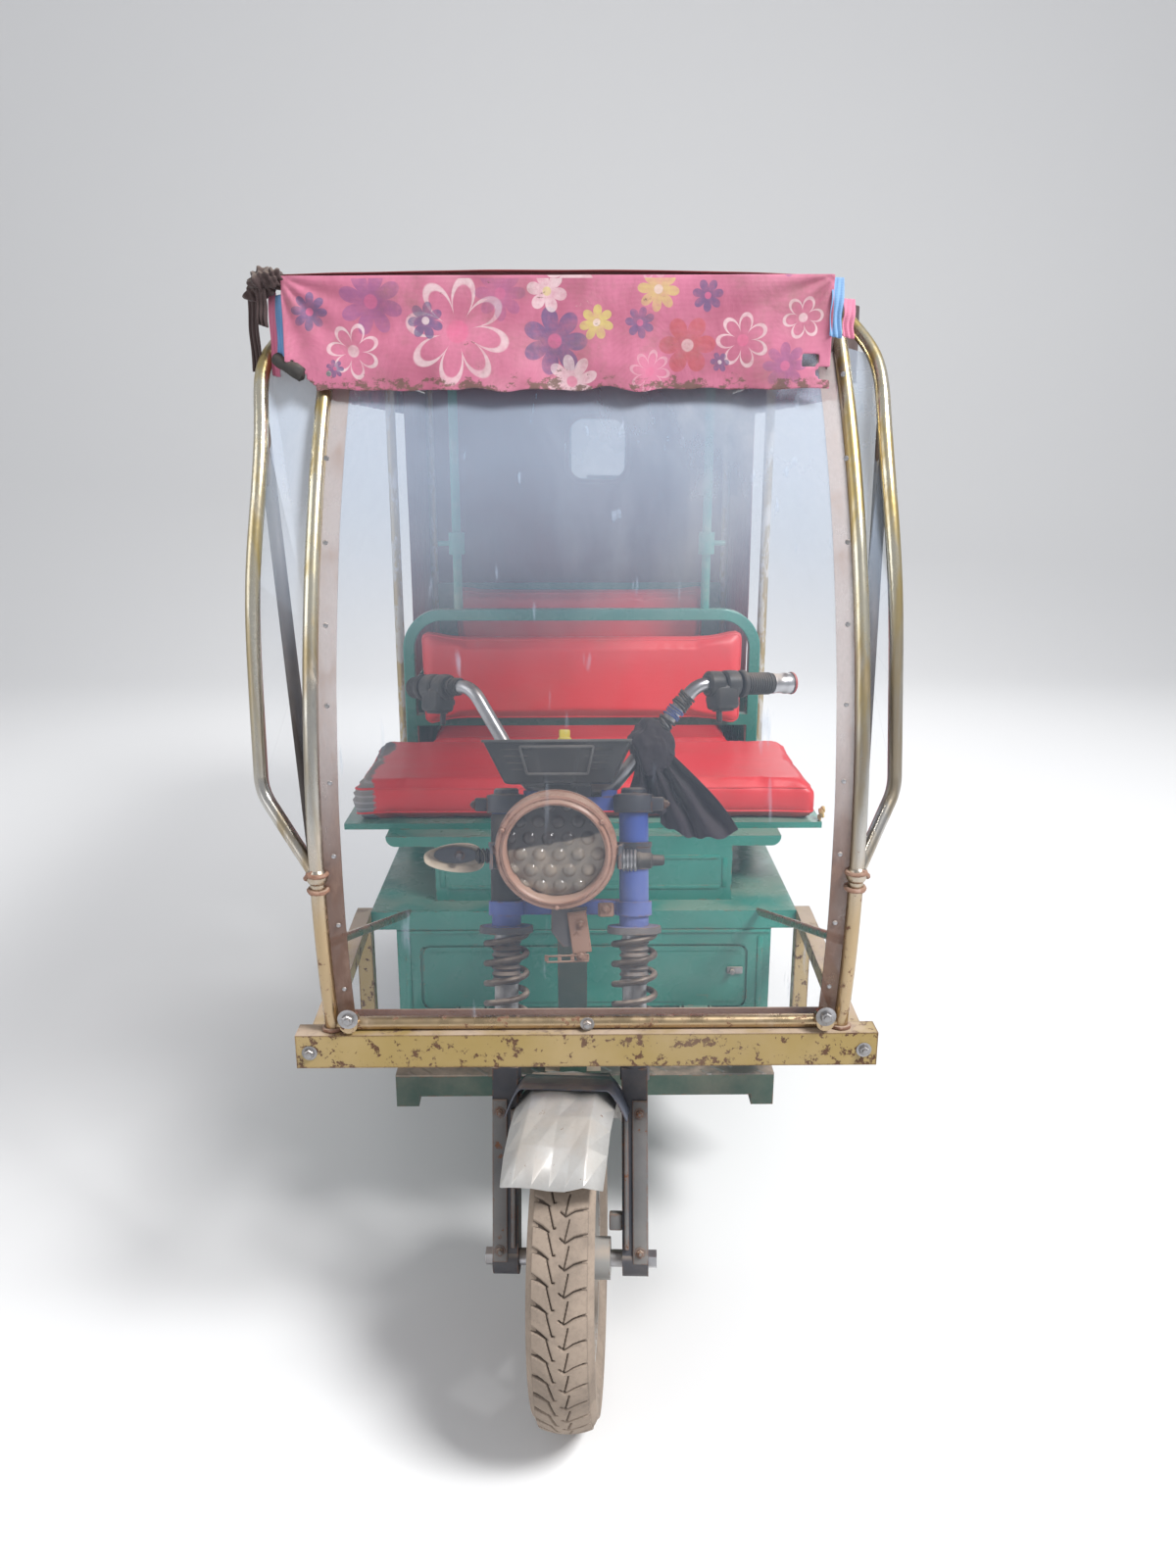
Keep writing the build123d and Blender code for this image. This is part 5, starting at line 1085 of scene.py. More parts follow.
# %% Meter housing
def housing():
    mesh = bmesh.new()
    for vert in block(mesh, (0.226, 0.096, 0.066)):
        if vert.co.z < 0:
            vert.co.x *= 0.72
            vert.co.y = vert.co.y * 0.72 + 0.008
    front = min(mesh.faces, key=lambda f: f.calc_center_median().y)
    bmesh.ops.subdivide_edges(mesh, edges=[e for e in front.edges if abs(e.verts[0].co.z - e.verts[1].co.z) < 0.01],
                              cuts=2, use_grid_fill=True)
    centre = min(mesh.faces, key=lambda f: f.calc_center_median().y + abs(f.calc_center_median().x))
    bmesh.ops.inset_region(mesh, faces=[centre], thickness=0.007)
    bmesh.ops.translate(mesh, verts=centre.verts, vec=(0, 0.004, 0))
    top = max(mesh.faces, key=lambda f: f.calc_center_median().z)
    bmesh.ops.inset_region(mesh, faces=[top], thickness=0.006)
    bmesh.ops.translate(mesh, verts=top.verts, vec=(0, 0, -0.004))
    rounded(mesh, mesh.edges[:], 0.003)
    for side in (-1, 1):
        for z, length in ((0.018, 0.046), (0.008, 0.038), (-0.002, 0.030), (-0.012, 0.022)):
            block(mesh, (length, 0.003, 0.0022), spot(side * 0.062, -0.0373 - 0.324 * z, z), 0.0008, 1)
        block(mesh, (0.030, 0.010, 0.008), spot(side * 0.035, -0.020, -0.034), 0.002)
    block(mesh, (0.05, 0.006, 0.02), spot(0, 0.030, -0.038), 0.001, 1)
    shell = piece("meter_housing", mesh, "meter_black", "steering", METER, sharp=35.0)
    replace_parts(shell, "dash_housing")


def front_frame():
    """A thin frame round the sunk panel, and a lip along the top edge, in a lighter grey that is a painted
    highlight.
    """
    mesh = bmesh.new()
    lean = Matrix.Translation((0, -0.0405, 0.002)) @ Matrix.Rotation(math.atan(0.324), 4, "X")
    for z, half in ((0.0215, 0.056), (-0.0215, 0.046)):
        block(mesh, (2 * half, 0.005, 0.0034), lean @ spot(0, 0, z), 0.0012, 2)
    for side in (-1, 1):
        block(mesh, (0.0034, 0.005, 0.044), lean @ spot(side * 0.051, 0, 0, side * 13.0, "Y"), 0.0012, 2)
    block(mesh, (0.228, 0.003, 0.004), spot(0, -0.0475, 0.0315), 0.0012, 2)
    piece("meter_frame", mesh, "meter_trim_painted_highlight", "steering", METER, sharp=35.0)


METER = fork @ spot(-0.013, -0.045, 0.776)
finishes["meter_black"] = moulded("meter_black", (0.012, 0.012, 0.013), (0.035, 0.034, 0.034), 0.3, 0.3, 40.0)
# The trim's lighter grey is a painted highlight along the housing's edges and panel outline.
finishes["meter_trim_painted_highlight"] = moulded("meter_trim_painted_highlight", (0.06, 0.058, 0.056), (0.11, 0.105, 0.10), 0.35, 0.3, 40.0)
housing()
front_frame()
print("meter housing built")

# %% Key and stand
mesh = bmesh.new()
stand = spot(-0.007, -0.010, 0.815)
spun(mesh, [(0.0, -0.006), (0.011, -0.006), (0.011, 0.000), (0.009, 0.002), (0.0, 0.002)], 24, fork @ stand)
block(mesh, (0.018, 0.006, 0.013), fork @ stand @ spot(0, 0, 0.008, 20), 0.0025)
finishes["key_cap"] = moulded("key_cap", (0.72, 0.55, 0.02), (0.80, 0.66, 0.10), 0.4, 0.3, 90.0)
piece("key", mesh, "key_cap", "steering")
mesh = bmesh.new()
block(mesh, (0.070, 0.005, 0.022), fork @ spot(0, -0.006, 0.734), 0.001, 1)
block(mesh, (0.070, 0.012, 0.004), fork @ spot(0, 0.002, 0.7255), 0.001, 1)
piece("meter_stand", mesh, "dark_steel", "steering")
print("key and stand built")

# %% [markdown]
# The two ends of the handlebar each carry a grip with a collar, a switch pod with its box, and tape.
# They are modelled along a line, outer end first, and a matrix lays that line on the bar's outer run.

# %% Along the handlebar
BAR_Y, SHOULDER_Z, TIP_Z = 0.0225, 0.902, 0.910
BAR_ENDS = {
    # half: shoulder x, tip x, how far the tip lies back, grip start, grip length, pod start
    "right": (-0.160, -0.273, 0.092, -0.004, 0.030, 0.034),
    "left": (0.203, 0.350, 0.074, 0.026, 0.056, 0.090),
}


def run_from(start, end):
    """A matrix whose z runs from start to end, with y up."""
    way = (end - start).normalized()
    side = Vector((0, 0, 1)).cross(way).normalized()
    return fork @ Matrix.Translation(start) @ Matrix((side, way.cross(side), way)).transposed().to_4x4()


def along_bar(half):
    shoulder, tip, sweep = BAR_ENDS[half][:3]
    return run_from(Vector((tip, BAR_Y + sweep, TIP_Z)), Vector((shoulder, BAR_Y, SHOULDER_Z)))


print("bar ends", {half: tuple(round(c, 3) for c in along_bar(half).to_translation()) for half in BAR_ENDS})

# %% [markdown]
# The grip is a spun sleeve with moulded rings. Its pod is a block with soft edges, dressed with a plate,
# a rocker, a button and a cable collar. The left end also has a steel sleeve past the rubber.

# %% Grips and pods
def grip(mesh, place, length):
    rings = []
    steps = int(length / 0.0055)
    for number in range(steps):
        z = 0.006 + (length - 0.012) * number / steps
        rings += [(0.0166, z), (0.0182, z + 0.0012), (0.0182, z + 0.0030), (0.0166, z + 0.0042)]
    spun(mesh, [(0.0118, 0.001), (0.0160, 0.002), (0.0172, 0.0045)] + rings +
         [(0.0172, length - 0.004), (0.0215, length - 0.003), (0.0222, length), (0.0222, length + 0.004),
          (0.0205, length + 0.006), (0.0120, length + 0.006)], 32, place)


def pod(mesh, place, start, half):
    """A switch pod: two shells round the bar, a box below with a plate, a rocker, a button and a cable collar."""
    for z, radius in ((start + 0.002, 0.0218), (start + 0.031, 0.0208)):
        spun(mesh, [(0.0122, z), (radius - 0.003, z), (radius, z + 0.003), (radius + 0.0006, z + 0.014),
                    (radius, z + 0.024), (radius - 0.003, z + 0.027), (0.0122, z + 0.027)], 28, place)
    block(mesh, (0.040, 0.040, 0.043), place @ spot(0.0, -0.021, start + 0.030), 0.0075, 4)
    block(mesh, (0.026, 0.004, 0.026), place @ spot(0.0, -0.042, start + 0.030), 0.0015, 2)
    front = 1 if half == "right" else -1
    block(mesh, (0.005, 0.012, 0.019), place @ spot(front * 0.0205, -0.020, start + 0.024, 12), 0.0018, 2)
    block(mesh, (0.004, 0.010, 0.010), place @ spot(front * 0.0203, -0.024, start + 0.044), 0.0018, 2)
    spun(mesh, [(0.0, 0.022), (0.004, 0.022), (0.0048, 0.018), (0.0048, 0.0)], 12,
         place @ spot(0.004, -0.040, start + 0.040) @ turned(90, "X"))


def wound(mesh, place, start, turns, pitch, radius, wire):
    """Turns of tape or wire wound round the bar, as separate slightly tilted rings."""
    for number in range(turns):
        tilt = Matrix.Rotation(chance.uniform(-0.22, 0.22), 4, "X")
        tilt = tilt @ Matrix.Rotation(chance.uniform(-0.15, 0.15), 4, "Y")
        grown = radius + wire * chance.uniform(-0.2, 0.35)
        spun(mesh, bead_ring(grown, wire, 6), 18, place @ spot(0, 0, start + pitch * number) @ tilt, closed=True)


for half in ("right", "left"):
    mesh = bmesh.new()
    place = along_bar(half)
    grip_start, grip_length, pod_start = BAR_ENDS[half][3:]
    grip(mesh, place @ spot(0, 0, grip_start), grip_length)
    piece(f"grip_{half}", mesh, "grip", "steering")
    mesh = bmesh.new()
    pod(mesh, place, pod_start, half)
    shell = piece(f"switch_pod_{half}", mesh, "black_plastic", "steering", sharp=35.0)
    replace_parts(shell, "bar_grips")
mesh = bmesh.new()
slope = run_from(Vector((0.203, BAR_Y, SHOULDER_Z)), Vector((0.062, BAR_Y, 0.734)))
for start, count in ((0.024, 6), (0.074, 4)):
    wound(mesh, slope, start, count, 0.0042, 0.0128, 0.0022)
wound(mesh, along_bar("right"), 0.098, 5, 0.0045, 0.0128, 0.0022)
piece("bar_tape", mesh, "black_plastic", "steering")
mesh = bmesh.new()
wound(mesh, slope, 0.052, 5, 0.0036, 0.0130, 0.0015)
wound(mesh, slope, 0.093, 2, 0.0036, 0.0128, 0.0015)
finishes["wire_blue"] = moulded("wire_blue", (0.03, 0.07, 0.26), (0.08, 0.13, 0.30), 0.5, 0.5, 300.0)
piece("bar_wire", mesh, "wire_blue", "steering")
mesh = bmesh.new()
spun(mesh, [(0.0112, -0.012), (0.0160, -0.012), (0.0172, -0.010), (0.0172, 0.004), (0.0160, 0.006), (0.0160, 0.020),
            (0.0168, 0.022), (0.0168, 0.027), (0.0112, 0.027)], 28, along_bar("left"))
piece("bar_end_sleeve", mesh, "zinc", "steering")
mesh = bmesh.new()
spun(mesh, [(0.0112, -0.0135), (0.0150, -0.0142), (0.0180, -0.0130), (0.0186, -0.0110), (0.0182, -0.0090)], 28,
     along_bar("left"))
finishes["red_ring"] = moulded("red_ring", (0.30, 0.035, 0.035), (0.36, 0.09, 0.08), 0.5, 0.5, 300.0)
piece("bar_end_ring", mesh, "red_ring", "steering")
print("bar dressed")

# %% [markdown]
# The rag is an old dark cloth knotted round the bar. The knot is a squashed ball pushed about by noise,
# and its two tails are strips of cloth, folded lengthwise in deep pleats that open as they hang.

# %% Rag
def knot():
    mesh = bmesh.new()
    bmesh.ops.create_icosphere(mesh, subdivisions=5, radius=1.0)
    for vert in mesh.verts:
        way = vert.co.normalized()
        wrap = math.sin(way.x * 9 + 2.5 * noise.noise(way * 1.7)) * 0.055
        lump = 0.22 * noise.noise(way * 1.9 + Vector((3, 1, 0))) + 0.05 * noise.noise(way * 6)
        vert.co = way * (1 + wrap + lump)
    bmesh.ops.scale(mesh, vec=(0.036, 0.027, 0.047), verts=mesh.verts)
    turn = turned(-12, "Y")
    ball = piece("rag_knot", mesh, "rag", "steering", fork @ spot(0.128, 0.0200, 0.800) @ turn, sharp=180.0)
    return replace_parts(ball, "rag")


def rag_tail(name, start, end, wide, pleats, deep, phase):
    """A strip of cloth gathered at its start and opening a little towards its end."""
    mesh = bmesh.new()
    bmesh.ops.create_grid(mesh, x_segments=64, y_segments=44, size=0.5)
    line = Vector(end) - Vector(start)
    for vert in mesh.verts:
        u, v = vert.co.x + 0.5, vert.co.y + 0.5
        spread = wide * (0.42 + 0.58 * v ** 0.8)
        swing = 0.010 * math.sin(3.0 * v + phase) * v
        pleat = math.sin(math.tau * pleats * u + phase + 1.2 * noise.noise(Vector((u * 3, v * 2, phase))))
        fold = deep * pleat * (1.0 - 0.35 * v) + 0.008 * noise.noise(Vector((u * 4, v * 5, phase)))
        ragged = (0.014 * noise.noise(Vector((u * 7, phase, 0))) - 0.045 * (u - 0.62) ** 2) * v ** 4
        base = Vector(start) + line * (v + ragged * 4)
        vert.co = base + Vector((spread * (u - 0.5) + swing, fold, 0.016 * (abs(u - 0.5) * 2) ** 2 * v))
    tail = piece(name, mesh, "rag", "steering", fork, sharp=180.0)
    return modify(thicken(tail, 0.0016), "SUBSURF", levels=1)


knot()
tail = rag_tail("rag_tail", (0.134, 0.0180, 0.792), (0.210, 0.0200, 0.655), 0.118, 2.6, 0.0170, 0.4)
short = rag_tail("rag_corner", (0.122, 0.0180, 0.785), (0.142, 0.0180, 0.695), 0.084, 2.2, 0.0140, 2.1)
print("rag areas", round(area_of(tail), 4), round(area_of(short), 4))

# %% [markdown]
# Bolts, nuts and welds tell the eye how big a thing is. A hexagon head is a six-sided cone with its top
# corners turned off, on a washer. Each bolt is placed by the matrix of the face that it sits on.

# %% Bolts
def bolt(mesh, place, radius=0.0075, height=0.0055, washer=1.5):
    """A hexagon head standing on z = 0, with its washer."""
    spun(mesh, [(0.0, 0.0012), (radius * washer, 0.0012), (radius * washer, 0.0), (0.0, 0.0)], 20, place)
    head = bmesh.ops.create_cone(mesh, cap_ends=True, segments=6, radius1=radius, radius2=radius,
                                 depth=height)["verts"]
    edges = list({e for v in head for e in v.link_edges if all(w.co.z > 0 for w in e.verts)})
    bmesh.ops.translate(mesh, verts=head, vec=(0, 0, 0.0012 + height / 2))
    made = rounded(mesh, edges, radius * 0.14, 1)
    whole = {v for v in head if v.is_valid} | set(made)
    spun(mesh, [(0.0, height + 0.004), (radius * 0.5, height + 0.0035), (radius * 0.55, height)], 12, place)
    bmesh.ops.transform(mesh, matrix=place, verts=list(whole))


def facing(direction, *centre):
    """A matrix whose z points in the direction, at the centre."""
    return Matrix.Translation(centre) @ Vector(direction).to_track_quat("Z", "Y").to_matrix().to_4x4()


print("bolts ready")

# %% [markdown]
# On the fork, the top yoke is closed by dark clamps with cross bolts and the tubes end in capped nuts. A
# black sleeve on the right tube is painted shade, standing where that tube lies in shadow. Ribbed gaiters
# close the tubes above the springs' lower ends.

# %% Fork hardware
mesh = bmesh.new()
for side in (-1, 1):
    x = side * TUBE_X
    spun(mesh, [(0.0282, 0.698), (0.0310, 0.699), (0.0318, 0.704), (0.0318, 0.722), (0.0305, 0.7265),
                (0.0200, 0.7285), (0.0195, 0.7345), (0.0165, 0.7375), (0.0, 0.7380)], 36, fork @ spot(x, 0, 0))
    block(mesh, (0.024, 0.018, 0.022), fork @ spot(x + side * 0.036, -0.006, 0.7115), 0.003, 2)
    bolt(mesh, fork @ facing((side, 0, 0), x + side * 0.048, -0.006, 0.7115), 0.0062, 0.005)
    spun(mesh, [(0.0240, 0.5595), (0.0415, 0.5600), (0.0425, 0.5560), (0.0425, 0.5500), (0.0410, 0.5490)], 40,
         fork @ spot(x, 0, -0.040))
    for z in (0.660, 0.635):
        spun(mesh, [(0.0272, z - 0.004), (0.0285, z - 0.0035), (0.0285, z + 0.0035), (0.0272, z + 0.004)], 36,
             fork @ spot(x, 0, -0.012))
for x in (-0.045, 0.045):
    bolt(mesh, fork @ facing((0, 0, 1), x, 0.018, 0.7232), 0.0075)
spun(mesh, [(0.0, 0.742), (0.014, 0.742), (0.0175, 0.738), (0.0175, 0.7232)], 24, fork @ spot(0, 0.045, 0))
piece("fork_clamps", mesh, "dark_steel", "steering", sharp=35.0)
# A black sleeve as painted shade on the right tube, which lies in shadow.
mesh = bmesh.new()
spun(mesh, [(0.0232, 0.560), (0.0244, 0.562), (0.0247, 0.600), (0.0241, 0.640), (0.0246, 0.694), (0.0232, 0.697)],
     36, fork @ spot(-TUBE_X, 0, 0))
piece("fork_painted_shade_sleeve", mesh, "grip", "steering", sharp=60.0)
mesh = bmesh.new()
for side in (-1, 1):
    gaiter = [(0.0195, 0.500), (0.0215, 0.498)]
    for number in range(7):
        z = 0.494 - 0.010 * number
        gaiter += [(0.0235, z), (0.0200, z - 0.005)]
    spun(mesh, gaiter, 32, fork @ spot(side * TUBE_X, 0, 0))
piece("fork_gaiters", mesh, "dark_steel", "steering", sharp=60.0)
print("fork dressed")

# %% [markdown]
# The right signal has lost its lens, so the open housing shows: a beige rim round a grey bowl with the
# bulb in it. A circle is scaled, pinched towards its tip, drawn back and hollowed by an inset. Of the
# left signal only the ribbed stub is left.

# %% Turn signals
SIGNAL = fork @ spot(-0.169, -0.0894, 0.630) @ level


def signal_shell():
    mesh = bmesh.new()
    bmesh.ops.create_circle(mesh, cap_ends=True, segments=40, radius=1.0)
    for vert in mesh.verts:
        x, y = vert.co.x, vert.co.y
        bulge = abs(y) ** 0.72 * (1 if y > 0 else -1)
        vert.co = (0.047 * x, 0, 0.0225 * bulge * (1.0 + 0.22 * x))
    front = mesh.faces[:]
    ring = bmesh.ops.extrude_face_region(mesh, geom=front, use_keep_orig=True)["geom"]
    back = only(bmesh.types.BMVert, ring)
    bmesh.ops.translate(mesh, verts=back, vec=(0, 0.026, 0))
    bmesh.ops.scale(mesh, vec=(0.78, 1, 0.70), verts=back)
    bmesh.ops.recalc_face_normals(mesh, faces=mesh.faces)
    open_face = min(mesh.faces, key=lambda f: f.calc_center_median().y - (0.5 if len(f.verts) > 4 else 0))
    bmesh.ops.inset_region(mesh, faces=[open_face], thickness=0.0032)
    bmesh.ops.translate(mesh, verts=open_face.verts, vec=(0, 0.018, 0))
    bmesh.ops.scale(mesh, vec=(0.9, 1, 0.85), verts=open_face.verts)
    rounded(mesh, [e for e in mesh.edges if e.calc_length() > 0 and e.calc_face_angle(0) > 0.9], 0.0011)
    return mesh


shell = piece("signal_housing", signal_shell(), "signal", "steering", SIGNAL, sharp=50.0)
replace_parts(shell, "turn_signal")
mesh = bmesh.new()
dish = bmesh.ops.create_circle(mesh, cap_ends=True, segments=32, radius=1.0)["verts"]
bmesh.ops.scale(mesh, vec=(0.034, 0.0135, 1), verts=dish)
bmesh.ops.transform(mesh, matrix=spot(0, 0.0115, 0, 90, "X"), verts=dish)
bmesh.ops.inset_region(mesh, faces=mesh.faces[:], thickness=0.004)
sunk = list({v for f in mesh.faces if len(f.verts) > 4 for v in f.verts})
bmesh.ops.translate(mesh, verts=sunk, vec=(0, 0.004, 0))
spun(mesh, [(0.0, 0.016), (0.004, 0.0145), (0.0055, 0.010), (0.004, 0.004), (0.0062, 0.003), (0.0062, -0.006)], 16,
     spot(0.006, 0.010, 0, 90, "X") @ spot(0, 0, -0.006))
piece("signal_reflector", mesh, "dark_steel", "steering", SIGNAL)
mesh = bmesh.new()
ribs = []
for number in range(6):
    x = 0.034 + 0.0062 * number
    ribs += [(0.0085, x), (0.0118, x + 0.0012), (0.0118, x + 0.0036), (0.0085, x + 0.0048)]
spun(mesh, [(0.0, 0.032), (0.0085, 0.032)] + ribs + [(0.0085, 0.088), (0.0, 0.088)], 24,
     SIGNAL @ spot(0, 0.012, 0) @ TO_X)
stub = fork @ spot(0.0815, -0.0894, 0.627) @ level @ TO_X
spun(mesh, [(0.0, 0.026), (0.0125, 0.026), (0.0135, 0.030), (0.0115, 0.034), (0.0120, 0.047), (0.0085, 0.050),
            (0.0078, 0.064), (0.0055, 0.067), (0.0, 0.0675)], 24, stub)
piece("signal_stalks", mesh, "grip", "steering", sharp=35.0)
mesh = bmesh.new()
ribs = [(r, x) for k in range(4) for r, x in ((0.0135, 0.004 + 0.0056 * k), (0.0168, 0.0055 + 0.0056 * k),
                                              (0.0168, 0.0080 + 0.0056 * k), (0.0135, 0.0090 + 0.0056 * k))]
spun(mesh, [(0.0, 0.001), (0.0135, 0.001)] + ribs + [(0.0, 0.0275)], 28, stub)
piece("signal_stub_ring", mesh, "zinc", "steering", sharp=35.0)
print("signals made")

# %% [markdown]
# Each leg has a worn flat plate riveted on its face, and the left one a small block beside the wheel.
# Under the lamp hangs what is left of the horn bracket: a rusty bent plate and a slotted strip bolted to
# it, leaning a little.

# %% Horn bracket
finishes["worn_plate"] = worn_paint("worn_plate", (0.10, 0.10, 0.105), (0.22, 0.215, 0.21), 1.8, 0.9, 0.5)
mesh = bmesh.new()
for side in (-1, 1):
    block(mesh, (0.0235, 0.004, 0.252), fork @ spot(side * 0.1090, -0.0248, 0.126), 0.0016, 2)
    block(mesh, (0.007, 0.008, 0.215), fork @ spot(side * 0.0880, -0.0255, 0.130), 0.002, 2)
    for z in (0.018, 0.232):
        bolt(mesh, fork @ facing((0, -1, 0), side * 0.109, -0.0268, z), 0.0055, 0.004)
block(mesh, (0.021, 0.020, 0.026), fork @ spot(0.0710, -0.010, 0.062), 0.003, 2)
piece("leg_plates", mesh, "worn_plate", "steering", sharp=35.0)
finishes["rusty_steel"] = worn_paint("rusty_steel", (0.20, 0.10, 0.065), (0.30, 0.16, 0.11), 1.6, 0.6, 0.6)
mesh = bmesh.new()
lean = fork @ spot(0.012, -0.034, 0.505, -8, "Y")
block(mesh, (0.030, 0.003, 0.062), lean @ spot(0.006, 0, 0.006), 0.001, 1)
block(mesh, (0.030, 0.020, 0.003), lean @ spot(0.006, 0.009, 0.038), 0.001, 1)
for z in (-0.0045, 0.0045):
    block(mesh, (0.066, 0.003, 0.0030), lean @ spot(-0.018, -0.004, -0.030 + z, 6, "Y"), 0.0008, 1)
for x in (-0.050, -0.030, -0.010, 0.013):
    block(mesh, (0.006, 0.003, 0.010), lean @ spot(x, -0.004, -0.030 - x * 0.1, 6, "Y"), 0.0008, 1)
bolt(mesh, lean @ facing((0, -1, 0), 0.004, -0.0055, -0.029), 0.0055, 0.004)
bolt(mesh, lean @ facing((0, -1, 0), 0.010, -0.0015, 0.020), 0.0055, 0.004)
block(mesh, (0.024, 0.014, 0.022), fork @ spot(0.058, -0.030, 0.548, 20), 0.003, 2)
bolt(mesh, fork @ facing((0, -1, 0), 0.058, -0.037, 0.550), 0.0062, 0.005)
piece("horn_bracket", mesh, "rusty_steel", "steering", sharp=35.0)
print("bracket made")

# %% [markdown]
# Welds on this vehicle are thick and lumpy. A bead is a ring round the joint whose points are pushed
# about by noise, and its finish is rusty. A thin sleeve gives the inner struts their dark paint.

# %% Welds
def weld(mesh, place, radius, bead=0.0035):
    made = spun(mesh, bead_ring(radius, bead, 8), 44, closed=True)
    for vert in made:
        vert.co *= 1 + 0.10 * noise.noise(vert.co * 260)
    bmesh.ops.transform(mesh, matrix=place, verts=made)


def between(start, end):
    """A matrix at start whose z points to end."""
    return facing(end - start, *start)


mesh = bmesh.new()
for side in (-1, 1):
    joint = at(side * 0.3727, -0.0428, 0.891)
    for end in (at(side * 0.372, -0.0202, 0.700), at(side * 0.369, -0.0490, 1.010), at(side * 0.445, 0.016, 1.005)):
        weld(mesh, between(joint, end) @ spot(0, 0, 0.012), 0.0125)
    weld(mesh, facing((0, 0, 1), *at(side * 0.372, -0.010, 0.652)), 0.0125)
    weld(mesh, facing((side, 0, 0), *at(side * 0.351, -0.010, 0.659)), 0.0115, 0.003)
    weld(mesh, facing((0, 1, 0), *at(side * 0.400, 0.007, 0.614)), 0.020, 0.004)
piece("frame_welds", mesh, "rusty_steel", "chassis")
mesh = bmesh.new()
for side, top in ((-1, 0.439), (1, 0.405)):
    foot, head = at(side * 0.373, -0.0424, 0.892), at(side * top, 0.098, 1.510)
    length = (head - foot).length
    spun(mesh, [(0.0080, 0.022), (0.0092, 0.023), (0.0092, length - 0.012), (0.0080, length - 0.011)], 28,
         between(foot, head))
finishes["strut_paint"] = worn_paint("strut_paint", (0.020, 0.014, 0.013), (0.06, 0.038, 0.03), 1.2, 0.6, 0.5)
piece("strut_paint", mesh, "strut_paint", "chassis", sharp=60.0)
print("welds and dark struts made")

# %% [markdown]
# The sill pipe is held by bolts with large washers through short caps, and the edging strips by small
# rivets. A thin angle strip lies along the beam, and its edge shows behind the pipe.

# %% Screen hardware
def inner_pipe(side, z):
    """The middle of an inner windscreen pipe at a height, on its three-point bow."""
    up, curve = z - 0.649, (z - 0.649) * (z - 1.100)
    return at(side * (0.372 - 0.00985 * up - 0.0174 * curve), -0.010 - 0.0816 * up + 0.2939 * curve, z)


mesh = bmesh.new()
for side in (-1, 1):
    bolt(mesh, facing((0, -1, 0), *at(side * 0.345, -0.034, 0.677)), 0.0085, 0.0065, 1.75)
    bolt(mesh, facing((0, -1, 0), *at(side * 0.404, -0.0312, 0.622)), 0.0075, 0.0055)
bolt(mesh, facing((0, -1, 0), *at(0.0, -0.0202, 0.6605)), 0.0065, 0.005, 1.6)
piece("sill_bolts", mesh, "zinc", "chassis", sharp=35.0)
mesh = bmesh.new()
for side in (-1, 1):
    for number in range(9):
        z = 0.72 + 0.105 * number
        place = inner_pipe(side, z) + Vector((-side * 0.0225, -0.0005, 0))
        spun(mesh, [(0.0, 0.0022), (0.0026, 0.0016), (0.0036, 0.0)], 10, facing((0, -1, 0), *place))
piece("strip_rivets", mesh, "zinc", "chassis")
mesh = bmesh.new()
block(mesh, (0.700, 0.003, 0.022), placed(0, 0.0068, 0.661), 0.001, 1)
block(mesh, (0.700, 0.018, 0.003), placed(0, -0.004, 0.6508), 0.001, 1)
piece("beam_angle", mesh, "rusty_steel", "chassis")
print("pipe at 1.1", tuple(round(c, 3) for c in inner_pipe(1, 1.1)))

# %% [markdown]
# The driver's box is folded sheet. Behind the door runs a flange that stops it. The box has pressed
# ribs, and a small latch holds the door.

# %% Box details
mesh = bmesh.new()
for z in (0.424, 0.560):
    block(mesh, (0.640, 0.0015, 0.020), placed(0, 0.4995, z))
for x in (-0.314, 0.314):
    block(mesh, (0.020, 0.0015, 0.150), placed(x, 0.4995, 0.492))
for z, y, deep in ((0.586, 0.4938, 0.004), (0.400, 0.4938, 0.003)):
    block(mesh, (0.708, deep, 0.006), placed(0, y, z), 0.0012, 2)
for x in (-0.335, 0.335):
    block(mesh, (0.010, 0.003, 0.165), placed(x, 0.4942, 0.492), 0.0012, 2)
for z in (0.655, 0.716):
    block(mesh, (0.520, 0.003, 0.008), placed(0, 0.5474, z), 0.0012, 2)
for x in (0.270, -0.270):
    block(mesh, (0.010, 0.003, 0.060), placed(x, 0.5474, 0.685), 0.0012, 2)
piece("box_ribs", mesh, "teal_paint", "chassis", sharp=35.0)
mesh = bmesh.new()
bmesh.ops.create_grid(mesh, x_segments=1, y_segments=1, size=0.5)
bmesh.ops.scale(mesh, vec=(0.590, 0.104, 1), verts=mesh.verts)
bmesh.ops.inset_region(mesh, faces=mesh.faces[:], thickness=0.004, depth=0.0016)
rounded(mesh, [e for e in mesh.edges if not e.is_boundary], 0.0008)
piece("door_panel", mesh, "teal_paint", "box_door", placed(0, 0.4948, 0.492) @ turned(90, "X"), sharp=35.0)
mesh = bmesh.new()
block(mesh, (0.030, 0.004, 0.014), placed(0.288, 0.4905, 0.506), 0.0015, 2)
spun(mesh, [(0.0, 0.012), (0.005, 0.011), (0.0055, 0.006), (0.0035, 0.003), (0.0035, 0.0)], 16,
     facing((0, -1, 0), *at(0.282, 0.4905, 0.506)))
piece("door_latch", mesh, "zinc", "box_door", sharp=35.0)
print("box dressed")

# %% [markdown]
# At the left end the seat cover has split and the yellow foam shows through. Small lumps of foam, pushed
# about by noise, stand just proud of the cover's corner.

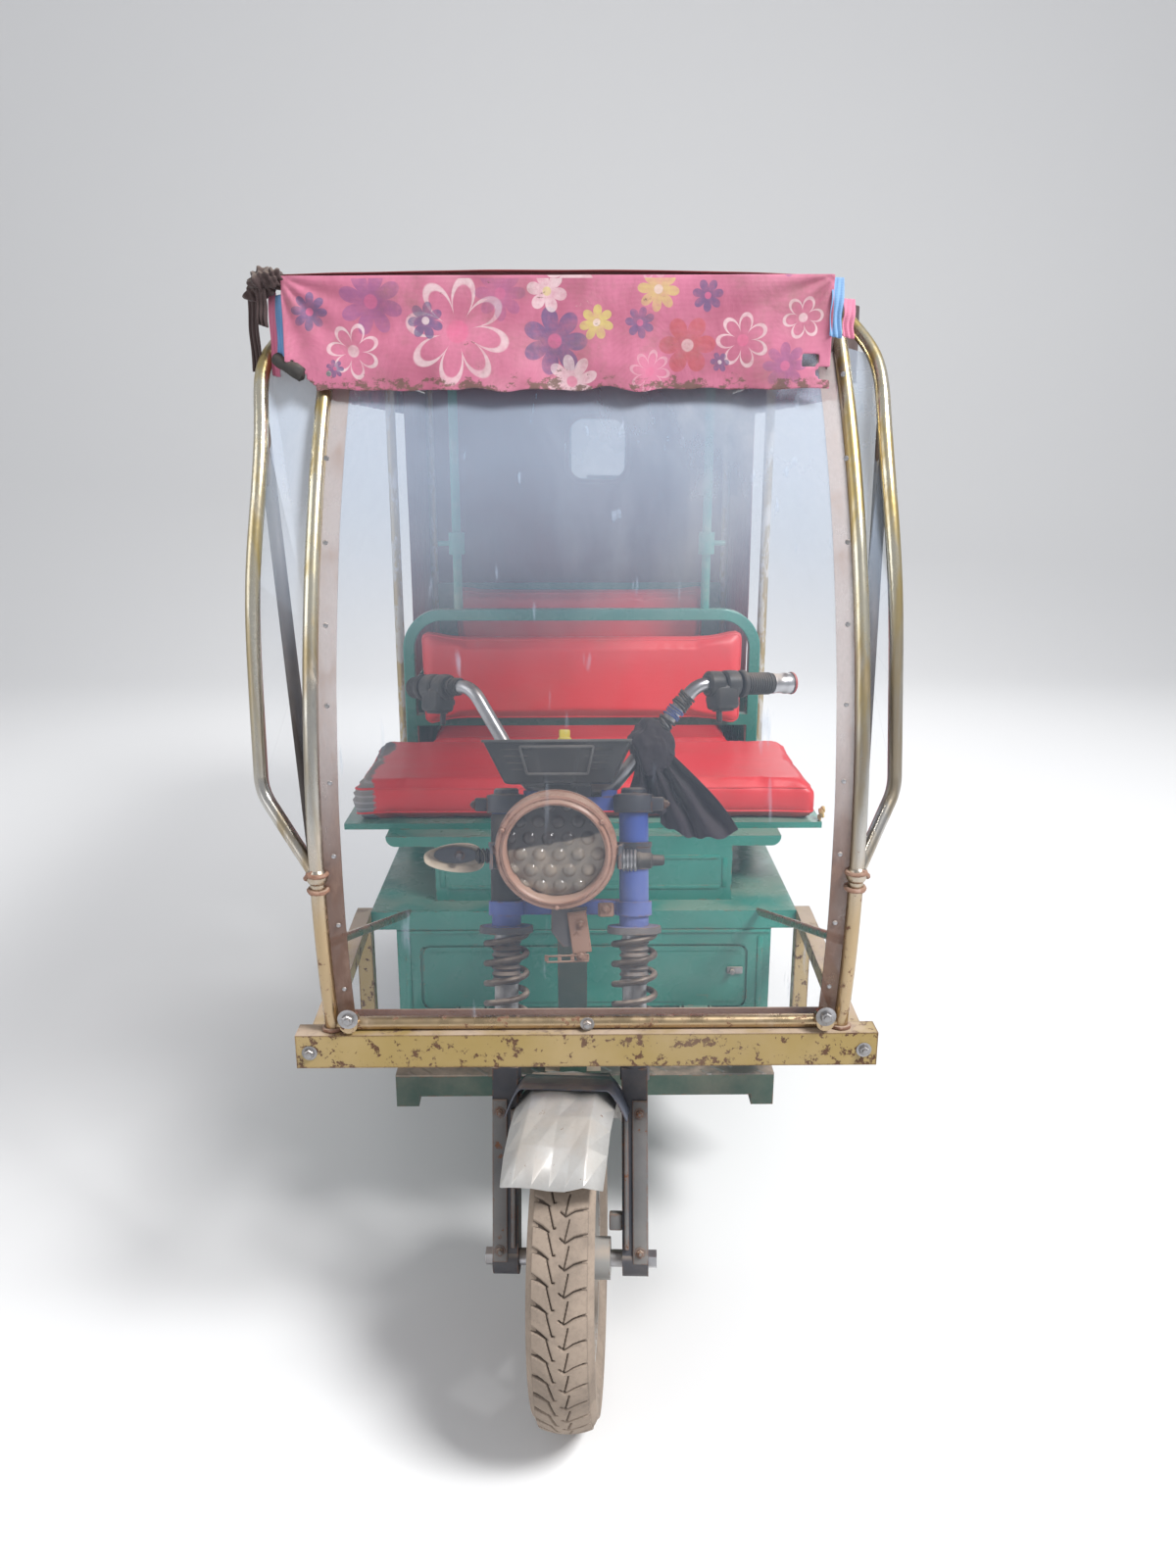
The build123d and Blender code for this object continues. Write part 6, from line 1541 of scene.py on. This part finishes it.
# %% Torn corner
finishes["foam"] = moulded("foam", (0.50, 0.33, 0.10), (0.60, 0.44, 0.20), 0.9, 0.4, 500.0)
mesh = bmesh.new()
for x, z, size in ((0.4665, 0.792, 0.0060), (0.4630, 0.786, 0.0075), (0.4655, 0.781, 0.0055),
                   (0.4600, 0.7755, 0.0050)):
    lump = bmesh.ops.create_icosphere(mesh, subdivisions=3, radius=1.0)["verts"]
    for vert in lump:
        vert.co *= 1 + 0.35 * noise.noise(vert.co * 1.7 + Vector((x * 90, z * 90, 0)))
    bmesh.ops.scale(mesh, vec=(size * 0.6, size * 2.1, size), verts=lump)
    bmesh.ops.translate(mesh, verts=lump, vec=at(x - 0.001, 0.606, z))
piece("torn_foam", mesh, "foam", "chassis", sharp=180.0)
print("foam made")

# %% [markdown]
# The passenger body's front edge carries a painted band: an orange-brown stripe over a strip of simple
# flowers on green, brushed by hand. It is thin sheet laid on the body side, with its own flat measure.

# %% Painted band
def band_paint():
    skin = Finish("band_paint", "UV", Roughness=0.42)
    tile = skin.wrapped(0.11, 1)
    tone = skin.mix(skin.step(skin.noise(14.0, 5), 0.35, 0.7), (0.03, 0.20, 0.06), (0.06, 0.27, 0.09))
    pink = (0.62, 0.10, 0.16), (0.75, 0.55, 0.10)
    white = (0.70, 0.68, 0.62), (0.70, 0.45, 0.05)
    orange = (0.62, 0.30, 0.03), (0.60, 0.55, 0.40)
    for (colour, heart), u, v, radius, petals in (
            (pink, 0.055, 0.040, 0.026, 6), (white, 0.018, 0.022, 0.015, 5), (white, 0.092, 0.058, 0.015, 5),
            (orange, 0.022, 0.062, 0.010, 5), (orange, 0.090, 0.018, 0.010, 5)):
        drawn = one_flower(skin, tile, u, v, radius, petals, 0.3)
        tone = skin.mix(drawn["Heart"], skin.mix(drawn["Petal"], tone, colour), heart)
    tone = skin.mix(skin.step(skin.axis(1), 0.0795, 0.0805), tone, (0.42, 0.15, 0.03))
    film = skin.step(skin.noise(16.0, 8, 0.7), 0.42, 0.75, 0.0, 0.6)
    skin.feed("Base Color", skin.mix(film, tone, DUST))
    skin.bump(skin.noise(60.0, 4), 0.0004, 0.4)
    return skin.material


finishes["band_paint"] = band_paint()
mesh = bmesh.new()
flat = mesh.loops.layers.uv.new("flat")
for side in (-1, 1):
    made = bmesh.ops.create_grid(mesh, x_segments=24, y_segments=3, size=0.5)["verts"]
    for vert in made:
        u, v = vert.co.x + 0.5, vert.co.y + 0.5
        for loop in vert.link_loops:
            loop[flat].uv = (0.44 * u, 0.095 * v)
        uneven = 0.0004 * noise.noise(Vector((u * 9, v * 3, side)))
        vert.co = at(side * (0.4562 + uneven), 1.276 + 0.44 * u, 0.424 + 0.088 * v)
thicken(piece("painted_band", mesh, "band_paint", "chassis"), 0.0012)
print("band painted")

# %% [markdown]
# The canopy is one sheet of coated cloth over the bows. Between bows it sags, and at each side it turns
# down over the rail. A long grid follows the roof's outline, and the sag is largest half way between.

# %% Canopy
BOWS_AT = (0.111, 0.215, 0.998, 1.300, 1.690, 2.108)
# half width, height of the edge and rise of the middle, at the nose and where the roof is full
NOSE, FULL = (0.367, 1.6875, 0.006), (0.4835, 1.6535, 0.044)


def between_bows(behind):
    """0 on a bow and 1 half way to the next."""
    for low, high in zip(BOWS_AT, BOWS_AT[1:]):
        if low <= behind <= high:
            return math.sin(math.pi * (behind - low) / (high - low)) * min(1.0, (high - low) / 0.4)
    return 0.0


def canopy_sheet():
    mesh = bmesh.new()
    bmesh.ops.create_grid(mesh, x_segments=72, y_segments=150, size=0.5)
    for vert in mesh.verts:
        u, v = 2 * vert.co.x, vert.co.y + 0.5
        behind = 0.1105 + 2.0085 * v
        grow = min(1.0, (behind - 0.111) / 0.589)
        middle = -0.037 * (1 - grow)
        half, edge, rise = (nose + (full - nose) * grow for nose, full in zip(NOSE, FULL))
        slack = between_bows(behind)
        over = max(0.0, abs(u) - 0.955) / 0.045
        sag = 0.011 * slack * (1 - 0.6 * u * u)
        wrinkle = 0.0022 * noise.noise(Vector((u * 5, behind * 14, 1.0))) * (0.4 + slack)
        gather = math.sin(behind * 90 + 4 * noise.noise(Vector((behind * 5, 1, 0))))
        gather *= 0.0016 * max(0.0, abs(u) - 0.8) / 0.2
        z = edge + rise * (1 - u * u) - sag + wrinkle + gather - 0.013 * over ** 2 * grow
        vert.co = at(middle + half * u * (1 - 0.004 * over * over), behind, z)
    cloth = piece("canopy_cloth", mesh, "maroon_cloth", "chassis", sharp=180.0)
    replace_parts(cloth, "canopy")
    return thicken(cloth, 0.0018)


canopy = canopy_sheet()
mesh = bmesh.new()
for behind in BOWS_AT[2:5]:
    for offset in (-0.014, 0.014):
        for number in range(46):
            u = -0.93 + 1.86 * number / 45
            z = FULL[1] + FULL[2] * (1 - u * u) + 0.0010
            block(mesh, (0.010, 0.0012, 0.0010), placed(FULL[0] * u, behind + offset, z))
finishes["thread"] = coated_cloth("thread", (0.45, 0.30, 0.25), (0.55, 0.42, 0.35), 0.4)
piece("canopy_stitches", mesh, "thread", "chassis")
print("canopy area", round(area_of(canopy), 3))

# %% [markdown]
# The curtains are the same cloth. They hang in shallow upright folds from the rear bow and the rails.
# The rear one has a clear window, held in by a doubled border with two rows of stitches.

# %% Curtains
def rounded_square(mesh, half_x, half_z, corner, steps=8):
    """A closed ring of points round a square with round corners, in the xz plane."""
    verts = []
    for turn, (sx, sz) in enumerate(((1, 1), (-1, 1), (-1, -1), (1, -1))):
        for step in range(steps + 1):
            angle = math.radians(90 * (turn + step / steps))
            verts.append(mesh.verts.new((sx * (half_x - corner) + corner * math.cos(angle), 0,
                                         sz * (half_z - corner) + corner * math.sin(angle))))
    return verts, [mesh.edges.new(pair) for pair in zip(verts, verts[1:] + verts[:1])]


def curtain(node, width, low_z, high_z, folds, deep, crown=0.0, steps=(120, 60), window=None):
    """An upright cloth in the xz plane, before it is placed."""
    mesh = bmesh.new()
    bmesh.ops.create_grid(mesh, x_segments=steps[0], y_segments=steps[1], size=0.5)
    for vert in mesh.verts:
        u, v = vert.co.x, vert.co.y + 0.5
        x, z = width * u, low_z + (high_z + crown * (1 - 4 * u * u) - low_z) * v
        swing = 2 * math.pi * (folds * u + 0.5 * noise.noise(Vector((u * 6, v * 1.3, len(node)))))
        ripple = 0.35 * noise.noise(Vector((u * 16, v * 5, 4.0)))
        hold = 0.4 + 0.6 * math.sin(math.pi * min(1.0, v * 1.2 + 0.1))
        vert.co = (x, deep * hold * (0.65 * math.sin(swing) + ripple), z)
    if window:
        x0, z0, half_x, half_z = window
        inside = [f for f in mesh.faces if abs(f.calc_center_median().x - x0) < half_x
                  and abs(f.calc_center_median().z - z0) < half_z]
        bmesh.ops.delete(mesh, geom=inside, context="FACES")
    return mesh


WINDOW_X, WINDOW_Z = 0.055, 1.462
mesh = curtain("rear_curtain", 0.910, 0.806, 1.630, 9, 0.0048, 0.048, window=(WINDOW_X, WINDOW_Z, 0.079, 0.082))
rear = piece("rear_curtain_cloth", mesh, "maroon_cloth", "chassis", placed(0, 2.0900, 0), sharp=180.0)
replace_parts(rear, "rear_curtain")
thicken(rear, 0.0014)
print("rear curtain area", round(area_of(rear), 3))

# %% Border of the clear window
WINDOW = placed(WINDOW_X, 2.0910, WINDOW_Z)
mesh = bmesh.new()
outer, outer_edges = rounded_square(mesh, 0.102, 0.105, 0.058)
inner, inner_edges = rounded_square(mesh, 0.083, 0.086, 0.044)
bmesh.ops.bridge_loops(mesh, edges=outer_edges + inner_edges)
bmesh.ops.solidify(mesh, geom=mesh.faces[:], thickness=0.0100)
depth = [v.co.y for v in mesh.verts]
bmesh.ops.translate(mesh, verts=mesh.verts, vec=(0, -(min(depth) + max(depth)) / 2, 0))
rounded(mesh, [e for e in mesh.edges if e.calc_face_angle(0) > 1.0], 0.0012)
piece("window_border", mesh, "maroon_cloth", "chassis", WINDOW)
mesh = bmesh.new()
for half_x, half_z, corner in ((0.0865, 0.0895, 0.047), (0.0985, 0.1015, 0.055)):
    ring, ring_edges = rounded_square(mesh, half_x, half_z, corner, 6)
    centres = [(v.co.copy(), w.co - v.co) for v, w in zip(ring, ring[1:] + ring[:1])]
    bmesh.ops.delete(mesh, geom=ring, context="VERTS")
    for start, way in centres:
        count = max(1, int(way.length / 0.0085))
        for number in range(count):
            place = Matrix.Translation(start + way * (number + 0.5) / count + Vector((0, -0.0054, 0)))
            lean = Matrix.Rotation(-math.atan2(way.z, way.x), 4, "Y")
            block(mesh, (min(0.006, way.length * 0.7), 0.0008, 0.0009), place @ lean)
piece("window_stitches", mesh, "thread", "chassis", WINDOW)
print("border stitched")

# %% Side curtains
for side, half in SIDES:
    turn = placed(side * 0.4545, 1.858, 0) @ turned(90, "Z")
    mesh = curtain("side_curtains", 0.462, 0.852, 1.618, 7, 0.0022, steps=(90, 40))
    cloth = piece(f"side_curtain_{half}", mesh, "maroon_cloth", "chassis", turn, sharp=180.0)
    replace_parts(cloth, "side_curtains")
    thicken(cloth, 0.0014)
print("side curtain area", round(area_of(cloth), 3))

# %% [markdown]
# At both front corners of the roof the cloth is gathered and tied. Strips of blue, pink and dark cloth
# hang there, in a bunch at the right corner, with dark rope and a piece of black hose round the pipe.

# %% Roof corners
finishes["blue_cloth"] = coated_cloth("blue_cloth", (0.10, 0.25, 0.50), (0.20, 0.36, 0.58), 0.6)
finishes["pink_cloth"] = coated_cloth("pink_cloth", (0.50, 0.10, 0.20), (0.58, 0.20, 0.30), 0.8)
finishes["dark_cloth"] = coated_cloth("dark_cloth", (0.035, 0.018, 0.018), (0.07, 0.04, 0.038), 0.5)
for name, finish, start, end, drop in (
        ("corner_blue", "blue_cloth", at(-0.4165, 0.126, 1.664), at(-0.404, 0.109, 1.664), 0.088),
        ("corner_pink", "pink_cloth", at(-0.4290, 0.140, 1.668), at(-0.415, 0.124, 1.668), 0.105),
        ("corner_blue_left", "blue_cloth", at(0.3260, 0.106, 1.686), at(0.3440, 0.112, 1.686), 0.074),
        ("corner_pink_left", "pink_cloth", at(0.3440, 0.110, 1.660), at(0.3620, 0.120, 1.660), 0.048),
        ("corner_black", "dark_cloth", at(-0.4580, 0.146, 1.662), at(-0.4440, 0.140, 1.664), 0.094),
        ("corner_shreds", "dark_cloth", at(-0.4380, 0.112, 1.672), at(-0.4240, 0.108, 1.670), 0.046),
        ("corner_dark", "dark_cloth", at(0.3320, 0.150, 1.664), at(0.3960, 0.235, 1.664), 0.106),
        ("corner_dark_right", "dark_cloth", at(-0.4300, 0.235, 1.664), at(-0.3960, 0.165, 1.664), 0.070)):
    strip = hanging(name, start, end, drop, 2.5, 0.003, finish, 0.006, steps=(26, 16))
mesh = bmesh.new()
top = at(-0.399, 0.150, 1.590)
for number in range(6):
    wound(mesh, between(top, at(-0.352, 0.215, 1.665)), 0.006 + 0.0085 * number, 1, 0.004, 0.0118, 0.0034)
piece("corner_rope", mesh, "dark_cloth", "chassis")
mesh = bmesh.new()
wrap = spun(mesh, [(0.0, -0.004), (0.0085, -0.004), (0.0095, 0.006), (0.0085, 0.018), (0.0100, 0.030),
                   (0.0090, 0.044), (0.0, 0.046)], 24)
for vert in wrap:
    vert.co *= 1 + 0.10 * noise.noise(vert.co * 140)
bmesh.ops.transform(mesh, matrix=between(at(-0.4160, 0.118, 1.582), at(-0.3700, 0.092, 1.556)), verts=wrap)
piece("pipe_wrap", mesh, "grip", "chassis", sharp=180.0)
mesh = bmesh.new()
for x, y, z, size in ((-0.428, 0.122, 1.680, 0.017), (-0.442, 0.132, 1.668, 0.013), (-0.412, 0.112, 1.684, 0.012)):
    lump = bmesh.ops.create_icosphere(mesh, subdivisions=4, radius=1.0)["verts"]
    for vert in lump:
        way = vert.co.normalized()
        lumpy = 0.5 * noise.noise(way * 1.6 + Vector((x * 50, 0, z * 50)))
        vert.co = way * (1 + lumpy + 0.12 * math.sin(way.x * 11 + 5 * way.z))
    bmesh.ops.scale(mesh, vec=(size * 1.2, size, size), verts=lump)
    bmesh.ops.translate(mesh, verts=lump, vec=at(x, y, z))
piece("corner_bunch", mesh, "dark_cloth", "chassis", sharp=180.0)
print("corners tied")

# %% [markdown]
# The rear is hidden in the photograph and follows the type: lamps with ribbed red lenses in plated
# rims, a blank plate between them, and ribs pressed in the sheet of the body.

# %% Lamps at the back
def on_back(x, behind, z):
    """A place on the back panel, facing out."""
    return facing((0, 1, 0), *at(x, behind, z))


LAMP_X, LAMP_Z, BACK = 0.360, 0.620, 2.085
mesh = bmesh.new()
for side in (-1, 1):
    rings = [(0.0, 0.0275), (0.009, 0.0272)]
    for number in range(4):
        r, fall = 0.012 + 0.0052 * number, 0.0006 * number
        rings += [(r, 0.0262 - fall), (r + 0.0012, 0.0274 - fall), (r + 0.0030, 0.0272 - fall)]
    spun(mesh, rings + [(0.0325, 0.0235), (0.0325, 0.018)], 48, on_back(side * LAMP_X, BACK, LAMP_Z))
piece("tail_lenses", mesh, "lamp_red", "chassis", sharp=30.0)
mesh = bmesh.new()
for side in (-1, 1):
    spun(mesh, [(0.0330, 0.001), (0.0365, 0.001), (0.0375, 0.006), (0.0375, 0.018), (0.0360, 0.0215),
                (0.0335, 0.0225), (0.0330, 0.019)], 48, on_back(side * LAMP_X, BACK, LAMP_Z), closed=True)
    for up in (0.0352, -0.0352):
        screw = on_back(side * LAMP_X, BACK + 0.0225, LAMP_Z + up)
        spun(mesh, [(0.0, 0.0022), (0.0022, 0.0016), (0.0028, 0.0)], 10, screw)
block(mesh, (0.230, 0.003, 0.110), placed(0, 2.0868, 0.560), 0.0012, 2)
for x in (-0.095, 0.095):
    bolt(mesh, on_back(x, 2.0882, 0.600), 0.005, 0.004)
piece("tail_rims_and_plate", mesh, "zinc", "chassis", sharp=35.0)
mesh = bmesh.new()
for z in (0.700, 0.790):
    block(mesh, (0.800, 0.004, 0.010), placed(0, 2.0862, z), 0.0016, 2)
for side in (-1, 1):
    block(mesh, (0.004, 0.30, 0.012), placed(side * 0.4562, 1.905, 0.842), 0.0016, 2)
    block(mesh, (0.004, 0.28, 0.010), placed(side * 0.4562, 1.905, 0.700), 0.0016, 2)
    for number in range(5):
        place = facing((side, 0, 0), *at(side * 0.4552, 1.79 + 0.06 * number, 0.8425))
        spun(mesh, [(0.0, 0.0040), (0.0030, 0.0036), (0.0042, 0.0020)], 10, place)
piece("body_ribs", mesh, "body_paint", "chassis", sharp=35.0)
print("back dressed")

# %% [markdown]
# A wheel is a pressed disc bolted to a drum. Its nuts sit in a circle, a valve comes through the rim,
# and two beads are rolled round it. One maker dresses all three wheels, each riding on its own body.

# %% Wheel hardware
DISC_FACE = 0.004


def wheel_parts(name, body, place, side):
    """Nuts, a valve and two rolled beads on the outer face of a wheel whose axle is x."""
    mesh = bmesh.new()
    face = place @ TO_X if side > 0 else place @ Matrix.Rotation(math.pi, 4, "Z") @ TO_X
    for number in range(5):
        turn = Matrix.Rotation(math.tau * number / 5 + 0.3, 4, "Z")
        bolt(mesh, face @ turn @ spot(0.055, 0, DISC_FACE), 0.0085, 0.008, 1.5)
    spun(mesh, [(0.0045, DISC_FACE + 0.012), (0.0040, DISC_FACE - 0.012)], 10,
         face @ Matrix.Rotation(0.9, 4, "Z") @ spot(0.124, 0, 0))
    for radius in (0.148, 0.1535):
        spun(mesh, bead_ring(radius, 0.0010, 6, 0.0335), 64, face, closed=True)
    return piece(name, mesh, "zinc", body, sharp=35.0)


wheel_parts("front_wheel_nuts", "front_wheel", fork, -1)
for side, half in SIDES:
    wheel_parts(f"rear_wheel_nuts_{half}", f"rear_wheel_{half}", placed(side * TRACK_HALF, WHEELBASE, AXLE_Z), side)
print("wheels dressed")

# %% [markdown]
# Under the body, each spring pack is clamped by two U-bolts and a plate, and the motor has cooling fins
# round its case and a box for its cables.

# %% Underside
BOLT_BEND = 0.031
MOTOR = on_back(0, 1.598, AXLE_Z)
mesh = bmesh.new()
for side in (-1, 1):
    x = side * 0.320
    for behind in (WHEELBASE - 0.036, WHEELBASE + 0.036):
        angles = [math.pi * number / 12 for number in range(13)]
        arch = [at(x + BOLT_BEND * math.cos(a), behind, 0.244 - BOLT_BEND * math.sin(a)) for a in angles]
        for a, b in zip(arch, arch[1:]):
            spun(mesh, [(0.005, -0.0008), (0.005, (b - a).length + 0.0008)], 10, between(a, b))
        for end in (-BOLT_BEND, BOLT_BEND):
            a, b = at(x + end, behind, 0.243), at(x + end, behind, 0.315)
            spun(mesh, [(0.005, 0.0), (0.005, (b - a).length), (0.0, (b - a).length)], 10, between(a, b))
            bolt(mesh, facing((0, 0, 1), *at(x + end, behind, 0.3062)), 0.0085, 0.007)
    block(mesh, (0.078, 0.100, 0.006), placed(x, WHEELBASE, 0.3030), 0.0015, 2)
piece("spring_clamps", mesh, "dark_steel", "chassis", sharp=35.0)
mesh = bmesh.new()
fins = []
for number in range(11):
    z = -0.075 + 0.0135 * number
    fins += [(0.0805, z), (0.0868, z + 0.0008), (0.0868, z + 0.0034), (0.0805, z + 0.0042)]
spun(mesh, [(0.0805, -0.084)] + fins + [(0.0805, 0.078)], 56, MOTOR)
spun(mesh, [(0.0, -0.096), (0.030, -0.096), (0.036, -0.090), (0.072, -0.088), (0.080, -0.080)], 56, MOTOR)
block(mesh, (0.070, 0.080, 0.032), placed(0.030, 1.585, 0.336), 0.005, 3)
for x, y in ((0.004, 1.553), (0.056, 1.553), (0.004, 1.617), (0.056, 1.617)):
    bolt(mesh, facing((0, 0, 1), *at(x, y, 0.3512)), 0.0035, 0.003)
piece("motor_fins", mesh, "motor", "chassis", sharp=35.0)
print("underside dressed")

# %% [markdown]
# Each solid of the frame now takes the finish that the record names for it. The roof posts are painted
# teal at the driver's seat, but bare, brassy and peeling at the sides, so one finish covers both.

# %% Finish the frame's solids
def post_paint():
    skin = Finish("post_paint", Roughness=0.45)
    fresh = skin.mix(skin.step(skin.noise(6.0, 6), 0.35, 0.7), (0.008, 0.165, 0.125), (0.02, 0.22, 0.17))
    peel = skin.step(skin.noise(38.0, 8, 0.72, (1, 1, 0.35)), 0.46, 0.54)
    bare = skin.mix(peel, (0.40, 0.30, 0.14), (0.50, 0.47, 0.42))
    sides = skin.step(skin.maths("ABSOLUTE", skin.axis(0)), 0.36, 0.38)
    film = skin.step(skin.noise(9.0, 8, 0.7), 0.45, 0.75, 0.0, 0.4)
    skin.feed("Base Color", skin.mix(film, skin.mix(sides, fresh, bare), DUST))
    skin.feed("Metallic", skin.times(sides, skin.step(peel, 0.0, 1.0, 0.6, 0.0)))
    skin.bump(peel, 0.0006, 0.5)
    return skin.material


finishes["post_paint"] = post_paint()
slot_of = {part["node"]: part["material_slot"] for part in frame["record"]["subparts"]}
for node, thing in frame["nodes"].items():
    thing.data.materials.clear()
    thing.data.materials.append(finishes["post_paint" if node == "roof_posts" else slot_of[node]])
print("finished solids", len(slot_of))
